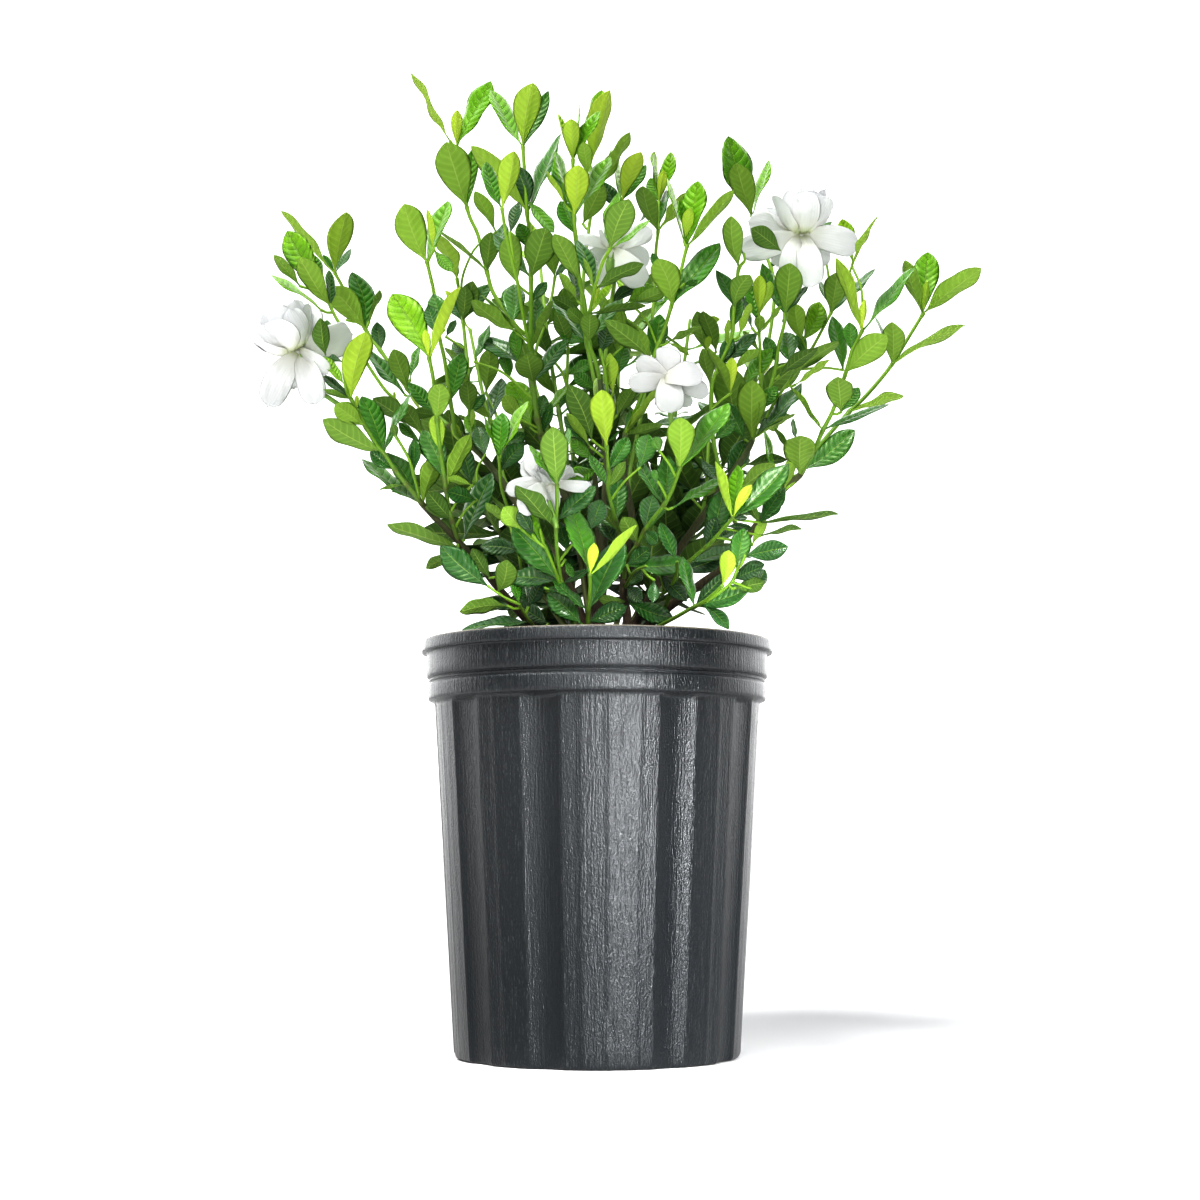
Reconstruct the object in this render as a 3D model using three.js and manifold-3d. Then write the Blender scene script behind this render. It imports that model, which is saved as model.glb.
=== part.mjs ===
// A gardenia shrub in a channelled nursery pot: the pot, its potting soil, the woody main stems,
// leafy green shoots and five double white flowers. Millimetres, +Z up; the origin is the
// middle of the pot's underside. Azimuth 0 is seen from -Y.
import * as THREE from "three";
import { mergeVertices } from "three/addons/utils/BufferGeometryUtils.js";
import Module from "manifold-3d";

// ---- driving dimensions (mm, degrees) ----
const POT_HEIGHT = 280; // ground to the top of the lip
const LIP_RADIUS = 120.4; // outside of the rolled lip, 240 mm across
const LIP_BOTTOM = 271; // underside of the lip
const BAND1_RADIUS = 117; // upper plain band
const BAND1_BOTTOM = 253.6;
const GROOVE_RADIUS = 114.6; // double groove between the bands
const BAND2_TOP = 250.4;
const BAND2_RADIUS = 115.8; // lower plain band
const BAND2_BOTTOM = 239;
const BODY_TOP = 236; // the channelled wall starts under the bands
const BODY_TOP_RADIUS = 111.3;
const FOOT_RADIUS = 96.3; // 3.6 degrees of taper a side
const WALL = 1.8;
const FLOOR = 2.6;
const MOULD_LINE_DEG = 4.6; // azimuth of the mould line, right of the front
// hollow channels in the wall, in degrees from the mould line, the same on both sides of it
const CHANNELS = [
  [17, 31],
  [49.2, 63.4],
  [81.6, 95.6],
  [113.6, 127.6],
  [146, 160],
];
const CHANNEL_DEPTH = 3.3;
const DRAIN_HOLE_RADIUS = 6.5;
const DRAIN_HOLE_CIRCLE = 66;
const DRAIN_HOLES = 4;
const SOIL_LEVEL = 256; // 24 mm below the lip
const SOIL_CROWN = 4; // the soil stands this much higher in the middle
const GAP = 0.35; // kept between pieces that touch
const ROOT_CROWN_RADIUS = 17; // where the main stems join, half buried
const LEAF_FOLD = 1.5; // the margins stand this much above the midrib
const BROADEST = 0.63; // a blade is broadest at this part of its length
const PETAL_FOLD = 2;
const WOOD_SIDES = 6;
const STEM_SIDES = 4;
const TWIG_SIDES = 3;
const WOOD_RADIUS = 2.2; // stems over this radius have the rounder section
const TWIG_RADIUS = 1.3; // stems under this radius have the plainer section
const CALYX_RADIUS = 3.6;
const CALYX_LENGTH = 12;
const COROLLA_TUBE_RADIUS = 2.6;
const HEART_RADIUS = 7; // the furled middle petals

// ---- colours ----
const POT_COLOUR = 0x343b41;
const SOIL_COLOUR = 0x33201a;
const BARK_COLOUR = 0x5b4632;
const PETAL_COLOUR = 0xf3f4f2;
const CALYX_COLOUR = 0x7fa83a;

// ---- the plant: each stem is [radius, x, y, z, x, y, z ...] from tip to base ----
const WOOD = [
  [3.4, -39.4, 12, 426.6, -15.4, 8, 366.3, -4.9, 5.6, 330.8, 0, 3, 295.6, 1.4, 0, 262.1, 1.7, 0, 244],
  [3, -103.8, 8, 432.9, -80.5, 6.9, 411.4, -72, 6.5, 400.7, -25.7, 3.5, 333.3, -10.4, 1.8, 295.5, -4.8, 0, 260.7, -1.4, 0, 244],
  [2.9, -117.5, -32, 369.7, -79.7, -22.3, 330.6, -40.4, -10.6, 285.9, -6.2, 0, 259.3, -2.1, 0, 244],
  [3, 2.1, -12, 461.4, 6.2, -7.9, 402.3, 2.1, 0.4, 295.3, 2.1, 4, 261, 2.1, 2, 244],
  [3.2, 19.2, -25, 420.1, 18.5, -22.4, 396.2, 24, -18.4, 360.8, 19.9, -15.9, 340.4, 18.5, -13.6, 321.4, 20.6, -9.9, 292.8, 14.4, -7, 273.8, 6.2, -4, 259, 4.1, -2, 244],
  [3.2, 109, 14, 423.4, 104, 13.4, 413.3, 57.8, 8.9, 346.7, 14.5, 3.3, 271.3, 6.2, 2, 260.8, 4.1, 1, 244],
  [3.3, 140.4, -8, 395.3, 128.6, -7.4, 384.9, 94.5, -5.4, 339.1, 82.1, -4.7, 327.4, 46.2, -2.9, 301.9, 6.2, 0, 259.3, 4.1, 0, 244],
  [2.3, -21.4, 24, 462.1, -16.4, 22.3, 443.7, -5, 19.7, 418, -0.8, 16.8, 389, 2.1, 9.4, 317.3, 2.1, 2, 262.2, 2.1, 1, 244],
];

// Shoots: name, colour, stems, and leaves as [foot x y z, tip x y z, upper-face normal, width].
const SHOOTS = [
  {
    name: "leafy_shoot_01",
    colour: 0x5b8f30,
    stems: [
      [1.4, -102.2, 42, 646.4, -94.2, 36.7, 599.1, -86, 34.2, 578.2, -75.4, 29, 536.2, -58.6, 25.1, 509.6, -50.6, 22.2, 489.3, -39.4, 12, 426.6],
      [0.8, -107.1, 39.5, 650.1, -102.2, 42, 646.3],
      [0.8, -73, 33.8, 580.4, -83.1, 32.8, 566.7],
    ],
    leaves: [
      [-107.1, 39.5, 650.1, -134.2, 19.6, 693.9, 0.81, 0.14, 0.56, 24.9],
      [-102.2, 42, 646.4, -101.5, 29.9, 670, -0.06, 0.88, 0.47, 9.2],
      [-102.2, 42, 646.4, -77.1, 31.1, 692.2, -0.65, -0.75, 0.16, 23.4],
      [-94.2, 36.7, 599.1, -108, 12.3, 640, -0.12, 0.87, 0.48, 25.4],
      [-73, 33.8, 580.4, -87.4, 17.8, 605.7, 0.57, 0.51, 0.64, 15.1],
      [-79.1, 30.8, 550.7, -75.2, 8.4, 572.8, 0.01, 0.69, 0.72, 14.2],
      [-79.1, 30.8, 550.7, -115.8, 9.6, 576.8, 0.59, 0.03, 0.81, 22.5],
      [-79.1, 30.8, 550.7, -67.8, 46.7, 590.9, -0.65, -0.64, 0.41, 19.7],
    ],
  },
  {
    name: "leafy_shoot_02",
    colour: 0x43792a,
    stems: [
      [1.6, -51.7, -22, 624.8, -47.5, -13.5, 567.8, -45.6, 2.3, 471.7, -42.8, 7.6, 444.3, -39.4, 12, 426.6],
      [0.8, -55.2, -10.1, 529.3, -46.6, -6.1, 522.9],
      [0.8, -58.8, -4.7, 502.9, -46, -1.3, 493.4],
      [0.8, -55.9, -5.4, 496.3, -46, -0.7, 489.7],
      [0.8, -86.2, 12.2, 479.7, -65.6, 7.8, 470.6, -43.4, 6.5, 450.2],
      [0.8, -55.3, 0.1, 476.9, -45.5, 2.5, 470.6],
      [0.8, -46.5, 12.1, 432.3, -39.8, 11.5, 428.7],
      [0.8, -52.7, 8.1, 437.2, -40.3, 10.8, 431.3],
    ],
    leaves: [
      [-51.7, -22, 624.8, -74.6, -15.1, 668.5, 0.63, -0.66, 0.41, 21.5],
      [-51.7, -22, 624.8, -43.8, -53.1, 659.5, 0.03, 0.75, 0.66, 21.7],
      [-48.5, -15.5, 580.9, -87.3, -32.2, 622, 0.55, 0.49, 0.68, 25.4],
      [-48.5, -15.5, 580.9, -57.2, -21.2, 612.1, 0, -0.98, -0.18, 15],
      [-48.4, -15.3, 579.8, -25.1, -27.6, 632.2, -0.82, -0.53, 0.2, 25.7],
      [-46.9, -8.1, 534.9, -73, -6.2, 567.1, 0.5, -0.74, 0.45, 18.6],
      [-46.9, -8.1, 534.9, -34.7, -48.8, 558.7, 0.19, 0.54, 0.82, 22.1],
      [-55.2, -10.1, 529.3, -59.5, -27.7, 562.1, -0.07, 0.88, 0.47, 16.5],
      [-58.8, -4.7, 502.9, -59, 14.3, 536.6, 0.05, -0.87, 0.49, 17.3],
      [-46.5, -5.4, 518.4, -35, -7, 532.3, 0.1, -0.98, -0.16, 7.7],
      [-46.1, -1.5, 495, -41.7, 6.1, 524.3, -0.6, -0.77, 0.23, 13.6],
      [-55.9, -5.4, 496.3, -86, -30.3, 513.3, 0.2, 0.38, 0.9, 19.4],
      [-46, -1, 491.7, -80.6, -16.7, 520.5, 0.65, 0.04, 0.76, 21],
      [-45.9, 0.1, 485.3, -31.6, -31, 513.2, -0.87, 0.1, 0.48, 19.6],
      [-86.2, 12.2, 479.7, -75.7, 10.6, 506, -0.75, -0.6, 0.27, 13],
      [-55.3, 0.1, 476.9, -82.2, 14.8, 496.2, -0.02, -0.81, 0.59, 16.1],
      [-46.5, 12.1, 432.3, -62, 26.7, 467.1, -0.2, -0.93, 0.3, 18.2],
      [-52.7, 8.1, 437.2, -63.9, -9.9, 449.8, -0.38, 0.68, 0.63, 11.2],
      [-44.7, 4, 462.8, -47.7, -37.9, 473, -0.14, 0.24, 0.96, 19.5],
      [-44.7, 4, 462.8, -22.5, 2.6, 492.5, -0.58, -0.7, 0.41, 16.7],
      [-41.4, 9.4, 437.2, -37.5, 15.4, 455.9, 0.11, -0.95, 0.3, 9.8],
      [-39.4, 12, 426.6, -32.4, 10.5, 448.4, -0.67, -0.74, 0.06, 10],
    ],
  },
  {
    name: "leafy_shoot_03",
    colour: 0x487e2b,
    stems: [
      [1.2, -63.5, -75, 564, -51.7, -26.5, 507.3, -46.3, 0.1, 484],
      [1, -59.6, -40, 557.8, -54.7, -38.9, 521.7],
    ],
    leaves: [
      [-63.5, -74.9, 563.9, -74.5, -74.2, 596.7, 0.65, -0.72, 0.25, 15.5],
      [-63.5, -74.9, 563.9, -54.7, -99.5, 595.8, -0.44, 0.65, 0.62, 18.6],
      [-59.6, -40, 557.8, -53.7, -36.4, 580.8, -0.42, -0.87, 0.24, 10.7],
    ],
  },
  {
    name: "leafy_shoot_04",
    colour: 0x558a2e,
    stems: [
      [1.3, -115.5, -50, 534.6, -104.8, -22.4, 471.7, -98.4, 1, 425.9, -90.4, 7.4, 421.4],
      [0.8, -110.4, -54.7, 541.6, -115.4, -49.8, 534.2],
      [0.8, -94.6, 8, 418.7, -93, 7.3, 418.4, -90.4, 7.4, 421.4],
    ],
    leaves: [
      [-115.4, -49.8, 534.1, -129.2, -74.5, 567.6, -0.18, 0.83, 0.53, 21.3],
      [-115.4, -49.8, 534.1, -137.1, -54.5, 563.3, 0.74, -0.5, 0.46, 16],
      [-115.4, -49.8, 534.1, -102.3, -40.3, 580.3, -0.7, -0.65, 0.31, 21.3],
      [-110.4, -54.7, 541.6, -113.2, -81.4, 562, 0.88, 0.23, 0.42, 12.2],
      [-94.6, 8, 418.7, -100.4, -0.4, 432.7, 0.41, 0.7, 0.59, 7.8],
      [-101.3, -9.5, 446.5, -94.6, -10.4, 479.4, -0.31, -0.95, 0.05, 15.2],
    ],
  },
  {
    name: "leafy_shoot_05",
    colour: 0x407529,
    stems: [
      [1.3, -102.3, 55, 551.4, -94.3, 38.2, 494.5, -88.1, 15.1, 427.2, -80.5, 6.9, 411.4],
      [0.8, -85.7, 30, 569.6, -90.8, 32.7, 563, -97.6, 39, 546.3, -98.8, 47.6, 526.3],
      [0.8, -108.5, 35.8, 503.5, -94.3, 38.3, 494.8],
    ],
    leaves: [
      [-102.2, 54.7, 550.5, -114.5, 21.2, 575.1, 0.53, 0.35, 0.77, 19.5],
      [-102.2, 54.7, 550.5, -109.6, 52.1, 576.8, 0.83, -0.52, 0.22, 12.8],
      [-97.5, 45, 517.4, -93.9, 27, 538.6, -0.03, 0.77, 0.64, 12.9],
      [-97.5, 45, 517.4, -89, 28.3, 542.6, 0.01, 0.84, 0.54, 14.3],
      [-97.5, 45, 517.4, -76.9, 44.5, 544.8, -0.29, -0.94, 0.17, 14.2],
      [-97.5, 45, 517.4, -107.7, 50.7, 537.5, -0.17, -0.97, 0.19, 10],
      [-108.5, 35.8, 503.5, -101.4, 34.8, 515.7, -0.27, -0.96, 0.08, 6.4],
      [-93.6, 35.5, 486.6, -104.3, 47, 501.8, -0.4, -0.85, 0.33, 9.9],
      [-92.6, 31.7, 475.6, -107.4, 21.3, 491.2, 0.56, 0.3, 0.77, 11.2],
      [-89.7, 21, 444.5, -91.1, 2.3, 463.1, -0.1, 0.72, 0.68, 12.7],
      [-91.4, 27.5, 463.3, -96.7, 22.6, 476.3, -0.1, 0.93, 0.35, 6.4],
      [-89.7, 21, 444.5, -80.4, 25, 458.7, 0.26, -0.96, 0.09, 7.1],
      [-86.7, 13.6, 424.4, -91.2, 18.6, 442.2, 0, -0.97, 0.25, 8.4],
      [-88.5, 16.7, 431.8, -87.1, 7.9, 444.3, 0.83, 0.46, 0.3, 6.9],
    ],
  },
  {
    name: "leafy_shoot_06",
    colour: 0x4e832c,
    stems: [
      [1.4, -110.2, -90, 458.7, -101.4, -48.4, 378.6, -99.8, -40.6, 365.6, -94.6, -26.2, 346.6],
      [0.8, -105, -91.4, 473.8, -108, -91.8, 466.4, -110.2, -90, 458.7],
      [0.8, -100.7, -87.6, 478.1, -106, -90.2, 469.1, -110.2, -89.8, 458.4],
      [0.8, -90.6, -25.3, 347.4, -92.7, -26.2, 345.5, -94.6, -26.2, 346.6],
      [0.8, -84.1, -45.7, 381.5, -92.5, -44.6, 373.5, -99.3, -39.3, 363.8],
      [0.8, -81.8, -38.3, 372.8, -90, -37.3, 364.3, -96.7, -31.9, 354.1],
      [0.8, -94.5, -26.6, 341.7, -94.6, -26.2, 346.6],
      [0.8, -93.1, -27.1, 336.1, -94.6, -26.2, 346.6],
    ],
    leaves: [
      [-110.2, -90, 458.7, -135.6, -83.8, 503.4, -0.09, -0.99, 0.09, 23.3],
      [-110.2, -90, 458.7, -112.2, -99.1, 474.6, 0.3, 0.8, 0.52, 6.4],
      [-110.2, -90, 458.7, -89.6, -108.8, 499.4, -0.85, 0.18, 0.49, 21.9],
      [-105, -91.4, 473.8, -111.5, -86.3, 493.9, -0.07, -0.97, 0.22, 9.7],
      [-100.7, -87.6, 478.1, -108.7, -81.7, 503.9, -0.06, -0.98, 0.2, 12.4],
      [-106.1, -70.6, 421.4, -102.2, -98, 438.2, 0.01, 0.54, 0.84, 14.5],
      [-101.4, -48.4, 378.6, -86.2, -59.2, 410.7, -0.7, 0.51, 0.5, 16.8],
      [-103.9, -60.2, 401.3, -107.5, -69.9, 422.8, 0.26, 0.85, 0.45, 10.9],
      [-90.6, -25.3, 347.4, -74.1, -19.1, 390.5, -0.6, -0.73, 0.33, 20.8],
      [-84.1, -45.7, 381.5, -91.2, -43.8, 408.2, 0.42, -0.89, 0.18, 11.9],
      [-102.1, -51.6, 384.7, -117, -43.5, 417.1, -0.06, -0.97, 0.22, 16],
      [-84.1, -45.7, 381.5, -98.5, -51.6, 385.6, 0.05, 0.58, 0.81, 7.4],
      [-81.8, -38.3, 372.8, -98.2, -55.4, 375.4, 0.66, -0.68, -0.31, 10.8],
      [-98.2, -36.1, 359.6, -111.5, -56, 373.3, -0.43, 0.67, 0.61, 12.1],
      [-98.2, -36.1, 359.6, -113.6, -45.1, 366.3, 0.07, 0.57, 0.82, 8.3],
      [-94.5, -26.6, 341.7, -135.8, -43.8, 353.5, 0.15, 0.29, 0.95, 21],
      [-93.1, -27.1, 336.1, -113.8, -22.2, 329.2, -0.15, 0.54, 0.83, 10],
    ],
  },
  {
    name: "leafy_shoot_07",
    colour: 0x41772a,
    stems: [
      [1.4, -190.8, 50, 554.5, -165.5, 37.2, 507.5, -136.5, 23.7, 465.7, -130.5, 20.8, 457.8, -103.8, 8, 432.9],
      [0.8, -164.3, 38.4, 515.1, -166.7, 37.8, 509.7],
      [0.8, -180.4, 40.5, 517.1, -170, 39.5, 515.9],
      [0.8, -136.2, 21.2, 457.9, -134, 21.3, 456.8, -131, 21, 458.5],
      [0.8, -132.9, 23, 469.2, -134.8, 22.9, 463.5],
    ],
    leaves: [
      [-190.8, 50, 554.5, -179.4, 17.6, 590.2, -0.68, 0.43, 0.59, 22.5],
      [-190.8, 50, 554.5, -228, 31.4, 595.2, 0.67, 0.24, 0.71, 25.6],
      [-190.8, 50, 554.5, -180.2, 57.1, 574.5, -0.5, -0.73, 0.47, 9.8],
      [-166.2, 37.6, 508.8, -191, 19.4, 535.8, -0.23, 0.9, 0.37, 19.1],
      [-166.2, 37.6, 508.8, -176.9, 37.6, 551.8, 0.37, -0.92, 0.11, 18.9],
      [-164.3, 38.4, 515.1, -154.9, 22.1, 534.4, -0.83, 0.15, 0.54, 12.2],
      [-180.4, 40.5, 517.1, -175.7, 42.1, 530.1, -0.7, -0.63, 0.33, 6.2],
      [-154.9, 32.3, 492.2, -158.4, 37, 514.8, 0.06, -0.98, 0.2, 10.6],
      [-136.2, 21.2, 457.9, -161.3, 21, 489, 0.62, -0.6, 0.5, 17.9],
      [-134.2, 22.6, 462.7, -142.5, 2.8, 485.4, -0.24, 0.77, 0.59, 14.1],
      [-132.9, 23, 469.2, -127.9, 27.8, 492.8, -0.73, -0.62, 0.28, 11],
      [-113.6, 12.7, 442, -132.4, 10.4, 463.5, 0.56, -0.78, 0.29, 13],
      [-113.6, 12.7, 442, -127.7, -0.5, 441.2, -0.65, 0.66, 0.39, 8.4],
    ],
  },
  {
    name: "leafy_shoot_08",
    colour: 0x467b2a,
    stems: [
      [1.3, -156.9, -30, 467.8, -145.4, -26.9, 451.1, -119.6, -20.7, 421.6, -79.3, -11.6, 384.2, -58.7, -6.9, 367.5, -36, -0.6, 345.4, -25.7, 3.5, 333.3],
      [1.1, -192, -20, 523.1, -170, -26, 486.3, -156.9, -30, 467.8],
      [0.8, -205.6, -22, 525.4, -192, -20, 523.1],
      [0.8, -190.8, -21.8, 508.5, -182.2, -22.7, 506.6],
      [0.8, -189.2, -30.2, 475.5, -178.6, -28.4, 477.4, -163.6, -28, 477.2],
      [0.8, -77.7, -5.2, 409.8, -82.8, -9.4, 399, -82.6, -12.3, 387.2],
      [0.8, -121.6, -20.3, 415.4, -115.2, -19.7, 417.5],
    ],
    leaves: [
      [-192, -20, 523.1, -215.4, -21.3, 564.8, -0.01, -1, -0.04, 20.3],
      [-205.6, -22, 525.4, -221.8, -35.7, 543.6, 0.36, 0.56, 0.75, 12.6],
      [-184.5, -22.1, 510.5, -204.3, -38, 541.5, 0.17, 0.83, 0.53, 18.5],
      [-190.8, -21.8, 508.5, -226, -20.9, 533.5, 0.53, -0.37, 0.76, 19.3],
      [-192, -20, 523.1, -197.2, -15.3, 549.3, 0.61, -0.72, 0.33, 12.5],
      [-184.5, -22.1, 510.5, -185.7, -22.2, 536.7, 0.8, -0.59, 0.07, 11.1],
      [-189.2, -30.2, 475.5, -186.6, -21.7, 501.5, 0.21, -0.94, 0.29, 12.3],
      [-125.2, -22.1, 428, -151.8, -30.2, 443.4, 0.26, 0.61, 0.75, 17],
      [-77.7, -5.2, 409.8, -83.6, 10.5, 432, -0.14, -0.82, 0.55, 12.4],
      [-119.9, -20.8, 421.9, -132.6, -30.9, 439.7, -0.2, 0.91, 0.37, 10.9],
      [-121.6, -20.3, 415.4, -135.5, -20.7, 428.6, 0.39, -0.84, 0.38, 8.6],
    ],
  },
  {
    name: "leafy_shoot_09",
    colour: 0x477d2b,
    stems: [
      [1.4, -165.9, -50, 439.8, -148, -43.3, 408.3, -117.5, -32, 369.7],
      [1, -136.1, -62, 414.9, -126.8, -52, 399.8, -120.4, -33.1, 373.4],
      [0.8, -169.4, -54.9, 448.4, -165.9, -50, 439.8],
      [0.8, -171.8, -48.2, 465.7, -170.8, -49.8, 454.2, -165.9, -50, 439.8],
    ],
    leaves: [
      [-165.9, -50, 439.8, -154.3, -73.3, 478.2, -0.47, 0.69, 0.56, 21.1],
      [-169.4, -54.9, 448.4, -183.6, -51.6, 467.7, 0.52, -0.69, 0.5, 10.8],
      [-171.8, -48.2, 465.7, -186.5, -45.9, 471.8, 0.09, -0.84, 0.54, 7.2],
      [-165.9, -50, 439.8, -185.6, -50.6, 456.2, 0.45, -0.71, 0.55, 10.4],
      [-165.9, -50, 439.8, -182.4, -58.3, 444.2, 0.03, 0.29, 0.96, 7.9],
      [-155.9, -46.2, 422.2, -172.9, -68.6, 431.1, -0.59, 0.65, 0.49, 13.3],
      [-144.5, -42, 403.8, -181.1, -55.5, 423, 0.18, 0.63, 0.75, 19.7],
      [-144.5, -42, 403.8, -158.8, -40.8, 441.1, 0.45, -0.86, 0.23, 16.9],
      [-144.5, -42, 403.8, -126.4, -46.8, 442.6, -0.84, -0.45, 0.3, 20.3],
      [-118.3, -32.3, 370.7, -158.4, -15.8, 402.3, 0.4, -0.5, 0.77, 22.5],
      [-118.3, -32.3, 370.7, -141, -31.1, 403.6, 0.56, -0.72, 0.41, 17.2],
      [-129.2, -36.3, 384.5, -145.8, -34.9, 380.9, -0.03, 0.26, 0.96, 6.3],
      [-118.3, -32.3, 370.7, -107.5, -41.7, 400.3, -0.65, 0.65, 0.4, 15.1],
      [-124.1, -43.9, 388.5, -123.7, -43.3, 412.4, 0.88, -0.48, 0.04, 10.9],
    ],
  },
  {
    name: "leafy_shoot_10",
    colour: 0x54892e,
    stems: [
      [1.4, -16.3, -60, 602.8, -15.7, -49.7, 567.5, -11.6, -36.2, 523.7, -5.5, -22.8, 484.9, 2.1, -12, 461.4],
      [0.8, -6.1, -55.2, 593.9, -16, -54.9, 585.2],
      [0.8, -20.4, -50.4, 573.3, -18.1, -50.6, 570.3, -15.7, -50.3, 569.7],
      [0.8, -13.1, -30.7, 512.2, -10.9, -31.3, 509.5, -9.3, -31.2, 509.1],
    ],
    leaves: [
      [-16.3, -60, 602.8, -17.3, -87.6, 621.8, -0.04, 0.57, 0.82, 15.2],
      [-16.3, -60, 602.8, 2.1, -62.2, 636.4, -0.65, -0.71, 0.28, 16.9],
      [-16.3, -60, 602.8, -26.5, -58.8, 635.5, 0.9, -0.35, 0.27, 14.6],
      [-16.3, -60, 602.8, -12.3, -53.5, 644.5, -0.99, -0.14, 0.07, 18.2],
      [-6.1, -55.2, 593.9, -9.4, -69.7, 612.1, -0.06, 0.79, 0.62, 10.6],
      [-15.7, -49.6, 567.1, -12.6, -82.6, 591.8, 0.04, 0.59, 0.8, 18.7],
      [-15.7, -49.6, 567.1, 8.9, -42.1, 610.9, -0.64, -0.63, 0.44, 22.4],
      [-15.7, -49.6, 567.1, -28.5, -61.1, 608.7, 0.93, -0.33, 0.15, 20.8],
      [-20.4, -50.4, 573.3, -33.7, -68.9, 592.2, 0.78, 0.16, 0.61, 13.4],
      [-20.4, -50.4, 573.3, -27.5, -42.3, 608.7, 0.51, -0.8, 0.31, 16.2],
      [-11.6, -36.2, 523.8, -29.2, -53, 553.3, 0.41, 0.67, 0.61, 17.2],
      [-13.1, -30.7, 512.2, -25.3, -42.6, 529, 0.59, 0.44, 0.67, 11],
      [-13.1, -30.7, 512.2, -18, -26.5, 540.5, 0.82, -0.52, 0.25, 12.6],
      [-7.2, -26.6, 496, -19.8, -42.1, 504, -0.45, 0.67, 0.6, 9.6],
      [-5.6, -23, 485.4, -4.7, -50.3, 497.7, 0, 0.42, 0.91, 13.7],
      [-5.6, -23, 485.4, 17.3, -18.9, 517, -0.53, -0.72, 0.44, 16.5],
    ],
  },
  {
    name: "leafy_shoot_11",
    colour: 0x4f842d,
    stems: [
      [1.1, 8.6, -95, 530.7, 4, -84.6, 524.9, -2, -61.3, 510.7, -4.7, -46.2, 502.2, -6.2, -25.8, 493.4],
    ],
    leaves: [
      [8.6, -95, 530.7, 20.7, -128.6, 554.1, 0.22, 0.61, 0.76, 19.4],
      [8.6, -95, 530.7, 14.6, -93.6, 569.8, -0.7, -0.69, 0.18, 16.9],
      [8.6, -95, 530.7, 35, -97.5, 549.6, -0.51, -0.58, 0.64, 13.8],
      [-1.6, -62.7, 511.6, -13.5, -58.7, 547.4, 0.65, -0.7, 0.3, 17.6],
      [-1.6, -62.7, 511.6, -9.3, -71.4, 531.3, 0.87, 0.27, 0.42, 10.8],
      [-1.6, -62.7, 511.6, 31.5, -69.7, 527.7, -0.32, 0.41, 0.85, 15.2],
      [-5, -42.6, 500.7, 33.6, -35.7, 507.7, -0.27, 0.09, 0.96, 16.3],
      [-5, -42.6, 500.7, 10.3, -40.3, 521.9, -0.58, -0.67, 0.47, 11],
      [-4.8, -44.3, 501.4, 2.1, -58.4, 517, -0.61, 0.46, 0.65, 8],
    ],
  },
  {
    name: "leafy_shoot_12",
    colour: 0x4f842d,
    stems: [
      [1.3, -6.8, 70, 652.1, -3.8, 59.4, 612.1, -9.5, 43.2, 554.9, -10.9, 33.7, 522.8, 0.7, 10, 451.9, 6.2, -8.4, 409.3],
      [0.8, -10.4, 54.7, 592.6, -6.2, 52.5, 587.7],
    ],
    leaves: [
      [-5.8, 66.4, 638.7, 9.4, 46.3, 691, -0.67, 0.61, 0.42, 26.2],
      [-6.8, 70, 652.1, 3.5, 59.6, 695.9, -0.68, -0.73, -0.01, 20.8],
      [-3.8, 59.4, 612.1, 23.8, 29.6, 653.4, -0.77, 0.18, 0.62, 25],
      [-10.4, 54.7, 592.6, 4.2, 33, 615.8, 0.18, 0.77, 0.61, 15.9],
      [-10.5, 32.8, 520.1, -32.3, 27.5, 530.7, 0.2, 0.71, 0.68, 10],
      [-6.4, 24.4, 495.1, -32.6, 40.4, 532.6, 0.51, -0.61, 0.61, 21.5],
    ],
  },
  {
    name: "leafy_shoot_13",
    colour: 0x3d7129,
    stems: [
      [1.3, -31.7, 95, 563.8, -34.4, 86.6, 544, -44.8, 67.3, 501.4, -45.9, 55.7, 476.4, -37.3, 38.6, 443.4, -28.8, 10.2, 398.5],
    ],
    leaves: [
      [-31.7, 94.9, 563.5, -36.5, 74, 586.2, -0.1, 0.74, 0.67, 14],
      [-31.7, 94.9, 563.5, -23.4, 94.5, 575.2, -0.4, -0.89, 0.22, 6.4],
    ],
  },
  {
    name: "leafy_shoot_14",
    colour: 0x497f2b,
    stems: [
      [1.1, -20.8, 30, 494, -21.4, 24, 462.1],
      [1, -33, 30, 486.7, -25, 27.4, 475.9, -21.4, 24.4, 464.4],
      [0.8, -38.3, 22.4, 441.6, -29.9, 24.1, 453.8, -21.4, 24, 462.1],
    ],
    leaves: [
      [-20.8, 30, 494, -29.1, 12.7, 515.9, 0.36, 0.66, 0.66, 13.2],
      [-38.3, 22.4, 441.6, -22.1, 22.5, 463.3, -0.65, -0.58, 0.49, 12.3],
    ],
  },
  {
    name: "leafy_shoot_15",
    colour: 0x477c2b,
    stems: [
      [1.2, 2.1, -20, 480.7, 6.2, -17.7, 463.6, 6.2, -7.9, 402.3],
      [0.8, 17.2, -22.9, 482.1, 10.5, -21, 475.7, 5.2, -18.3, 467.8],
      [0.8, 13.8, -15.4, 463.4, 6.2, -16.6, 456.7],
      [0.8, 11.1, -13.6, 451.1, 6.2, -15.1, 447.2],
      [0.8, -3.5, -14, 418.7, 6.2, -9.4, 411.7],
      [0.8, -4.2, -11.4, 414, 6.2, -8.5, 406],
      [0.8, 2.1, -11.1, 433.3, 6.2, -12.2, 429.3],
      [0.8, 13.8, -13.5, 435.9, 6.2, -12.4, 430.5],
      [0.8, -0.7, -7.7, 398.8, 6.2, -7.9, 402.3],
      [0.8, -2.8, -11.7, 405.1, 6.2, -7.9, 402.3],
    ],
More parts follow.
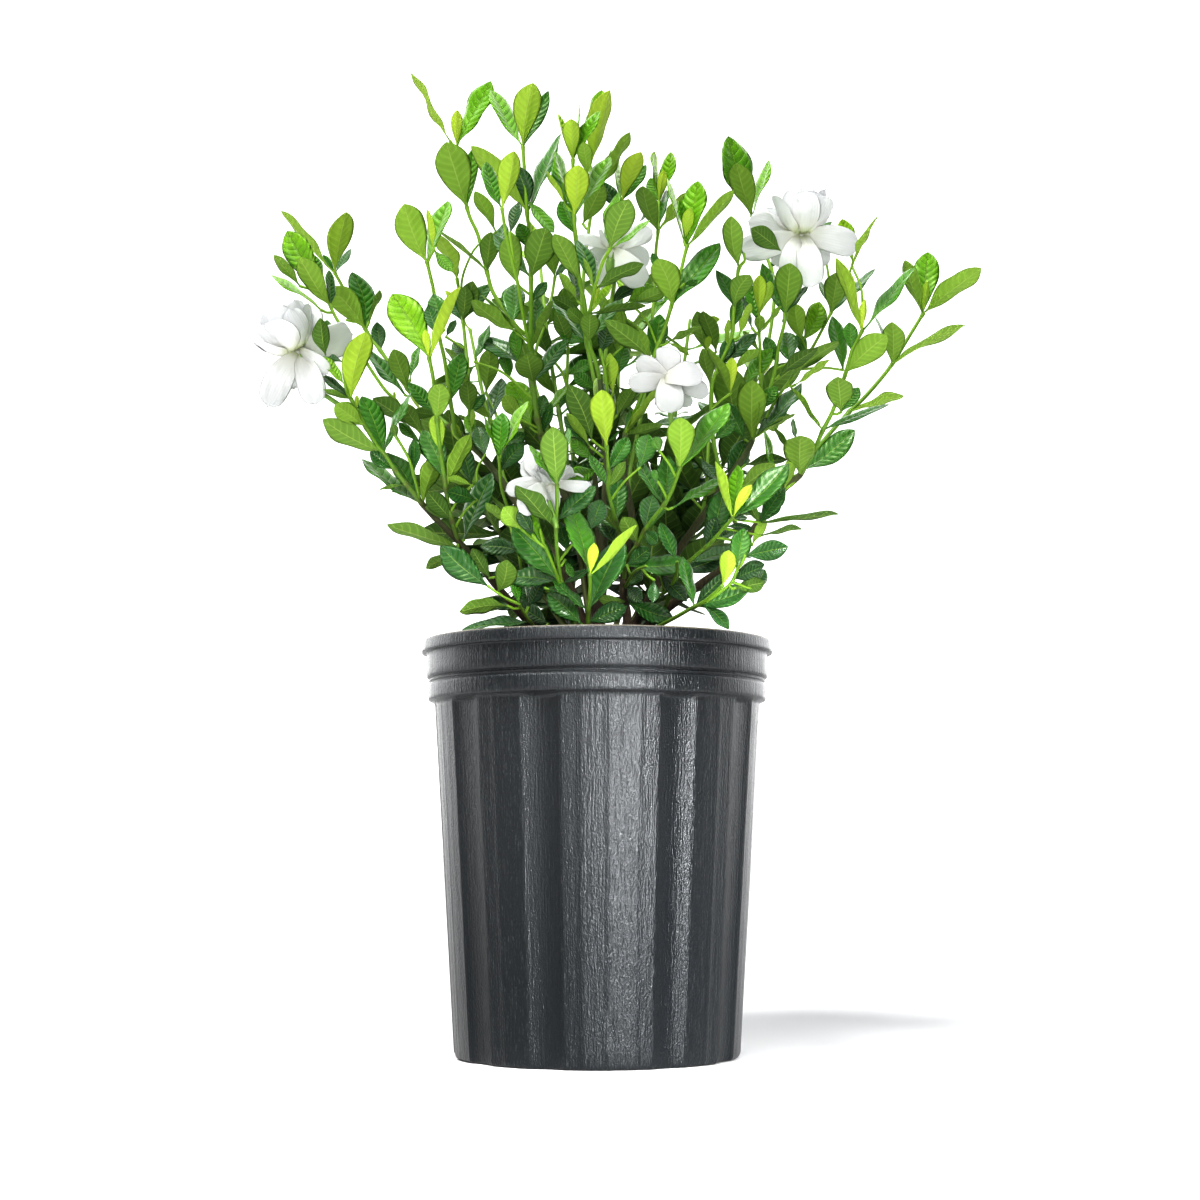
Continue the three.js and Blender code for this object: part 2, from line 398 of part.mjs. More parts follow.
    leaves: [
      [17.2, -22.9, 482.1, 6.9, -32.4, 496.6, 0.64, 0.35, 0.68, 9.1],
      [2.6, -19.7, 478.8, 8.3, -8.4, 501.2, 0.19, -0.9, 0.4, 11.7],
      [13.8, -15.4, 463.4, 19.5, -8.4, 486.3, 0.12, -0.96, 0.26, 11],
      [11.1, -13.6, 451.1, 8.9, -23.4, 476.4, 0.61, 0.72, 0.33, 12.3],
      [-3.5, -14, 418.7, -18.5, -26.6, 452.5, -0.06, 0.94, 0.32, 17.9],
      [-4.2, -11.4, 414, -19.9, -21.9, 434.6, 0.65, 0.35, 0.68, 13],
      [-4.2, -11.4, 414, -21.5, -8.4, 435.3, 0.45, -0.76, 0.47, 12.1],
      [2.1, -11.1, 433.3, 2.1, 11.4, 466.6, 0.61, -0.66, 0.44, 13.9],
      [13.8, -13.5, 435.9, 4.8, -12.7, 457.7, 0.74, -0.6, 0.29, 10.2],
      [13.8, -13.5, 435.9, 24.7, -24.7, 452.2, -0.43, 0.68, 0.6, 11],
      [13.8, -13.5, 435.9, 18.6, -22, 451.4, -0.54, 0.6, 0.59, 7.3],
      [-0.7, -7.7, 398.8, -18.4, -30.2, 387.9, 0.73, -0.66, 0.17, 13.8],
      [-2.8, -11.7, 405.1, -16.7, -3.4, 419.3, -0.37, -0.91, 0.17, 9.7],
    ],
  },
  {
    name: "leafy_shoot_16",
    colour: 0x457b2a,
    stems: [
      [1.3, 6.6, -88, 399.8, 7.4, -65.8, 375, 17, -33.3, 342.8, 19.2, -14.4, 328.2],
      [0.8, 28.6, -68.9, 389.3, 18, -67.4, 380.2, 9.2, -59.8, 369],
      [0.8, 12.2, -31.4, 343.1, 14.7, -31.3, 340.2, 17.4, -29.9, 340.2],
    ],
    leaves: [
      [6.6, -88, 399.8, 3.3, -114.9, 429.3, -0.05, 0.74, 0.67, 18.2],
      [28.6, -68.9, 389.3, 34.4, -48.6, 414.1, 0.17, -0.78, 0.6, 14.5],
      [7, -76, 386.4, 20, -68.4, 408.2, 0.2, -0.95, 0.25, 11.2],
      [7.4, -66.8, 376.1, 17.9, -72.1, 391.4, -0.32, 0.81, 0.49, 8.9],
      [13, -47, 356.4, 14.2, -41.9, 385.9, -0.01, -0.98, 0.18, 13.4],
      [7.4, -66.8, 376.1, -3.3, -59.5, 397.7, 0.61, -0.65, 0.46, 10.5],
      [14.5, -41.6, 351.1, 2.1, -29.9, 369.4, -0.36, -0.87, 0.35, 10.8],
      [14.5, -41.6, 351.1, 2.1, -48.3, 367.1, 0.55, 0.56, 0.62, 10.2],
      [12.2, -31.4, 343.1, 4.1, -20.7, 363.2, -0.23, -0.89, 0.38, 10.8],
    ],
  },
  {
    name: "leafy_shoot_17",
    colour: 0x52872d,
    stems: [
      [1.3, 18.2, 60, 611.5, 14.4, 48.2, 563.7, 6.4, 30.3, 496.3, 4.9, 18, 453.6, 5.6, 8.3, 423, 5.5, -6.6, 385],
      [0.8, 21.5, 39.6, 529.4, 9.4, 37, 521.6],
      [0.8, 17.8, 34.2, 506.7, 6.7, 31.1, 499.2],
    ],
    leaves: [
      [17.5, 57.8, 602.6, 3.5, 58.3, 625.4, 0.33, -0.92, 0.23, 12.2],
      [18.2, 59.9, 611.3, 11, 74.4, 655.1, 0.86, -0.43, 0.28, 20.7],
      [18.2, 59.9, 611.3, 31.9, 41.1, 642.4, -0.4, 0.73, 0.56, 17.3],
      [10.2, 38.8, 528.5, 28.1, 41.3, 541.7, -0.14, -0.93, 0.35, 10.3],
      [21.5, 39.6, 529.4, 41.8, 42.3, 542, 0.21, -0.97, -0.12, 10.8],
      [17.8, 34.2, 506.7, 10.6, 24.8, 525.6, 0.45, 0.72, 0.53, 10],
    ],
  },
  {
    name: "leafy_shoot_18",
    colour: 0x55892e,
    stems: [
      [1.3, 46.3, 90, 620.1, 42.4, 63.5, 549.2, 34.1, 27.3, 462.9, 22.9, -4.5, 399.4, 21.9, -20.1, 375.8],
    ],
    leaves: [
      [46.3, 90, 620.1, 55.4, 88, 658.1, -0.78, -0.61, 0.11, 17.3],
      [46.3, 90, 620.1, 49.7, 77.1, 640.6, 0.06, 0.85, 0.53, 8.8],
      [46.3, 90, 620.1, 42.7, 89.8, 659.5, 0.96, -0.27, 0.07, 17],
      [44.9, 80.7, 595.2, 33.4, 46.6, 618.6, 0.54, 0.38, 0.75, 20.3],
      [46.3, 90, 620.1, 39.7, 93.9, 639.9, -0.14, -0.98, 0.14, 10.3],
      [46.3, 90, 620.1, 32, 89.7, 605.3, -0.69, -0.47, 0.55, 9.4],
      [44.9, 80.7, 595.2, 51.7, 92.6, 630.2, -0.86, -0.44, 0.27, 16.3],
      [44.9, 80.7, 595.2, 64.8, 65.3, 619.2, -0.56, 0.39, 0.73, 15.1],
    ],
  },
  {
    name: "leafy_shoot_19",
    colour: 0x4d832c,
    stems: [
      [1.3, 61.7, -40, 548.7, 45.9, -34.2, 491.3, 29.4, -28.7, 443.7, 19.2, -25, 420.1],
      [0.8, 59.7, -38.8, 552.5, 61.6, -40, 548.4],
      [0.8, 59.5, -38.4, 522.4, 57.3, -37.9, 520.3, 54, -37.2, 520.8],
      [0.8, 43, -42.6, 529.7, 53, -36.8, 517.1],
      [0.8, 22.7, -31.5, 510.6, 34, -32.8, 498.2, 41.9, -32.9, 479.8],
      [0.8, 48.3, -31.3, 483.3, 45.4, -32.3, 481.2, 42.3, -33, 480.9],
      [0.8, 32.8, -29.6, 424.7, 20.3, -25.4, 422.6],
    ],
    leaves: [
      [59.7, -38.8, 552.5, 48.2, -38.1, 597.3, 0.94, -0.26, 0.21, 20.1],
      [61.6, -40, 548.4, 69.3, -42.4, 593.8, -0.52, -0.85, 0.04, 20.5],
      [59.7, -38.8, 552.5, 63.1, -57.3, 570.1, 0.08, 0.7, 0.71, 9.4],
      [61.6, -40, 548.4, 92.9, -59.7, 581.9, -0.67, 0.19, 0.71, 22.5],
      [61.6, -40, 548.4, 56.1, -45.4, 579.4, 0.89, -0.44, 0.04, 14.1],
      [50.5, -35.9, 508.1, 40.1, -75.8, 529.4, -0.17, 0.52, 0.84, 19.6],
      [50.5, -35.9, 508.1, 84.4, -38.1, 551.3, -0.47, -0.83, 0.31, 23.4],
      [43, -42.6, 529.7, 37.6, -42.9, 542.9, -0.11, -0.99, -0.07, 6.1],
      [22.7, -31.5, 510.6, 46.9, -48.9, 515.4, 0.13, 0.4, 0.91, 13.2],
      [22.7, -31.5, 510.6, 46.4, -19.4, 516.9, 0.02, -0.52, 0.86, 12.8],
      [38.5, -31.7, 470.1, 43.4, -27.5, 504.2, 0.04, -0.99, 0.13, 14.9],
      [38.5, -31.7, 470.1, 20.3, -50.4, 494.2, 0.71, 0.25, 0.66, 15.5],
      [38.5, -31.7, 470.1, 6.8, -48.7, 493.2, 0.28, 0.57, 0.77, 17.6],
      [48.3, -31.3, 483.3, 70.2, -41.9, 491.5, -0.22, 0.24, 0.95, 11.7],
      [48.3, -31.3, 483.3, 62.5, -27.2, 475.5, 0.36, 0.35, 0.86, 7.3],
      [19.6, -25.2, 421.1, 29.3, -36.2, 438.6, -0.73, 0.19, 0.66, 8.4],
      [19.6, -25.2, 421.1, 34.8, -32.5, 439.4, -0.72, 0.18, 0.67, 9.2],
      [19.2, -25, 420.1, 39.3, -45.5, 447, -0.75, 0.21, 0.63, 17.9],
      [19.6, -25.2, 421.1, 22.7, -22.8, 437.9, -0.78, -0.44, 0.44, 7.3],
      [32.8, -29.6, 424.7, 63.4, -34.1, 430.8, -0.24, -0.51, 0.82, 15.7],
      [19.2, -25, 420.1, 42.9, -36.3, 424.8, -0.06, 0.5, 0.86, 11.6],
    ],
  },
  {
    name: "leafy_shoot_20",
    colour: 0x51862d,
    stems: [
      [1.3, 115.2, 80, 606.3, 129.7, 63.1, 552.8, 127.1, 52.6, 520.2, 120.9, 41.4, 487.9, 114.7, 29.4, 456, 109, 14, 423.4],
      [0.8, 135.6, 69, 577.1, 126.8, 66.5, 563.6],
    ],
    leaves: [
      [115.3, 79.8, 605.8, 97, 67.1, 663.3, 0.43, -0.9, -0.07, 27.5],
      [115.3, 79.8, 605.8, 101.8, 52.8, 638, 0.38, 0.63, 0.68, 20.5],
      [115.3, 79.8, 605.8, 128, 76.9, 648.2, -0.92, -0.31, 0.25, 19.3],
      [135.6, 69, 577.1, 118, 78.4, 594.3, -0.45, -0.89, 0.03, 11.8],
    ],
  },
  {
    name: "leafy_shoot_21",
    colour: 0x487e2b,
    stems: [
      [1.3, 101.2, -32, 539.7, 97.7, -31.4, 535.6, 92.9, -26.1, 489.8, 79.2, -21.7, 455.7, 79.2, -17.8, 425, 86.1, -13.2, 390.9, 94.5, -8.9, 363.7, 102.2, -5.9, 350.2],
      [0.8, 101.3, -31.2, 545.5, 101.2, -32, 539.7],
      [0.8, 97.8, -24.8, 489.4, 95.3, -25.4, 487.3, 92, -25.8, 487.5],
      [0.8, 91.8, -22.4, 449.6, 79.2, -19.7, 439.8],
      [0.8, 95.2, -20.3, 467.9, 82.5, -22.8, 464],
      [0.8, 102.8, -1.9, 403.4, 94.5, -7.5, 395.1, 88.5, -12, 383.2],
      [0.8, 97.3, -10.1, 384.4, 90.9, -10.7, 375.4],
    ],
    leaves: [
      [97.7, -31.4, 535.5, 91.3, -50.3, 566.7, 0.59, 0.64, 0.5, 16.7],
      [101.3, -31.2, 545.5, 87.4, -22.7, 562.2, 0.46, -0.58, 0.67, 10.4],
      [94.8, -28.2, 508.3, 82.1, -27.3, 535.3, 0.37, -0.91, 0.19, 13.2],
      [94.8, -28.2, 508.3, 103.5, -56.2, 523.9, 0.31, 0.53, 0.79, 14.9],
      [97.8, -24.8, 489.4, 104.6, -39, 509, -0.66, 0.48, 0.58, 11.4],
      [91.8, -22.4, 449.6, 92.1, -36.8, 470.4, 0.04, 0.81, 0.59, 8.9],
      [91.8, -22.4, 449.6, 76.6, -48, 474, 0.72, 0.26, 0.64, 17.6],
      [89.9, -25.1, 482.3, 89.3, -40.5, 496, -0.78, 0.36, 0.5, 9.1],
      [84.5, -23.4, 469, 108.9, -24.8, 490.1, -0.47, -0.79, 0.4, 13.4],
      [95.2, -20.3, 467.9, 109.2, -37.4, 476.6, -0.02, 0.43, 0.9, 10.8],
      [84.5, -23.4, 469, 92.9, -25.9, 487.7, -0.02, -0.99, -0.11, 9.5],
      [102.8, -1.9, 403.4, 129.5, -6.9, 406, 0, 0.47, 0.88, 12.3],
      [97.3, -10.1, 384.4, 119.9, -22.5, 399, -0.09, 0.69, 0.72, 13.4],
    ],
  },
  {
    name: "leafy_shoot_22",
    colour: 0x447a2a,
    stems: [
      [1.2, 79.5, 62, 500.1, 82.9, 48.7, 460.1, 76.8, 22, 389.8, 72.6, 10.4, 367.4],
      [0.8, 86.6, 59.7, 498.1, 80.2, 59.1, 491.3],
      [0.8, 73.1, 28.6, 414, 78.5, 29.6, 409.8],
      [0.8, 65.1, 12.7, 384, 73.9, 14, 374.4],
    ],
    leaves: [
      [79.6, 61.6, 498.9, 72.5, 51.1, 526.5, 0.01, 0.93, 0.37, 13.1],
      [86.6, 59.7, 498.1, 76.3, 39.7, 523.6, 0.6, 0.49, 0.63, 17],
      [79.6, 61.6, 498.9, 81, 48.2, 507.2, -0.05, 0.55, 0.83, 5.8],
      [81.9, 52.5, 471.7, 76.3, 42.3, 495.5, 0.56, 0.74, 0.37, 11.9],
      [73.1, 28.6, 414, 85.2, 19.5, 396.6, 0.16, -0.83, 0.54, 10.5],
      [65.1, 12.7, 384, 84.2, 15.1, 388.7, -0.26, 0.51, 0.82, 8.7],
    ],
  },
  {
    name: "leafy_shoot_23",
    colour: 0x467b2a,
    stems: [
      [1.4, 133, 12, 514.3, 122.7, 13, 463.3, 117.7, 13.2, 452.6, 109, 14, 423.4],
      [1, 114.3, 10, 500.1, 114.9, 12.1, 466.7, 117.7, 13.2, 452.6],
      [0.8, 114.1, 6.2, 512.5, 114.3, 10, 500.1],
      [0.8, 109.6, 12.5, 504.3, 114.3, 10.1, 499],
      [0.8, 136.1, 11.4, 479.5, 125, 12.8, 474.9],
      [0.8, 128.4, 13.5, 469.9, 126.3, 13.2, 467.6, 123.6, 12.9, 467.7],
      [0.8, 104.3, 13.2, 462.6, 117, 12.9, 456.1],
      [0.8, 104.1, 13.9, 424.1, 106.7, 13.9, 422.5, 109, 14, 423.4],
      [0.8, 116.1, 14.4, 429.9, 113.3, 14.1, 427.5, 110.1, 13.9, 427],
      [0.8, 92, 14.9, 395.8, 109, 14, 423.4],
    ],
    leaves: [
      [114.1, 6.2, 512.5, 113.2, -17.5, 534.5, 0.08, 0.68, 0.72, 11.8],
      [114.1, 6.2, 512.5, 120.7, -10.7, 532, -0.48, 0.58, 0.66, 11.9],
      [109.6, 12.5, 504.3, 101.5, 15.4, 530.4, 0.83, -0.47, 0.31, 12.3],
      [114.3, 10, 500.1, 114, -4.2, 509.4, 0.09, 0.55, 0.83, 7.7],
      [114.3, 10, 500.1, 129.2, 0.8, 517.2, -0.67, 0.18, 0.72, 9.2],
      [133, 12, 514.3, 133.5, -24.6, 541, 0.12, 0.57, 0.82, 20.2],
      [133, 12, 514.3, 117.1, 13.6, 551.7, 0.56, -0.78, 0.27, 17.1],
      [133, 12, 514.3, 149.8, 8.4, 535, -0.72, -0.51, 0.48, 11.2],
      [136.1, 11.4, 479.5, 135.4, 33, 506.4, -0.17, -0.77, 0.61, 15.4],
      [126, 12.7, 479.7, 119.9, 18.5, 498.5, -0.24, -0.95, 0.22, 9.1],
      [128.4, 13.5, 469.9, 153.4, 0.6, 486.3, -0.27, 0.51, 0.82, 14.7],
      [104.3, 13.2, 462.6, 123, 13.6, 488.7, -0.33, -0.91, 0.25, 14.3],
      [114.5, 10.8, 486.6, 102.7, 5.6, 500.4, 0.62, 0.37, 0.69, 8.7],
      [109.3, 14, 424.3, 107.4, -12.9, 459, 0.06, 0.8, 0.6, 20.3],
      [109.3, 14, 424.3, 101.1, -2.5, 459.2, 0.65, 0.64, 0.42, 18.1],
      [104.1, 13.9, 424.1, 92.5, 16.4, 449.7, -0.17, -0.99, 0.02, 12.6],
      [109.3, 14, 424.3, 142.9, 17.9, 463.7, -0.65, -0.51, 0.57, 21.3],
      [116.1, 14.4, 429.9, 137.5, 7.7, 440.7, -0.38, 0.23, 0.89, 11.2],
      [92, 14.9, 395.8, 104.5, 20.3, 423.9, 0.08, -0.98, 0.15, 14],
    ],
  },
  {
    name: "leafy_shoot_24",
    colour: 0x4c812c,
    stems: [
      [1.1, 170.9, 60, 527.3, 155.4, 46.9, 498, 138, 33.2, 471.4, 127.8, 24.6, 456.5, 119, 13.5, 439.8],
      [0.8, 160.6, 66.6, 590, 169.2, 66.2, 563.3, 170.9, 60, 527.3],
      [0.8, 187.5, 59.7, 565.4, 181.9, 62.1, 549.5, 170.9, 60, 527.3],
      [0.8, 148.3, 44.5, 502.6, 152.1, 44.3, 493],
      [0.8, 177.3, 44.5, 481.3, 162.9, 43.2, 482.6, 143.6, 37.6, 479.9],
      [0.8, 141.5, 33.1, 467.8, 138.9, 32.5, 466.4, 135.4, 31, 467.6],
    ],
    leaves: [
      [160.6, 66.6, 590, 173.1, 65.5, 597.3, -0.4, -0.71, 0.58, 6.5],
      [187.5, 59.7, 565.4, 179.3, 55.3, 596.5, 0.3, -0.95, -0.06, 14.6],
      [148.3, 44.5, 502.6, 141.1, 22.5, 524.3, -0.03, 0.7, 0.71, 14.3],
      [148.3, 44.5, 502.6, 162.2, 53.4, 533.8, 0.11, -0.97, 0.23, 15.7],
      [170.9, 60, 527.3, 172.8, 29.1, 549.5, 0.18, 0.58, 0.79, 17.3],
      [170.9, 60, 527.3, 162.9, 64.5, 554, 0.85, -0.45, 0.27, 12.1],
      [170.9, 60, 527.3, 202.7, 53.5, 558.4, -0.7, -0.41, 0.59, 19.7],
      [177.3, 44.5, 481.3, 169.5, 41, 520.2, 0.53, -0.85, 0.03, 17.9],
      [139.5, 34.4, 473.7, 168.1, 5.9, 491.9, -0.33, 0.27, 0.9, 20],
      [141.5, 33.1, 467.8, 164.4, 24.6, 483.3, -0.48, 0.25, 0.84, 13],
    ],
  },
  {
    name: "leafy_shoot_25",
    colour: 0x568b2e,
    stems: [
      [1.3, 177.9, -62, 483.7, 171.8, -55.1, 471, 160.7, -36.1, 435.2, 147.8, -18.7, 407.3, 140.4, -8, 395.3],
      [0.8, 173, -52.4, 531.1, 178.3, -60.4, 511.4, 177.9, -62, 483.7],
      [0.8, 166.3, -34.3, 434.2, 163.3, -35, 432.4, 159.6, -34.6, 432.9],
    ],
    leaves: [
      [177.9, -62, 483.7, 159.7, -73.8, 530.7, 0.88, 0.25, 0.39, 22.5],
      [177.9, -62, 483.7, 178.9, -72.7, 502.9, -0.46, 0.75, 0.48, 7.3],
      [177.9, -62, 483.7, 212.6, -72.8, 524.1, -0.74, -0.43, 0.53, 22.7],
      [173, -52.4, 531.1, 185.7, -87.7, 554.6, -0.8, 0.1, 0.59, 20.1],
      [167.9, -48.3, 458.3, 191.5, -74.6, 476.5, 0.44, 0.75, 0.5, 18],
      [154.9, -28.3, 422.6, 132.2, -43.9, 448, 0.78, -0.05, 0.62, 16.4],
      [166.3, -34.3, 434.2, 160.5, -69.7, 449.2, -0.02, 0.39, 0.92, 17.6],
      [154.9, -28.3, 422.6, 196.7, -31.5, 438.9, -0.35, -0.47, 0.81, 20],
    ],
  },
  {
    name: "leafy_shoot_26",
    colour: 0x53872e,
    stems: [
      [1.4, 230.6, 12, 514.3, 208.1, 7.1, 477.8, 198.5, 5.2, 465.2, 159.3, -2.4, 422.4, 140.4, -8, 395.3],
      [0.8, 204, 11.2, 495.3, 208.1, 9.6, 487.8, 209.6, 7.4, 480.2],
      [0.8, 129, -10.8, 384.3, 140.4, -8, 395.3],
      [0.8, 135.5, -2.9, 409.6, 139.3, -5, 402.5, 140.5, -8, 395.5],
      [0.8, 137.8, -9, 418.3, 142.7, -7.3, 410.5, 145.2, -6.6, 402.1],
      [0.8, 123, -9.4, 392.9, 140.4, -8, 395.3],
    ],
    leaves: [
      [207.3, 6.9, 476.7, 204.3, -18.4, 500.9, 0.13, 0.69, 0.72, 16],
      [204, 11.2, 495.3, 197.2, 16.4, 513.2, 0.75, -0.51, 0.43, 8.9],
      [207.3, 6.9, 476.7, 256.6, -8.4, 501.2, -0.4, 0.22, 0.89, 25],
      [230.6, 12, 514.3, 216.2, -3.4, 549.1, 0.82, 0.32, 0.47, 17.6],
      [230.6, 12, 514.3, 235.6, 16.3, 560.5, -0.12, -0.99, 0.11, 19.5],
      [230.6, 12, 514.3, 233.3, 4.1, 536.8, -0.43, 0.82, 0.37, 7.7],
      [230.6, 12, 514.3, 267.7, -13.1, 540.7, -0.19, 0.57, 0.8, 22.5],
      [176.8, 1, 441.5, 212.6, 1.9, 452.3, -0.28, 0.3, 0.91, 16.8],
      [142.8, -7.3, 398.7, 175.9, -9.3, 424.6, -0.38, -0.85, 0.37, 18.6],
      [140.4, -8, 395.3, 136.7, -49.8, 412.5, 0.05, 0.39, 0.92, 20.7],
      [129, -10.8, 384.3, 134.4, -21.6, 404.7, -0.49, 0.71, 0.5, 10.7],
      [135.5, -2.9, 409.6, 123.5, -15.2, 425.5, 0.75, 0.11, 0.65, 10.6],
      [137.8, -9, 418.3, 135.8, -10.1, 433.5, 0.8, -0.59, 0.06, 6.9],
      [123, -9.4, 392.9, 115.5, -20.6, 421.6, 0.86, -0.5, 0.03, 14.6],
    ],
  },
  {
    name: "leafy_shoot_27",
    colour: 0x4b812c,
    stems: [
      [1.4, 54.2, -92, 385.1, 44.3, -70.2, 364.2, 32.1, -52.3, 350.2, 19.7, -28.6, 331.8, 18.5, -13.6, 321.4],
      [0.8, 40.2, -79, 378.1, 43.9, -77.7, 372, 45.9, -73.7, 367.6],
      [0.8, 41.3, -90.1, 396.1, 47.4, -90.2, 387.7, 51.5, -86.1, 379.5],
      [0.8, 49.7, -69.5, 362.3, 47, -69.8, 361.3, 43.4, -68.8, 363.1],
    ],
    leaves: [
      [54.2, -92, 385.1, 53.8, -121.8, 409.6, 0.04, 0.63, 0.77, 17.5],
      [54.2, -92, 385.1, 84.5, -81, 427.2, -0.56, -0.62, 0.55, 22.4],
      [44.5, -70.6, 364.6, 28.7, -64, 392.2, 0.61, -0.65, 0.46, 13.6],
      [44.5, -70.6, 364.6, 47.2, -68.7, 394.7, 0, -1, 0.06, 13.2],
      [31.8, -51.8, 349.8, 37.3, -34.4, 374.1, 0.14, -0.82, 0.56, 13.4],
      [41.3, -90.1, 396.1, 38.3, -77.5, 407.8, -0.3, -0.69, 0.66, 7.8],
      [49.7, -69.5, 362.3, 80.3, -67.4, 380.1, -0.43, -0.44, 0.79, 15.9],
      [27.3, -43.1, 343.1, 18, -65, 355, -0.38, 0.58, 0.72, 12.1],
      [31.8, -51.8, 349.8, 44.9, -52, 363.8, -0.64, -0.58, 0.5, 7.7],
      [31.8, -51.8, 349.8, 39.1, -65.4, 340.2, -0.66, -0.69, 0.31, 8.7],
    ],
  },
  {
    name: "leafy_shoot_28",
    colour: 0x52872d,
    stems: [
      [1.2, -65.2, -62, 396.6, -63.8, -48.3, 378, -58.8, -37.6, 364.7, -49.7, -24.6, 350.9, -35.8, -8.8, 338.6, -25.7, 3.5, 333.3],
    ],
    leaves: [
      [-65.2, -62, 396.6, -47.6, -56, 434.5, -0.75, -0.52, 0.41, 19],
      [-65.2, -62, 396.6, -63.6, -58.2, 426.5, -0.37, -0.92, 0.13, 13.2],
      [-65.2, -62, 396.6, -74.9, -59.3, 424.2, 0.92, -0.22, 0.33, 12.8],
      [-64.6, -56.3, 388.8, -50.6, -44.9, 408.6, 0.38, -0.89, 0.24, 12],
    ],
  },
  {
    name: "leafy_shoot_29",
    colour: 0x42772a,
    stems: [
      [1.2, -81, 62, 468.2, -72.3, 49.6, 447.1, -67.2, 23.6, 404.4, -59.3, 5.7, 382.9],
      [0.8, -76.9, 48.9, 446.2, -74.4, 48.5, 443.4, -71.8, 47, 442.9],
    ],
    leaves: [
      [-81, 62, 468.2, -77.5, 48.2, 496.9, -0.03, 0.9, 0.44, 14.5],
      [-76.9, 48.9, 446.2, -70.2, 63.5, 478.1, -0.47, -0.74, 0.48, 15.5],
      [-76.9, 48.9, 446.2, -86.9, 39.4, 453.1, 0.15, 0.55, 0.82, 7.6],
    ],
  },
  {
    name: "leafy_shoot_30",
    colour: 0x467c2a,
    stems: [
      [1.4, -25.3, -125, 368.2, -26.3, -103.4, 342.6, -22.8, -75.8, 310.9, -16.5, -55.4, 289.4, -8.8, -22, 260.2],
      [1.1, -32.6, -108, 330.2, -28.3, -95.3, 320.9, -21.9, -72.7, 307.7],
      [0.8, -48.3, -98.9, 343.3, -41.3, -106.1, 336.7, -32.6, -108, 330.2],
      [0.8, -36.5, -105.1, 342.3, -35.1, -108.1, 335.4, -32.6, -108, 330.2],
      [0.8, -4.4, -92.6, 344.2, -15.3, -92.8, 335.2, -24.2, -87.1, 323.9],
      [0.8, -40.8, -112.1, 338.1, -37.2, -111.5, 333.2, -32.6, -108, 330.2],
      [0.8, -20.7, -86.3, 325.4, -22.8, -86.2, 322, -24, -85, 321.4],
      [0.8, -33.9, -77.8, 308.1, -28.8, -76.8, 306.6, -21.9, -72.8, 307.7],
    ],
    leaves: [
      [-25.3, -125, 368.2, -27.4, -148, 397.9, -0.05, 0.79, 0.61, 17.1],
      [-25.3, -125, 368.2, -41.3, -123.7, 391.7, 0.7, -0.53, 0.48, 12.2],
      [-25.3, -125, 368.2, -19.2, -108.2, 405.1, -0.85, -0.43, 0.31, 17.3],
      [-26.3, -104.3, 343.6, -48.5, -132.1, 363.8, 0.28, 0.42, 0.86, 17],
      [-48.3, -98.9, 343.3, -59.1, -105.5, 355.3, -0.2, 0.92, 0.33, 12.9],
      [-36.5, -105.1, 342.3, -48.3, -65.8, 365, 0.26, -0.42, 0.87, 9.1],
      [-26.1, -107.4, 347.3, -3.1, -105.5, 368.3, -0.23, -0.92, 0.3, 13.2],
      [-4.4, -92.6, 344.2, 2.1, -73.5, 365, 0.27, -0.75, 0.61, 13],
      [-24, -80.3, 312.1, -55.6, -60.3, 316.9, -0.32, -0.68, 0.66, 16.3],
      [-24, -80.3, 312.1, -51.7, -79.4, 343.5, -0.06, -1, -0.03, 18.3],
      [-40.8, -112.1, 338.1, -49.3, -108.7, 353.5, -0.13, -0.98, 0.14, 8.9],
      [-32.6, -108, 330.2, -46.4, -100.8, 357.3, 0.66, -0.57, 0.49, 14],
      [-22.8, -76.1, 311.2, -7.8, -74.6, 319.7, -0.29, -0.74, 0.61, 7],
    ],
  },
  {
    name: "leafy_shoot_31",
    colour: 0x568a2e,
    stems: [
      [1.3, -4.3, -112, 312.3, -5.8, -68.4, 281.4, -3.3, -30, 259.6],
      [0.8, -9.7, -71.9, 284.3, -7.8, -71, 281.4, -5.8, -68.6, 281.5],
    ],
    leaves: [
      [-5.3, -84, 292.5, -26.7, -81.4, 310.9, 0.52, -0.58, 0.63, 12.6],
      [-4.3, -112, 312.3, -16.1, -96, 355.5, 0.64, -0.65, 0.41, 21],
      [-4.3, -112, 312.3, -1.8, -118.6, 329.4, 0.01, 0.93, 0.36, 8.3],
      [-4.3, -112, 312.3, 21.8, -118.8, 339.6, -0.73, 0.14, 0.67, 17],
      [-5.3, -84, 292.5, 14.5, -75.3, 335.5, -0.36, -0.87, 0.33, 21.1],
      [-9.7, -71.9, 284.3, -29.4, -72.9, 302.7, -0.02, -1, -0.08, 14.4],
      [-5.6, -75, 286, 16.6, -62.2, 296.7, 0.48, -0.87, 0.12, 11.8],
    ],
  },
  {
    name: "leafy_shoot_32",
    colour: 0x43782a,
    stems: [
      [1.1, -51.2, -70, 298.4, -40.4, -10.6, 285.9],
      [0.8, -72, -63.5, 311.1, -62.2, -70.3, 303.7, -51.2, -70, 298.4],
      [0.8, -58.4, -70, 297.1, -54.5, -68.4, 295.4, -50.1, -63.9, 297.1],
      [0.8, -65.4, -62.4, 307.3, -58.8, -68.8, 301.5, -51.2, -70, 298.4],
      [0.8, -45.8, -55.5, 298.1, -47, -54.7, 294.1, -48, -52.1, 294.6],
      [0.8, -33.5, -13.5, 291.1, -37.2, -13.4, 286.7, -40.4, -10.6, 285.9],
    ],
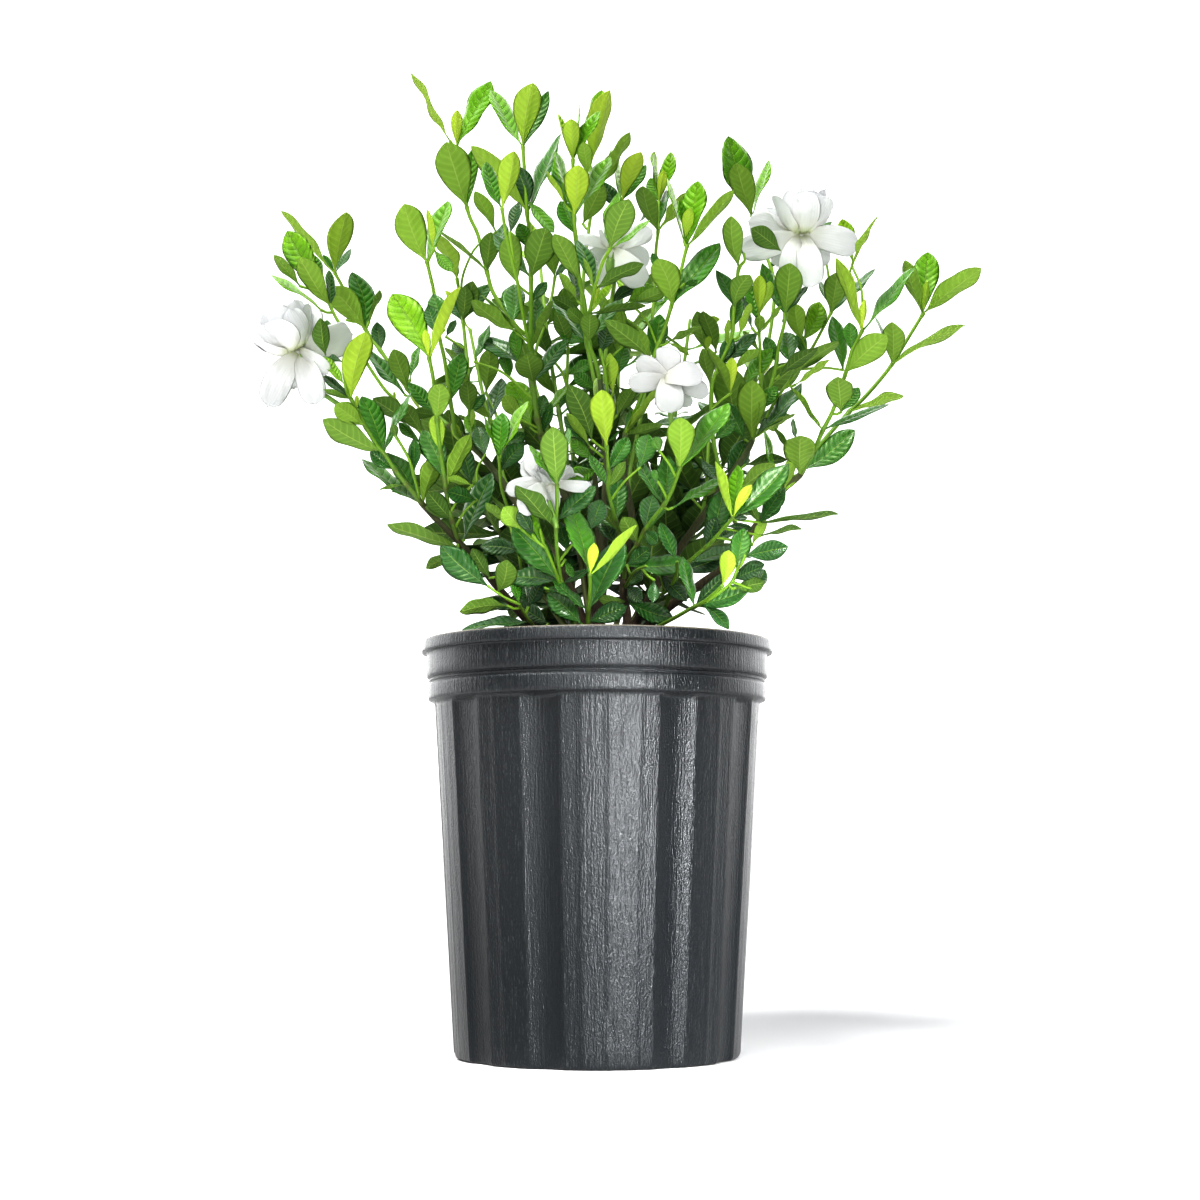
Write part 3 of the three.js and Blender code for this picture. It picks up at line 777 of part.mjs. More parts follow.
    leaves: [
      [-72, -63.5, 311.1, -100.1, -61.3, 334.8, -0.08, -1, -0.01, 16.5],
      [-58.4, -70, 297.1, -85.6, -75.7, 293.2, -0.24, 0.62, 0.74, 12.7],
      [-44.9, -35.6, 291.2, -85.1, -29.5, 286, -0.15, -0.44, 0.89, 17.6],
      [-65.4, -62.4, 307.3, -59.1, -86.4, 322.8, 0.18, 0.57, 0.8, 13.2],
      [-51.2, -70, 298.4, -54.7, -65.5, 313.6, 0.52, -0.78, 0.35, 7.3],
      [-45.8, -55.5, 298.1, -48.9, -45, 317.5, -0.06, -0.88, 0.47, 10],
      [-33.5, -13.5, 291.1, -53.2, -0.2, 305, -0.44, -0.87, 0.21, 12.3],
    ],
  },
  {
    name: "leafy_shoot_33",
    colour: 0x3c7129,
    stems: [
      [1, 32.3, -72, 323.4, 24.8, -50, 322.2, 19.2, -12.9, 316],
      [0.8, 20.6, -11.3, 306.8, 20.1, -13.5, 309.6, 19.2, -12.9, 316],
      [0.8, 20.2, -44.7, 327.3, 22, -44.1, 322.2, 23.4, -41, 320.7],
      [0.8, 37.7, -66, 314.8, 34.2, -66.7, 317, 29.6, -64, 323],
    ],
    leaves: [
      [20.6, -11.3, 306.8, 3.4, -43.3, 305.5, -0.9, 0.42, 0.13, 6.9],
      [20.2, -44.7, 327.3, 56.9, -32.9, 330.6, 0.17, -0.74, 0.65, 17.6],
      [20.2, -44.7, 327.3, 34.4, -38.8, 338.6, 0.31, -0.94, 0.12, 10.7],
      [20, -18.3, 316.9, 29.5, -11.8, 327.1, 0.4, -0.88, 0.25, 8.9],
      [37.7, -66, 314.8, 36.8, -73.6, 300.7, 0.01, -0.88, 0.47, 7.3],
      [20.6, -11.3, 306.8, 47.8, -16, 296.3, -0.2, -0.98, -0.05, 12.3],
      [20, -18.3, 316.9, 29, -34, 305.2, -0.62, -0.66, 0.42, 9.6],
    ],
  },
  {
    name: "leafy_shoot_34",
    colour: 0x326427,
    stems: [
      [1.1, 53.1, -62, 327.3, 52.9, -46.7, 320.6, 48.2, -25.5, 313.1, 36.8, 6.3, 309.9],
      [0.8, 42.7, -29.8, 322.8, 44.9, -25.9, 315.7, 45.3, -17.4, 312.3],
    ],
    leaves: [
      [53.1, -62, 327.3, 43.2, -62, 350.8, 0.41, -0.9, 0.18, 10.9],
      [42.7, -29.8, 322.8, 57.8, -41.4, 305.7, -0.03, -0.84, 0.55, 10.6],
    ],
  },
  {
    name: "leafy_shoot_35",
    colour: 0x407529,
    stems: [
      [1.1, -51.9, -55, 332.3, -48.9, -43.6, 321, -25.3, -15.9, 307.3, -14.5, 2, 299],
      [0.8, -57.8, -60, 353.1, -55.5, -59.8, 343, -51.9, -55, 332.3],
      [0.8, -48.6, -53.7, 335.2, -51.5, -53.6, 331],
      [0.8, -72, -39.4, 319.5, -61.1, -44, 320.7, -48.9, -43.6, 321],
    ],
    leaves: [
      [-57.8, -60, 353.1, -72, -69, 364.4, 0.37, 0.45, 0.82, 9.2],
      [-48.6, -53.7, 335.2, -74.7, -52.7, 338.7, 0, -0.95, 0.31, 11.8],
      [-72, -39.4, 319.5, -82.4, -46.1, 336.2, -0.15, 0.95, 0.29, 9.4],
    ],
  },
  {
    name: "leafy_shoot_36",
    colour: 0x4a7f2b,
    stems: [
      [1.3, 88.5, -92, 352.2, 54.6, -36.9, 321.9, 46.2, -2.9, 301.9],
      [0.8, 106.5, -83, 350.6, 98.7, -89.4, 350.5, 88, -91.2, 351.7],
      [0.8, 106.8, -80.9, 342, 96.5, -84.6, 344, 82.7, -82.6, 347],
      [0.8, 102.5, -67.3, 338, 92, -74, 339.7, 77.7, -74.4, 342.5],
    ],
    leaves: [
      [88.5, -92, 352.2, 121.8, -86.8, 385.4, -0.32, -0.83, 0.46, 20.3],
      [106.5, -83, 350.6, 121.7, -78.2, 372.3, -0.23, -0.89, 0.4, 11.8],
      [106.5, -83, 350.6, 119.5, -80.3, 363.9, -0.21, -0.89, 0.41, 7.5],
      [106.5, -83, 350.6, 100, -86.1, 361, 0.54, 0.76, 0.36, 6.2],
      [106.5, -83, 350.6, 153.7, -72.7, 357.2, -0.18, 0.04, 0.98, 20.9],
      [106.8, -80.9, 342, 131.7, -73.9, 347, -0.23, 0.14, 0.96, 11.8],
      [88.5, -92, 352.2, 77.5, -105.8, 383.3, 0.89, 0.21, 0.4, 15.3],
      [88.5, -92, 352.2, 91.6, -88, 384.5, -0.68, -0.71, 0.16, 13.8],
      [88.5, -92, 352.2, 99.3, -98.1, 370.9, 0.15, 0.94, 0.31, 7.8],
      [75.7, -71.2, 340.7, 83.8, -63.6, 372.7, 0.04, -0.97, 0.23, 15.1],
      [62.5, -49.8, 329, 89.6, -40.8, 339.7, -0.03, -0.73, 0.69, 13.8],
      [75.7, -71.2, 340.7, 89, -62.9, 348.6, -0.04, -0.64, 0.77, 8.3],
      [83.8, -84.4, 348, 99.8, -87, 345.7, -0.12, -0.79, 0.6, 6.5],
      [102.5, -67.3, 338, 110.1, -72.8, 352.5, -0.46, 0.72, 0.52, 7.8],
    ],
  },
  {
    name: "leafy_shoot_37",
    colour: 0x42782a,
    stems: [
      [1.3, 79.9, -112, 305.2, 68.3, -85.9, 297.3, 39.3, -27, 287, 29.6, -1.8, 284],
      [1, 90.6, -105, 317.7, 87, -100.8, 309.2, 70, -89.7, 298.5],
      [0.8, 95.1, -106.5, 325.3, 93.3, -106.3, 320.6, 90.6, -105, 317.7],
      [0.8, 98.9, -96.3, 305.8, 87, -100.8, 309.2],
      [0.8, 88.9, -100.8, 305.3, 87.3, -100.4, 304.7, 84.5, -99.2, 307.7],
    ],
    leaves: [
      [64.1, -77.3, 295.8, 57.2, -76, 324.8, 0.75, -0.64, 0.18, 12.2],
      [79.9, -112, 305.2, 82.7, -130.1, 322.7, 0.16, 0.7, 0.7, 11.5],
      [89.9, -104.2, 316, 94.7, -95.1, 341.9, 0.01, -0.94, 0.33, 12.2],
      [95.1, -106.5, 325.3, 119.9, -102.8, 331, 0.17, -0.98, -0.08, 11.5],
      [89.9, -104.2, 316, 106.2, -95.3, 320.9, 0.5, -0.85, 0.16, 7.7],
      [98.9, -96.3, 305.8, 108.6, -80.1, 318.3, 0.46, -0.7, 0.54, 8.4],
      [88.9, -100.8, 305.3, 106.3, -91.9, 309.6, -0.46, 0.89, 0.01, 9],
      [64.1, -77.3, 295.8, 94.5, -93.9, 304.2, -0.51, -0.68, 0.54, 16.1],
      [67.6, -84.6, 297.1, 82.7, -93.5, 281.5, 0.25, -0.68, 0.69, 9.9],
    ],
  },
  {
    name: "leafy_shoot_38",
    colour: 0x3a6e28,
    stems: [
      [1.6, -96.6, 120, 529.4, -84.6, 95.7, 472.6, -75.4, 83.1, 441.7, -31.8, 42.5, 335.3, -18.1, 27.1, 300.8, -4.9, 8, 266.9],
    ],
    leaves: [
      [-96.6, 120, 529.4, -112.8, 119.4, 555.2, 0.84, 0.17, 0.51, 13.9],
      [-87.4, 101.3, 485.8, -116.8, 138.8, 489.6, -0.04, -0.15, 0.99, 22],
      [-83.4, 94, 468.4, -107.1, 79.5, 493.6, 0.75, -0.06, 0.66, 15.8],
      [-74.2, 82, 438.7, -96.2, 57.5, 448.6, 0.26, 0.16, 0.95, 14.7],
      [-74.2, 82, 438.7, -108.4, 98.2, 445.4, 0.19, -0.05, 0.98, 17],
      [-68.8, 77, 425.7, -98, 111.8, 410.7, -0.35, 0.1, 0.93, 20.2],
      [-63.1, 71.7, 411.8, -111.7, 73, 416.2, 0.11, 0.34, 0.94, 22.6],
      [-57, 66, 396.9, -100.3, 74, 403, 0.13, -0.17, 0.98, 19.7],
      [-50.1, 59.5, 379.9, -71, 94.5, 371.3, -0.31, 0.03, 0.95, 18.8],
      [-43.8, 53.7, 364.5, -45, 101.9, 363.9, 0.35, 0.02, 0.93, 21.2],
      [-36.9, 47.2, 347.6, -25.5, 85.9, 354.6, 0.13, -0.22, 0.97, 17.5],
      [-36.9, 47.2, 347.6, -24.4, 22.1, 377.9, -0.39, 0.63, 0.67, 17.6],
      [-30.8, 41.3, 332.7, -51.9, 20, 370.3, 0.42, 0.68, 0.6, 22],
    ],
  },
  {
    name: "leafy_shoot_39",
    colour: 0x41772a,
    stems: [
      [1.6, -44.5, 150, 590.8, -39.3, 119.2, 537.6, -35.5, 103.2, 506.5, -23.2, 69.7, 425.8, -8.7, 32.2, 320.3, -1.4, 8, 265.5],
    ],
    leaves: [
      [-44.5, 150, 590.8, -32.6, 169.7, 610.8, -0.58, -0.4, 0.71, 14.1],
      [-44.5, 150, 590.8, -52.3, 153.2, 620, 0.79, -0.54, 0.28, 13],
      [-40.3, 125.2, 547.9, -7.1, 120.8, 565.3, -0.47, 0.01, 0.88, 16.6],
      [-38.7, 116.7, 532.7, -73.1, 100.5, 545.1, 0.11, 0.46, 0.88, 17.7],
      [-36.9, 109.1, 517.9, -21.4, 145.2, 530.3, -0.45, -0.13, 0.88, 17.9],
      [-35, 101.9, 503.4, 11.3, 108.7, 518, -0.32, 0.16, 0.93, 20.8],
      [-32.4, 94.9, 486.4, 1.4, 114, 512, -0.3, -0.54, 0.79, 20.9],
      [-30.2, 88.7, 471.7, -7, 127.9, 474.3, 0.21, -0.19, 0.96, 20.4],
      [-30.2, 88.7, 471.7, 4.1, 76.6, 493.7, -0.51, 0.12, 0.85, 17.6],
      [-27.6, 81.7, 454.8, 5.6, 84.2, 485.2, -0.65, -0.23, 0.72, 19.3],
      [-25.1, 74.9, 438.4, 0.8, 102.4, 442.7, -0.01, -0.16, 0.99, 16.1],
      [-22.8, 68.7, 423.1, 12.4, 77.2, 439.6, -0.43, -0.01, 0.9, 17.8],
      [-22.8, 68.7, 423.1, -55.7, 53.8, 455, 0.49, 0.49, 0.72, 20.7],
      [-20.8, 63.6, 408.6, 11.9, 66.7, 437.2, -0.66, -0.1, 0.75, 19],
      [-18.8, 58.2, 393.5, -27.9, 98.9, 405.7, 0.23, -0.24, 0.94, 19.4],
      [-16.9, 53.3, 379.7, -8.7, 94.7, 388.7, -0.13, -0.2, 0.97, 18.6],
      [-14.5, 47.2, 362.6, 27.8, 55.4, 372.2, -0.24, 0.12, 0.96, 20.5],
      [-14.5, 47.2, 362.6, 8.1, 25.1, 382.5, -0.53, 0.21, 0.82, 15.1],
      [-12.2, 41.2, 345.6, -11.6, 9.1, 378.3, -0.08, 0.72, 0.69, 21],
    ],
  },
  {
    name: "leafy_shoot_40",
    colour: 0x3d7129,
    stems: [
      [1.6, 19.5, 185, 581.9, 15, 126.7, 479.7, 8.8, 84.9, 391.4, 6.3, 62.5, 347.9, 4.1, 38.2, 304.8, 2.1, 8, 262.7],
    ],
    leaves: [
      [19.5, 185, 581.9, 20, 210.5, 598.6, -0.04, -0.56, 0.82, 12.9],
      [18.9, 177.5, 568.7, 20.5, 182.5, 598.6, -0.79, -0.59, 0.16, 14],
      [18.2, 168.2, 552.5, -13.3, 175.7, 581.6, 0.69, 0.18, 0.7, 19.9],
      [18.2, 168.2, 552.5, 8.2, 202.7, 557, 0.25, -0.06, 0.97, 16],
      [17.5, 158.8, 535.9, 16, 203.2, 527.1, 0.12, 0.19, 0.97, 21.2],
      [16.7, 149.3, 519.3, 38.1, 177.5, 523.7, -0.05, -0.12, 0.99, 16.8],
      [16.7, 149.3, 519.3, 47.2, 133.9, 549.2, -0.74, -0.33, 0.59, 19.5],
      [16, 139.7, 502.6, 10, 122.8, 545.8, 0.1, 0.93, 0.36, 21.1],
      [15.3, 131, 487.2, 1.1, 111.3, 522.1, 0.61, 0.56, 0.56, 19.6],
      [15.3, 131, 487.2, -3, 165.4, 491.9, 0.13, -0.07, 0.99, 18.2],
      [14.4, 123, 471.8, 21.1, 163.2, 467.2, -0.48, 0.17, 0.86, 18.1],
      [13.3, 114.9, 454.9, 42, 145.5, 446.1, 0.25, 0.04, 0.97, 20],
      [13.3, 114.9, 454.9, 34.8, 93.3, 477.7, -0.71, 0.04, 0.7, 17.8],
      [12.3, 108.7, 441.7, 3.9, 91.6, 481.5, 0.21, 0.89, 0.41, 20.4],
      [11.3, 101.6, 426.8, -3.1, 76.2, 450.3, -0.01, 0.69, 0.73, 16.2],
      [11.3, 101.6, 426.8, 3.9, 139.8, 424.4, -0.06, 0.04, 1, 16.4],
      [10.3, 94.8, 412.3, 7.1, 136.1, 399.3, -0.18, 0.28, 0.94, 18],
      [9.1, 87.2, 396.2, 24.2, 130.8, 398.9, 0.12, -0.11, 0.99, 20.1],
      [9.1, 87.2, 396.2, 28.5, 61.8, 416.6, -0.07, 0.6, 0.8, 16.3],
      [8.2, 79.9, 381.7, 21.2, 62.3, 411.5, 0.06, 0.88, 0.47, 15.7],
      [7.3, 71.4, 365.1, 29.2, 44.4, 399.9, -0.21, 0.71, 0.67, 21.6],
      [7.3, 71.4, 365.1, -32.7, 83.4, 379.4, 0.37, 0.09, 0.93, 19.1],
      [6.4, 63.5, 349.9, -3.7, 104.1, 345.7, -0.05, 0.08, 1, 18.6],
      [5.6, 54.7, 334, 9.5, 24.4, 369.6, 0.18, 0.76, 0.62, 21.4],
    ],
  },
  {
    name: "leafy_shoot_41",
    colour: 0x3c6f29,
    stems: [
      [1.6, 71.7, 150, 544.7, 64.1, 119.2, 491.7, 57.7, 103.2, 459.8, 34.7, 69.7, 373.9, 24.3, 51.7, 335.1, 14.4, 32.2, 298.5, 4.8, 8, 262.7],
    ],
    leaves: [
      [69.7, 141.9, 530.8, 91.5, 157.8, 545.4, -0.61, 0.08, 0.79, 12.8],
      [67.8, 134.3, 517.7, 111.6, 146.6, 533.7, -0.14, -0.58, 0.8, 21.8],
      [57.6, 103.1, 459.5, 55.6, 150, 471.5, -0.13, -0.26, 0.96, 22.6],
      [53.3, 96.8, 443.5, 63.5, 133.1, 436.7, 0.1, 0.15, 0.98, 15.6],
      [49, 90.5, 427.1, 75.8, 116.9, 434.6, -0.13, -0.17, 0.98, 15.9],
      [49, 90.5, 427.1, 81.5, 78.3, 439.4, -0.37, -0.02, 0.93, 16.8],
      [45, 84.7, 412.4, 25.2, 61.9, 440.5, 0.63, 0.32, 0.7, 18.7],
      [41.3, 79.2, 398.4, 21, 68.8, 435.4, 0.72, 0.47, 0.51, 20.5],
      [41.3, 79.2, 398.4, 39.2, 127.3, 400.7, -0.26, -0.07, 0.96, 20.3],
      [36.7, 72.7, 381.5, 43.5, 111.5, 374.7, 0.03, 0.16, 0.99, 18.3],
      [33, 66.7, 367.5, 24.3, 112.7, 368.9, -0.1, -0.06, 0.99, 20],
      [29, 59.9, 352.7, 47.3, 27.2, 383.2, 0.15, 0.72, 0.67, 21.2],
      [25.3, 53.5, 338.9, 12.6, 34.2, 372.1, 0.8, 0.34, 0.49, 18.1],
      [25.3, 53.5, 338.9, 12.4, 97.1, 348.1, 0.02, -0.21, 0.98, 21.3],
      [21.9, 47, 326.2, 32, 91.3, 324.7, 0.19, -0.02, 0.98, 21.1],
    ],
  },
  {
    name: "leafy_shoot_42",
    colour: 0x3c7129,
    stems: [
      [1.6, 119.2, 118, 486.4, 104.1, 94.1, 445.1, 93.2, 81.8, 420.4, 40.7, 41.9, 323.2, 23.3, 26.8, 292.8, 6.2, 8, 262.7],
    ],
    leaves: [
      [119.2, 118, 486.4, 134.9, 114.4, 512.4, -0.77, 0.4, 0.51, 13.9],
      [114, 109.7, 472.1, 144.5, 81.5, 491.7, 0.03, 0.6, 0.8, 19.5],
      [109.6, 102.8, 460.1, 117.8, 86.7, 495.2, -0.79, 0.47, 0.4, 16.9],
      [109.6, 102.8, 460.1, 91.7, 124.8, 482.5, 0.69, -0.17, 0.7, 17],
      [104.4, 94.5, 445.8, 80.7, 117.4, 470, 0.44, -0.41, 0.8, 17],
      [97.5, 86.6, 430.1, 109.6, 121.9, 426.8, 0.07, 0.06, 1, 16],
      [91.5, 80.5, 417.3, 71.8, 109.8, 427, 0.14, -0.23, 0.96, 17.1],
      [91.5, 80.5, 417.3, 121.6, 101.7, 414.2, 0.26, -0.26, 0.93, 16.9],
      [83.2, 74.2, 401.9, 126.7, 86.3, 393.1, 0.15, 0.13, 0.98, 19.2],
      [75.4, 68.3, 387.4, 114.3, 58, 377.9, 0.14, -0.3, 0.94, 18.2],
      [75.4, 68.3, 387.4, 55.1, 41.2, 422, 0.5, 0.52, 0.7, 21.3],
      [68.8, 63.3, 375.2, 44.2, 46.9, 405.9, 0.63, 0.35, 0.69, 19.8],
      [60.3, 56.8, 359.6, 50.1, 94.4, 372.9, 0.12, -0.33, 0.94, 17.4],
      [60.3, 56.8, 359.6, 97, 62.6, 350, 0.18, 0.3, 0.94, 15.5],
      [51.8, 50.3, 343.8, 88.3, 49.9, 352.7, -0.26, 0.13, 0.96, 16.7],
      [45.3, 45.4, 331.7, 80.2, 20.8, 350.7, -0.19, 0.44, 0.88, 21.4],
      [36.8, 38.5, 316.4, 49.6, 83, 312.4, -0.28, 0.16, 0.95, 20.9],
      [36.8, 38.5, 316.4, 38.8, 19.6, 354, -0.16, 0.88, 0.44, 19.3],
    ],
  },
  {
    name: "leafy_shoot_43",
    colour: 0x3c7029,
    stems: [
      [1.6, -126.6, 105, 453.1, -87, 73.1, 389.9, -46.8, 50.1, 330.9, -31.1, 37.9, 306.3, -17.8, 24.6, 284.4, -4.9, 8, 262.7],
    ],
    leaves: [
      [-126.6, 105, 453.1, -124.6, 126.8, 474.4, -0.38, -0.64, 0.67, 14.3],
      [-118.8, 98.7, 440.7, -99.7, 129, 455.4, 0.07, -0.47, 0.88, 18.3],
      [-118.8, 98.7, 440.7, -149.6, 71, 457.7, 0.37, 0.16, 0.92, 19.4],
      [-110.3, 91.9, 427.1, -121, 60.4, 451.4, 0.05, 0.61, 0.79, 18],
      [-102.2, 85.3, 414.1, -107.1, 58.3, 447.6, -0.33, 0.77, 0.55, 17.9],
      [-95.1, 79.6, 402.9, -118.6, 57.7, 420, 0.64, -0.07, 0.77, 16],
      [-95.1, 79.6, 402.9, -135.5, 94, 399.7, -0.03, 0.1, 0.99, 17.8],
      [-87.9, 73.8, 391.3, -115.5, 106.7, 385.1, 0.06, 0.22, 0.97, 19.6],
      [-79.6, 68.9, 379.1, -88.9, 105.5, 376.1, 0.01, 0.08, 1, 15.8],
      [-79.6, 68.9, 379.1, -63.2, 58.8, 405.3, -0.65, 0.49, 0.58, 14.8],
      [-69.7, 63.2, 364.6, -86.3, 35.7, 400.7, 0.72, 0.35, 0.6, 20.3],
      [-60.1, 57.7, 350.4, -66.4, 92.1, 362.1, -0.19, -0.37, 0.91, 17.1],
      [-50.3, 52.1, 336, -37, 87.7, 354, -0.32, -0.34, 0.88, 19.1],
      [-50.3, 52.1, 336, -59.4, 17.6, 356.7, -0.02, 0.52, 0.85, 18.3],
      [-42.2, 46.5, 323.7, -63.3, 11.6, 339.8, 0.49, 0.11, 0.87, 18.7],
      [-33.6, 39.9, 310.3, -30.7, 15.6, 341.3, -0.51, 0.66, 0.55, 17.4],
    ],
  },
  {
    name: "leafy_shoot_44",
    colour: 0x3e7329,
    stems: [
      [1.6, -21.6, 190, 466.1, -14.4, 109, 381.9, -7.7, 64, 328.5, -4.1, 39.1, 301.6, -0.7, 8, 275.2],
    ],
    leaves: [
      [-21.6, 190, 466.1, -18.6, 219.5, 473.3, -0.41, -0.2, 0.89, 13],
      [-20.7, 179.7, 455.4, -40.5, 200, 467.1, 0.17, -0.39, 0.91, 13],
      [-20.7, 179.7, 455.4, -19.9, 208.3, 466.3, -0.46, -0.33, 0.83, 13.8],
      [-19.8, 169.3, 444.6, -5.8, 201.6, 429.9, 0.39, 0.22, 0.89, 17.4],
      [-18.8, 158, 432.8, 14.5, 189.2, 442.1, -0.32, 0.03, 0.95, 19.5],
      [-18.8, 158, 432.8, -14.9, 144.9, 472.4, 0.84, 0.53, 0.09, 17.6],
      [-17.7, 146, 420.4, -47.6, 140.3, 444.2, 0.54, 0.39, 0.75, 17.1],
      [-16.7, 135, 409, 1, 133.3, 444.6, -0.89, -0.16, 0.43, 17],
      [-15.8, 124.5, 398, -5.9, 118.5, 433.7, -0.62, 0.73, 0.28, 17],
      [-15.8, 124.5, 398, -45.1, 157.3, 385.9, 0.17, 0.46, 0.87, 21],
      [-14.8, 114, 387.1, -43.8, 148.1, 372.8, -0.21, 0.21, 0.95, 19.6],
      [-13.3, 101.5, 373.1, -3.7, 144.8, 354.2, 0.12, 0.37, 0.92, 21.3],
      [-11.7, 90.9, 360.4, -51.3, 102.9, 379.4, 0.42, -0.11, 0.9, 20.6],
      [-11.7, 90.9, 360.4, -21.1, 131.3, 350.5, 0.25, 0.27, 0.93, 18.5],
      [-10, 79.7, 347.2, 0.1, 115.9, 341.6, -0.18, 0.18, 0.97, 15.8],
      [-8.6, 70.1, 335.7, 24.9, 98.5, 333.2, 0.19, -0.14, 0.97, 19.6],
      [-7.1, 59.6, 323.8, -29.9, 85.9, 310.4, -0.36, 0.14, 0.92, 16.3],
    ],
  },
  {
    name: "leafy_shoot_45",
    colour: 0x3d7129,
    stems: [
      [1.6, 81.1, 165, 423.4, 55.2, 95.1, 361.1, 21.5, 34.8, 291.5, 10.4, 8, 268.3],
    ],
    leaves: [
      [81.1, 165, 423.4, 101.7, 174.4, 443.7, -0.68, -0.08, 0.72, 13.4],
      [81.1, 165, 423.4, 79.1, 186.5, 444.7, 0.23, -0.67, 0.7, 13],
      [76.5, 152.6, 412.3, 46.4, 177.8, 413.2, -0.06, -0.12, 0.99, 16.2],
      [72.2, 140.9, 401.9, 57.5, 181.8, 403.6, -0.07, -0.08, 0.99, 20.3],
      [72.2, 140.9, 401.9, 107.6, 152.9, 394.1, 0.24, -0.12, 0.96, 16.3],
      [67.1, 127.1, 389.6, 111.2, 133.4, 403.3, -0.32, 0.11, 0.94, 21],
      [62.8, 115.6, 379.3, 101.3, 119.2, 386.1, -0.14, -0.33, 0.93, 16.4],
      [62.8, 115.6, 379.3, 31.9, 121.5, 398.2, 0.54, 0.32, 0.78, 16.9],
      [58.7, 104.5, 369.5, 20.4, 132.6, 367.2, 0.04, 0.13, 0.99, 21.4],
      [54.6, 93.9, 359.8, 46.3, 131.7, 358.7, -0.09, 0, 1, 18],
      [49.3, 84.5, 348.9, 18.1, 97.8, 364.5, 0.46, 0.02, 0.89, 15.5],
      [49.3, 84.5, 348.9, 45.3, 126.3, 339.8, 0.25, 0.22, 0.94, 19.4],
      [43.1, 73.5, 336.1, 59.1, 115.6, 330.5, -0.09, 0.15, 0.98, 20.9],
      [37.3, 63.1, 324.2, 69.4, 78.2, 311.5, 0.35, 0, 0.94, 15.3],
      [37.3, 63.1, 324.2, 42.2, 56, 360, -0.11, 0.97, 0.2, 16.3],
      [31, 51.8, 311.2, 3.4, 60.4, 329.2, 0.54, -0.09, 0.84, 15.7],
    ],
  },
  {
    name: "leafy_shoot_46",
    colour: 0x42782a,
    stems: [
      [1.6, -75.6, 140, 398.2, -59.8, 111.4, 363.1, -43.2, 81.2, 329.6, -12.3, 30.5, 282.3, -2.1, 8, 266.9],
    ],
    leaves: [
      [-75.6, 140, 398.2, -70.9, 152.8, 425.4, -0.48, -0.76, 0.44, 13.9],
      [-75.6, 140, 398.2, -98.2, 148.8, 416.7, 0.68, 0.25, 0.69, 14.1],
      [-69.7, 129.4, 385.2, -107.3, 125.7, 381.7, -0.08, -0.09, 0.99, 16.5],
      [-63.6, 118.2, 371.5, -87.4, 155.6, 367.3, 0.09, 0.15, 0.98, 19.6],
      [-63.6, 118.2, 371.5, -32.9, 132.3, 386.2, -0.29, -0.32, 0.9, 15.1],
      [-58.1, 108.4, 359.7, -28.7, 120.5, 386.9, -0.49, -0.46, 0.74, 19],
      [-52.7, 98.4, 348.7, -32.4, 122.6, 376.4, -0.64, -0.29, 0.71, 19],
      [-52.7, 98.4, 348.7, -98.2, 98.4, 354.7, 0.12, -0.5, 0.86, 19.5],
      [-46.7, 87.5, 336.6, -59, 112.9, 314.4, -0.43, 0.46, 0.78, 16.4],
      [-40.8, 77.3, 326, -31.5, 113.4, 320.5, -0.27, 0.2, 0.94, 17.4],
      [-33.6, 65.5, 314.9, -20.6, 65.5, 348.2, -0.75, -0.59, 0.28, 16.2],
      [-26, 53, 303.3, -11.8, 49.7, 340.5, -0.9, 0.25, 0.36, 19],
      [-26, 53, 303.3, -68.5, 63.3, 290.7, -0.33, -0.44, 0.83, 20.1],
      [-18.7, 41, 292.1, -51.7, 62.6, 262.8, -0.41, 0.43, 0.8, 21.6],
    ],
  },
];

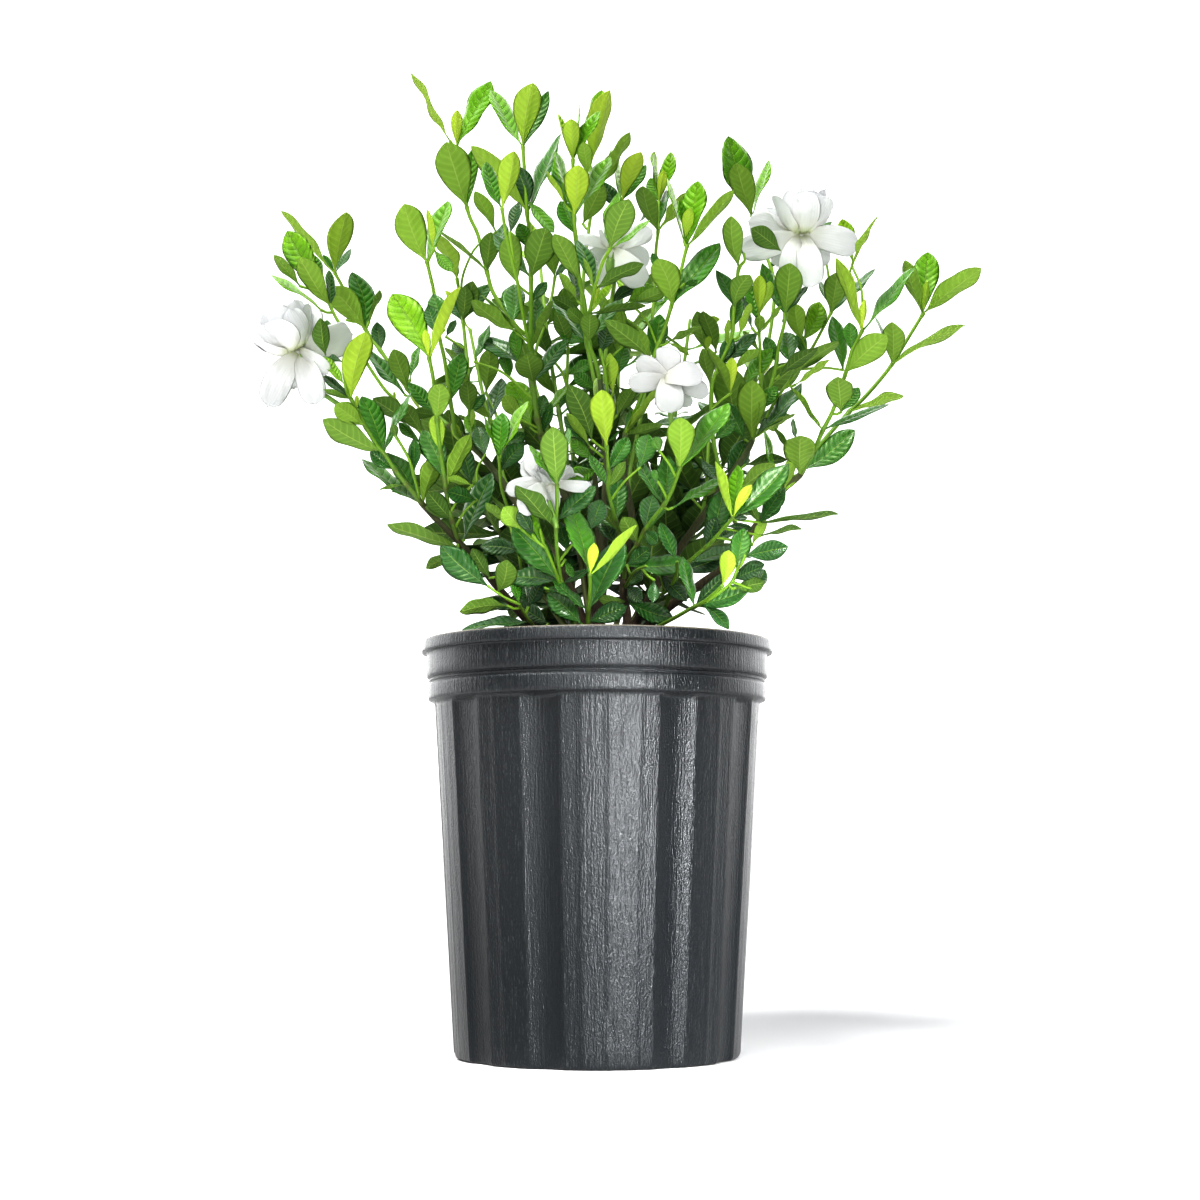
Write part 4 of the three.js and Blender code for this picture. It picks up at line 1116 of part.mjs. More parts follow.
// Flowers: name, centre, axis of the bloom, stalk, and petals as [foot x y z, tip x y z, normal, width].
const FLOWERS = [
  {
    name: "flower_left",
    centre: [-202.8, -50, 472.2],
    axis: [-0.55, -0.1, 0.83],
    stalk: [[-192, -52, 449], [-176.4, -52, 437.4], [-165.9, -49, 431.1]],
    petals: [
      [-201.6, -49.1, 474.5, -196, -44.6, 507.5, 0.21, -0.97, 0.1, 24.4],
      [-200.4, -48.5, 473.9, -166.2, -41, 486.8, 0.28, -0.94, -0.18, 25.8],
      [-199.2, -51.5, 471.8, -181.8, -59, 456.4, -0.29, -0.95, 0.13, 14.9],
      [-200.4, -52.1, 468.9, -188.4, -62.6, 436.5, -0.04, -0.96, 0.29, 21],
      [-203.2, -51.8, 469, -220, -60.8, 433.5, 0.31, -0.95, 0.09, 21.7],
      [-203, -48.2, 468.5, -204, -39.2, 449.8, 0.13, -0.89, -0.44, 10.9],
      [-203.3, -51.5, 471.8, -224.2, -59, 497.6, 0.11, -0.97, -0.19, 23.1],
      [-203, -49.1, 473.8, -212.3, -44.6, 506.1, 0.04, -0.99, 0.15, 21.7],
      [-204.8, -50.3, 472.1, -235.2, -51.8, 485.6, -0.02, -0.99, -0.16, 20.3],
      [-206.3, -49.1, 471, -238.2, -44.6, 470, -0.13, -0.96, -0.24, 12.2],
      [-202.4, -52.7, 471.6, -217.5, -66.2, 488.9, 0.3, -0.86, -0.41, 25.8],
      [-203.5, -48.7, 471.9, -212, -21.1, 456.8, -0.67, 0.17, 0.72, 24],
      [-202.9, -48.5, 472.3, -202, -14, 471, -0.56, 0.04, 0.83, 27],
      [-202.3, -48.7, 472.7, -184.7, -21.3, 473.8, -0.4, 0.2, 0.9, 24],
      [-203.2, -48.6, 472.1, -220.7, -33.8, 490, -0.15, -0.8, 0.58, 24],
      [-202.6, -48.6, 472.5, -213, -34.6, 495.9, -0.47, -0.82, 0.33, 24],
    ],
  },
  {
    name: "flower_right",
    centre: [144.8, 4, 568.6],
    axis: [0, -0.05, 1],
    stalk: [[141.6, 10, 542], [136, 13, 524.7], [132.2, 12, 508.5]],
    petals: [
      [142.8, 4.9, 571.1, 107.1, 9.4, 581.2, -0.19, -0.95, -0.26, 21.8],
      [141.2, 2.8, 567.5, 101.1, -3.2, 556.4, 0.2, -0.96, -0.21, 21.8],
      [141.8, 2.2, 565.9, 132.3, -6.8, 536.7, 0.09, -0.96, 0.27, 17.6],
      [145.3, 1.8, 565.8, 150.1, -9.5, 529.5, -0.19, -0.94, 0.27, 21.8],
      [147.5, 2.7, 567.5, 182.6, -4.1, 559, -0.24, -0.94, -0.25, 21.8],
      [147.8, 6, 567, 165.7, 15.7, 553.1, 0.12, -0.88, -0.46, 14.1],
      [143.2, 1.9, 567.3, 143.9, -8.6, 596.7, -0.09, -0.94, -0.33, 29.6],
      [142, 4.3, 569.4, 129.8, 5.8, 602.7, -0.19, -0.98, -0.03, 18.3],
      [144.3, 5.8, 569.9, 143.5, 14.8, 610.7, -0.12, -0.97, 0.21, 23.9],
      [146.3, 4.3, 569.4, 160.3, 5.8, 602.7, 0.04, -1, 0.03, 19],
      [147.8, 5.4, 571.2, 174.3, 12.1, 592.9, 0.26, -0.97, -0.01, 16.9],
      [144.1, 5.3, 568.7, 128.7, 32.5, 559.5, -0.15, 0.22, 0.96, 24],
      [144.8, 5.5, 568.7, 144.8, 39.9, 565.4, 0, 0.09, 1, 27],
      [145.6, 5.3, 568.7, 160.8, 32.2, 558.4, 0.17, 0.25, 0.95, 24],
      [144.4, 5.4, 568.7, 139.8, 21.5, 592.5, 0.2, -0.77, 0.61, 24],
      [145.2, 5.4, 568.7, 149.6, 20.6, 593.1, -0.2, -0.79, 0.58, 24],
    ],
  },
  {
    name: "flower_top",
    centre: [10.6, 22, 563.6],
    axis: [0.1, 0.1, 0.99],
    stalk: [[12.2, 36, 554.3], [12.2, 44, 543.9], [10, 44, 529.1]],
    petals: [
      [9.9, 22.6, 565.3, -15.9, 25.6, 573.5, -0.18, -0.96, -0.22, 10],
      [12.1, 22.3, 565.9, 40, 23.8, 579.6, 0.15, -0.97, -0.2, 17.1],
      [12.1, 23.5, 563.3, 38, 31, 560.3, 0.23, -0.92, -0.31, 17.1],
      [11.3, 21.1, 561.9, 31.9, 16.6, 537.3, -0.23, -0.97, -0.02, 21.4],
      [9.9, 22.3, 562.3, 3.5, 23.8, 536.3, 0.05, -1, -0.07, 11.4],
      [9.8, 23.2, 563.6, -6.9, 46, 559.8, 0.04, 0.18, 0.98, 22],
      [10.6, 23.5, 563.5, 10.5, 54, 562.7, 0.1, 0.03, 0.99, 24],
      [11.5, 23.2, 563.4, 27.1, 46, 556.4, 0.16, 0.18, 0.97, 22],
      [10.6, 23.5, 563.5, 12.5, 37.6, 581.7, 0.06, -0.76, 0.65, 22],
    ],
  },
  {
    name: "flower_middle",
    centre: [46.2, -104, 440.9],
    axis: [0.35, -0.55, 0.75],
    stalk: [[46.4, -96, 428], [49, -95, 409.7], [53.5, -92, 386.4]],
    petals: [
      [45.6, -102.8, 442.5, 46.5, -96.8, 467.8, -0.02, -0.97, 0.23, 13],
      [46.2, -102.6, 441.8, 68.8, -95.9, 461.3, 0.27, -0.96, 0.03, 19.6],
      [47.5, -104.9, 440.7, 68.7, -109.4, 445, -0.15, -0.96, -0.24, 18.3],
      [44.3, -103.7, 442.3, 23.5, -102.2, 455.2, -0.16, -0.98, -0.14, 15.6],
      [43.6, -104.9, 440.7, 18.9, -109.4, 437.1, 0.2, -0.96, -0.19, 15.6],
      [46.1, -106.1, 439.8, 47.6, -116.6, 417.2, -0.09, -0.91, 0.41, 22.2],
      [48.8, -104.6, 438.8, 73.9, -107.6, 430.9, -0.17, -0.97, -0.17, 14.3],
      [48.8, -103.1, 438.4, 62.6, -98.6, 423.5, 0.02, -0.96, -0.27, 10.4],
      [45.7, -103, 441.9, 35.3, -81.9, 458, 0.32, -0.48, 0.82, 22],
      [46.5, -102.8, 441.6, 54.5, -78.6, 458.6, 0.34, -0.61, 0.72, 24],
      [47.3, -103, 441.1, 66.3, -81.9, 443.5, 0.42, -0.48, 0.77, 22],
      [46.5, -102.8, 441.6, 56.3, -103.4, 462.6, 0.01, -1, 0.02, 22],
    ],
  },
  {
    name: "flower_low",
    centre: [-29.6, -104, 372.5],
    axis: [-0.1, -0.5, 0.86],
    stalk: [[-30.7, -108, 361.4], [-28, -112, 351], [-25.4, -113, 342.4]],
    petals: [
      [-30.2, -103.1, 374, -45.3, -98.6, 395.1, -0.17, -0.98, 0.09, 17],
      [-30.9, -102.5, 374.1, -50.6, -95, 388.5, -0.31, -0.95, 0.06, 11.7],
      [-30.8, -104.6, 371.7, -58.4, -107.6, 367.3, 0.13, -0.98, -0.15, 13],
      [-29.5, -105.5, 370.3, -49.1, -113, 353.4, 0.31, -0.95, 0.06, 17],
      [-28.2, -105.2, 370.3, -28.1, -111.2, 353.7, 0.02, -0.94, 0.34, 9.1],
      [-25, -104.3, 373.1, -3.1, -105.8, 370.2, -0.09, -0.98, -0.16, 9.1],
      [-25.7, -103.1, 374.6, -15.5, -98.6, 384.6, 0.32, -0.94, 0.1, 9.1],
      [-30.5, -102.9, 373, -47.7, -81.3, 380.1, -0.16, -0.43, 0.89, 22],
      [-29.7, -102.7, 373.2, -31.7, -77.6, 390.4, -0.1, -0.56, 0.82, 24],
      [-28.8, -102.9, 373.2, -13.7, -81.3, 384.1, -0.05, -0.43, 0.9, 22],
      [-29.7, -102.7, 373.2, -32.4, -102, 396.3, -0.01, -1, 0.08, 22],
    ],
  },
];

const wasm = await Module();
wasm.setup();

const V = (x, y, z) => new THREE.Vector3(x, y, z);

// ---- solids ----
function toSolid(geometry) {
  const g = geometry.index ? geometry.toNonIndexed() : geometry.clone();
  for (const name of Object.keys(g.attributes))
    if (name !== "position") g.deleteAttribute(name);
  const merged = mergeVertices(g, 1e-3);
  const solid = new wasm.Manifold(
    new wasm.Mesh({
      numProp: 3,
      vertProperties: merged.attributes.position.array,
      triVerts: new Uint32Array(merged.index.array),
    }),
  );
  if (solid.volume() >= 0) return solid;
  const flipped = new Uint32Array(merged.index.array);
  for (let i = 0; i < flipped.length; i += 3)
    [flipped[i + 1], flipped[i + 2]] = [flipped[i + 2], flipped[i + 1]];
  return new wasm.Manifold(
    new wasm.Mesh({
      numProp: 3,
      vertProperties: merged.attributes.position.array,
      triVerts: flipped,
    }),
  );
}

function toGeometry(solid) {
  const mesh = solid.getMesh();
  const g = new THREE.BufferGeometry();
  const xyz = new Float32Array((mesh.vertProperties.length / mesh.numProp) * 3);
  for (let i = 0; i < xyz.length / 3; i++)
    for (let k = 0; k < 3; k++)
      xyz[3 * i + k] = mesh.vertProperties[i * mesh.numProp + k];
  g.setAttribute("position", new THREE.BufferAttribute(xyz, 3));
  g.setIndex(new THREE.BufferAttribute(new Uint32Array(mesh.triVerts), 1));
  g.computeVertexNormals();
  return g;
}

const joinAll = (list) => list.reduce((a, b) => a.add(b));

function boxOf(solid) {
  const b = solid.boundingBox();
  return new THREE.Box3(V(...b.min), V(...b.max));
}

// The one body that carries the most material; slivers cut off by a neighbour are dropped.
function mainBody(solid) {
  const bodies = solid.decompose();
  return bodies.reduce((a, b) => (b.volume() > a.volume() ? b : a));
}

// Turned piece from [radius, z] pairs that start and end on the axis.
function turned(profile, segments) {
  const g = new THREE.LatheGeometry(
    profile.map(([r, z]) => new THREE.Vector2(r, z)),
    segments,
  );
  g.rotateX(Math.PI / 2);
  return toSolid(g);
}

// Centre line with a section at each of its points.
class CentreLine extends THREE.Curve {
  constructor(points) {
    super();
    this.points = points;
  }
  getPoint(t) {
    const f = Math.min(Math.max(t, 0), 1) * (this.points.length - 1);
    const i = Math.min(Math.floor(f), this.points.length - 2);
    return this.points[i].clone().lerp(this.points[i + 1], f - i);
  }
  getPointAt(u) {
    return this.getPoint(u);
  }
  getTangentAt(u) {
    return this.getTangent(u);
  }
}

// Tube along points, as a swept many-sided section.
const sidesFor = (radius) =>
  radius < TWIG_RADIUS ? TWIG_SIDES : radius < WOOD_RADIUS ? STEM_SIDES : WOOD_SIDES;
function tube(radius, points, sides = sidesFor(radius)) {
  const section = new THREE.Shape(
    Array.from({ length: sides }, (_, k) => {
      const a = (k / sides) * 2 * Math.PI;
      return new THREE.Vector2(radius * Math.cos(a), radius * Math.sin(a));
    }),
  );
  return toSolid(
    new THREE.ExtrudeGeometry(section, {
      steps: points.length - 1,
      extrudePath: new CentreLine(points),
      bevelEnabled: false,
    }),
  );
}

// Leaf or petal as a folded blade: its foot and tip lie on the midrib, its two side corners above it.
function blade(foot, tip, normal, width, fold) {
  const along = tip.clone().sub(foot);
  const half = along.length() / 2;
  along.normalize();
  const across = along.clone().cross(normal).normalize();
  const down = along.clone().cross(across).normalize().multiplyScalar(fold / 2);
  along.multiplyScalar(half / 2);
  across.multiplyScalar(width / 4);
  const lean = 2 * BROADEST - 1; // moves the side corners towards the tip
  const g = new THREE.TetrahedronGeometry(Math.sqrt(3), 0);
  const m = new THREE.Matrix4().makeBasis(
    along.clone().add(across),
    along.clone().sub(across),
    down.clone().addScaledVector(along, -lean),
  );
  m.setPosition(foot.clone().add(tip).multiplyScalar(0.5).addScaledVector(along, lean));
  g.applyMatrix4(m);
  return toSolid(g);
}

// Room that a blade keeps clear of its neighbours: a flat kite-shaped plate round it.
function bladeRoom(foot, tip, normal, width, fold) {
  const along = tip.clone().sub(foot);
  const length = along.length();
  along.normalize();
  const across = along.clone().cross(normal).normalize();
  const up = across.clone().cross(along).normalize();
  const half = width / 2 + 1.5 * GAP;
  const kite = new THREE.Shape([
    new THREE.Vector2(0, -2 * GAP),
    new THREE.Vector2(half, BROADEST * length),
    new THREE.Vector2(0, length + 2 * GAP),
    new THREE.Vector2(-half, BROADEST * length),
  ]);
  const g = new THREE.ExtrudeGeometry(kite, {
    depth: fold + 2 * GAP,
    bevelEnabled: false,
  });
  g.applyMatrix4(
    new THREE.Matrix4()
      .makeBasis(across, along, up)
      .setPosition(foot.clone().addScaledVector(up, -fold / 2 - GAP)),
  );
  return toSolid(g);
}

// ---- placed pieces, for the clearance between neighbours ----
const placed = [];
function clearOf(solid) {
  let out = solid;
  let box = boxOf(out);
  for (const p of placed) {
    if (!p.box.intersectsBox(box)) continue;
    if (out.intersect(p.fat).volume() > 0) {
      out = out.subtract(p.fat);
      box = boxOf(out);
    }
  }
  return mainBody(out);
}
function place(fats) {
  for (const fat of fats) placed.push({ fat, box: boxOf(fat) });
}

const group = new THREE.Group();
function addMesh(name, solid, colour, roughness) {
  const mesh = new THREE.Mesh(
    toGeometry(solid),
    new THREE.MeshStandardMaterial({ color: colour, roughness, metalness: 0 }),
  );
  mesh.name = name;
  group.add(mesh);
}

// ---- nursery pot ----
const wallRadius = (z) =>
  FOOT_RADIUS + ((BODY_TOP_RADIUS - FOOT_RADIUS) * z) / BODY_TOP;
const rad = (deg) => (deg * Math.PI) / 180;

// Half of the wall's section as [degrees from the mould line, depth] pairs.
function halfSection() {
  const out = [[0, 0]];
  let edge = 0;
  for (const [from, to] of CHANNELS) {
    const middle = (from + to) / 2,
      half = (to - from) / 2;
    out.push([(edge + from) / 2, 0]);
    for (const [x, share] of [
      [-1, 0],
      [-0.55, 0.72],
      [0, 1],
      [0.55, 0.72],
      [1, 0],
    ])
      out.push([middle + x * half, share * CHANNEL_DEPTH]);
    edge = to;
  }
  out.push([(edge + 180) / 2, 0], [180, 0]);
  return out;
}

// The channelled wall: its section is swept upwards, then tapered towards the foot.
function flutedBody() {
  const top = BODY_TOP + 4;
  const half = halfSection();
  const section = [
    ...half,
    ...half
      .slice(1, -1)
      .reverse()
      .map(([deg, depth]) => [360 - deg, depth]),
  ];
  const corners = section.map(([deg, depth]) => {
    const a = rad(MOULD_LINE_DEG - 90 + deg);
    const r = wallRadius(top) - depth;
    return new THREE.Vector2(r * Math.cos(a), r * Math.sin(a));
  });
  const g = new THREE.ExtrudeGeometry(new THREE.Shape(corners), {
    depth: top,
    steps: 1,
    bevelEnabled: false,
  });
  const p = g.attributes.position;
  for (let i = 0; i < p.count; i++) {
    const k = wallRadius(p.getZ(i)) / wallRadius(top);
    p.setXY(i, p.getX(i) * k, p.getY(i) * k);
  }
  return toSolid(g);
}

// Inside of the pot as [radius, z] pairs; it lies one wall inside the channels.
const insideRadius = (z) => wallRadius(z) - CHANNEL_DEPTH - WALL;
const INSIDE = [
  [insideRadius(FLOOR), FLOOR],
  [insideRadius(BODY_TOP - 4), BODY_TOP - 4],
  [BAND2_RADIUS - WALL - 1.4, BAND2_BOTTOM + 7],
  [BAND2_RADIUS - WALL - 1.4, BAND1_BOTTOM + 2],
  [BAND1_RADIUS - WALL, LIP_BOTTOM - 2],
  [LIP_RADIUS - WALL - 0.4, LIP_BOTTOM + 5],
  [LIP_RADIUS - WALL - 0.4, POT_HEIGHT + 1],
];
const POT_SEGMENTS = 36;
const outside = turned(
  [
    [0, BODY_TOP - 2],
    [BODY_TOP_RADIUS - 2, BODY_TOP - 2],
    [BAND2_RADIUS - 0.8, BAND2_BOTTOM],
    [BAND2_RADIUS, BAND2_TOP - 0.6],
    [GROOVE_RADIUS, BAND2_TOP],
    [GROOVE_RADIUS, BAND1_BOTTOM],
    [BAND1_RADIUS - 0.5, BAND1_BOTTOM + 1],
    [BAND1_RADIUS, LIP_BOTTOM],
    [LIP_RADIUS - 0.5, LIP_BOTTOM],
    [LIP_RADIUS, LIP_BOTTOM + 2.5],
    [LIP_RADIUS - 1.4, POT_HEIGHT],
    [0, POT_HEIGHT],
  ],
  POT_SEGMENTS,
);
const hollow = turned(
  [[0, FLOOR], ...INSIDE, [0, POT_HEIGHT + 1]],
  POT_SEGMENTS,
);
let pot = outside.add(flutedBody()).subtract(hollow);
for (let k = 0; k < DRAIN_HOLES; k++) {
  const g = new THREE.CylinderGeometry(
    DRAIN_HOLE_RADIUS,
    DRAIN_HOLE_RADIUS,
    FLOOR * 4,
    8,
  );
  g.rotateX(Math.PI / 2);
  const a = rad(45 + (360 / DRAIN_HOLES) * k);
  g.translate(
    DRAIN_HOLE_CIRCLE * Math.sin(a),
    -DRAIN_HOLE_CIRCLE * Math.cos(a),
    0,
  );
  pot = pot.subtract(toSolid(g));
}
addMesh("nursery_pot", mainBody(pot), POT_COLOUR, 0.45);

// ---- woody main stems, joined in a crown at soil level ----
const pointsOf = (row) => {
  const out = [];
  for (let i = 1; i < row.length; i += 3) out.push(V(row[i], row[i + 1], row[i + 2]));
  return out;
};
function crown(grow) {
  const g = new THREE.SphereGeometry(ROOT_CROWN_RADIUS + grow, 12, 8);
  g.scale(1, 1, 0.85);
  g.rotateX(Math.PI / 2);
  g.translate(2, 0, SOIL_LEVEL - 8);
  return toSolid(g);
}
const wood = WOOD.map((row) => tube(row[0], pointsOf(row)));
addMesh("main_stems", mainBody(joinAll([crown(0), ...wood])), BARK_COLOUR, 0.85);
place([crown(GAP), ...WOOD.map((row) => tube(row[0] + 1.4 * GAP, pointsOf(row), sidesFor(row[0])))]);
// the lip and wall of the pot stay clear of every shoot
place([
  turned(
    [
      [0, FLOOR + 1],
      [LIP_RADIUS + GAP, FLOOR + 1],
      [LIP_RADIUS + GAP, POT_HEIGHT + GAP],
      [insideRadius(BODY_TOP) - 1, POT_HEIGHT + GAP],
      [insideRadius(BODY_TOP) - 1, SOIL_LEVEL - 1],
      [0, SOIL_LEVEL - 12],
    ],
    36,
  ),
]);

// ---- leafy shoots ----
const buried = [crown(GAP), ...WOOD.map((row) => tube(row[0] + 1.4 * GAP, pointsOf(row), sidesFor(row[0])))];
for (const shoot of SHOOTS) {
  const stems = shoot.stems.map((row) => tube(row[0], pointsOf(row)));
  const leafArgs = shoot.leaves.map((l) => {
    const foot = V(l[0], l[1], l[2]),
      tip = V(l[3], l[4], l[5]);
    const back = tip.clone().sub(foot).normalize().multiplyScalar(0.15);
    return [foot.sub(back), tip, V(l[6], l[7], l[8]), l[9], LEAF_FOLD];
  });
  const solid = clearOf(joinAll([...stems, ...leafArgs.map((a) => blade(...a))]));
  addMesh(shoot.name, solid, shoot.colour, 0.4);
  const fatStems = shoot.stems.map((row) => tube(row[0] + 1.4 * GAP, pointsOf(row), sidesFor(row[0])));
  place([...fatStems, ...leafArgs.map((a) => bladeRoom(...a))]);
  for (const s of fatStems) if (boxOf(s).min.z < SOIL_LEVEL + SOIL_CROWN + 4) buried.push(s);
}

// ---- flowers: a corolla of overlapping petals on a short tube, and a green calyx on its stalk ----
function heartOf(centre, grow) {
  const g = new THREE.IcosahedronGeometry(HEART_RADIUS + grow, 0);
  g.translate(centre.x, centre.y, centre.z);
  return toSolid(g);
}
for (const f of FLOWERS) {
  const centre = V(...f.centre),
    axis = V(...f.axis).normalize();
  const tubeFoot = centre.clone().addScaledVector(axis, -7);
  const petals = f.petals.map((p) => {
    const foot = V(p[0], p[1], p[2]),
      tip = V(p[3], p[4], p[5]);
    const back = tip.clone().sub(foot).normalize().multiplyScalar(3);
    return [foot.sub(back), tip, V(p[6], p[7], p[8]), p[9], PETAL_FOLD];
  });
  const heart = heartOf(centre, 0);
  const tubePart = tube(COROLLA_TUBE_RADIUS, [centre.clone().addScaledVector(axis, 4), tubeFoot]);
  const corolla = clearOf(
    joinAll([heart, tubePart, ...petals.map((a) => blade(...a))]),
  );
  addMesh(f.name + "_corolla", corolla, PETAL_COLOUR, 0.55);
  place([
    heartOf(centre, GAP),
    tube(COROLLA_TUBE_RADIUS + GAP, [centre.clone().addScaledVector(axis, 4), tubeFoot.clone().addScaledVector(axis, -GAP)]),
    ...petals.map((a) => bladeRoom(...a)),
  ]);
  // calyx cup below the tube, then the stalk down to the shoot that carries it
  const calyxTop = tubeFoot.clone().addScaledVector(axis, -GAP);
  const calyxFoot = calyxTop.clone().addScaledVector(axis, -CALYX_LENGTH);
  const cup = tube(CALYX_RADIUS, [calyxTop, calyxTop.clone().lerp(calyxFoot, 0.75)], 8);
  const stalk = tube(1.5, [calyxTop.clone().lerp(calyxFoot, 0.5), calyxFoot, ...f.stalk.map((p) => V(...p))]);
  const calyx = clearOf(cup.add(stalk));
  addMesh(f.name + "_calyx", calyx, CALYX_COLOUR, 0.5);
  place([
    tube(CALYX_RADIUS + GAP, [calyxTop, calyxTop.clone().lerp(calyxFoot, 0.75)], 8),
    tube(1.5 + GAP, [calyxTop.clone().lerp(calyxFoot, 0.5), calyxFoot, ...f.stalk.map((p) => V(...p))]),
  ]);
}

// ---- potting soil, with room for what grows out of it ----
let soil = turned(
  [
    [0, FLOOR + GAP],
    [INSIDE[0][0] - GAP, FLOOR + GAP],
    [INSIDE[1][0] - GAP, INSIDE[1][1]],
    [INSIDE[2][0] - GAP, INSIDE[2][1] + 1],
    [INSIDE[2][0] - GAP, BAND1_BOTTOM],
    [INSIDE[2][0] - 3, SOIL_LEVEL],
    [0, SOIL_LEVEL + SOIL_CROWN],
  ],
  36,
);
for (const s of buried) if (soil.intersect(s).volume() > 0) soil = soil.subtract(s);
addMesh("potting_soil", mainBody(soil), SOIL_COLOUR, 0.95);

export default group;
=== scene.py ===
# A double gardenia shrub in a channelled nursery pot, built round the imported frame.
# Metres; the frame's +Z is up and -Y is the front. Tables are in millimetres.
import bpy, bmesh, math, random
import numpy as np
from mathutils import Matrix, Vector, geometry


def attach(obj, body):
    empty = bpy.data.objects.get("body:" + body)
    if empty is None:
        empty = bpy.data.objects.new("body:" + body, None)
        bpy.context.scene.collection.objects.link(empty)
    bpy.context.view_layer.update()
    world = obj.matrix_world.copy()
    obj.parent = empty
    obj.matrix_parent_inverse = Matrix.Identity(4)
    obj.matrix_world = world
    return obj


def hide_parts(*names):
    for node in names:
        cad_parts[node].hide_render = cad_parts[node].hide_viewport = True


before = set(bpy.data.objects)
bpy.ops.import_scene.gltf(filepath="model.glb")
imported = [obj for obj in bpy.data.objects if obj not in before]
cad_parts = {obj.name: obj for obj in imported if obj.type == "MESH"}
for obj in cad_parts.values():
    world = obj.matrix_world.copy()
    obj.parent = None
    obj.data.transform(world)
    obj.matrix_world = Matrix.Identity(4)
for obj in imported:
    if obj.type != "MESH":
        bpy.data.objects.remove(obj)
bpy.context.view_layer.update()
MM = 0.001

# ------------------------------------------------------------------ camera and stage
cam_data = bpy.data.cameras.new("camera")
cam_data.sensor_width = 36.0
cam_data.lens = 36.0 * 2113.0 / 1200.0
cam_data.clip_end = 100.0
cam = bpy.data.objects.new("camera", cam_data)
cam.location = (0.00206, -1.450, 0.1414)
cam.rotation_euler = (math.radians(90 + 6.6), 0.0, 0.0)
bpy.context.scene.collection.objects.link(cam)
bpy.context.scene.camera = cam

# ------------------------------------------------------------------ tables
# [radius at tip, radius at base, x, y, z, x, y, z ...] from tip to base
WOOD = [
    [2.34,3.77,-39.4,12,426.6,-28.8,10.2,398.5,-15.4,8,366.3,-4.9,5.6,330.8,0,3,295.6,1.4,0,262.1,1.7,0,244],
    [2.03,3.77,-103.8,8,432.9,-97.5,7.7,427.9,-90.4,7.4,421.4,-80.5,6.9,411.4,-72,6.5,400.7,-59.3,5.7,382.9,-43.2,4.7,358.7,-25.7,3.5,333.3,-10.4,1.8,295.5,-4.8,0,260.7,-1.4,0,244],
    [1.87,3.44,-117.5,-32,369.7,-112.1,-30.6,363.8,-103.3,-28.4,355.2,-94.6,-26.2,346.6,-79.7,-22.3,330.6,-66.9,-18.4,314.6,-54.7,-14.9,301.3,-40.4,-10.6,285.9,-19.9,-5,270.6,-6.2,0,259.3,-2.1,0,244],
    [1.87,3.6,2.1,-12,461.4,4.8,-10.1,433.5,6.2,-7.9,402.3,4.8,-5.1,364.3,3.4,-2.5,329.7,2.1,0.4,295.3,2.1,4,261,2.1,2,244],
    [2.03,3.6,19.2,-25,420.1,18.5,-22.4,396.2,21.9,-20.1,375.8,24,-18.4,360.8,19.9,-15.9,340.4,18.5,-13.6,321.4,18.5,-11.9,307.8,20.6,-9.9,292.8,14.4,-7,273.8,6.2,-4,259,4.1,-2,244],
    [2.03,3.77,109,14,423.4,104,13.4,413.3,96.1,12.7,402.5,83.3,11.4,383.1,72.6,10.4,367.4,57.8,8.9,346.7,40.3,6.9,318.4,26.3,5,292.3,14.5,3.3,271.3,6.2,2,260.8,4.1,1,244],
    [2.18,3.93,140.4,-8,395.3,133.5,-7.7,389,128.6,-7.4,384.9,120.2,-6.9,372.4,110.5,-6.3,360.6,102.2,-5.9,350.2,94.5,-5.4,339.1,82.1,-4.7,327.4,71,-4.2,319.1,46.2,-2.9,301.9,29.6,-1.9,284.7,15.8,-0.8,268.9,6.2,0,259.3,4.1,0,244],
    [1.4,2.95,-21.4,24,462.1,-16.4,22.3,443.7,-5,19.7,418,-0.8,16.8,389,0.7,13.2,352.9,2.1,9.4,317.3,2.1,2,262.2,2.1,1,244],
]
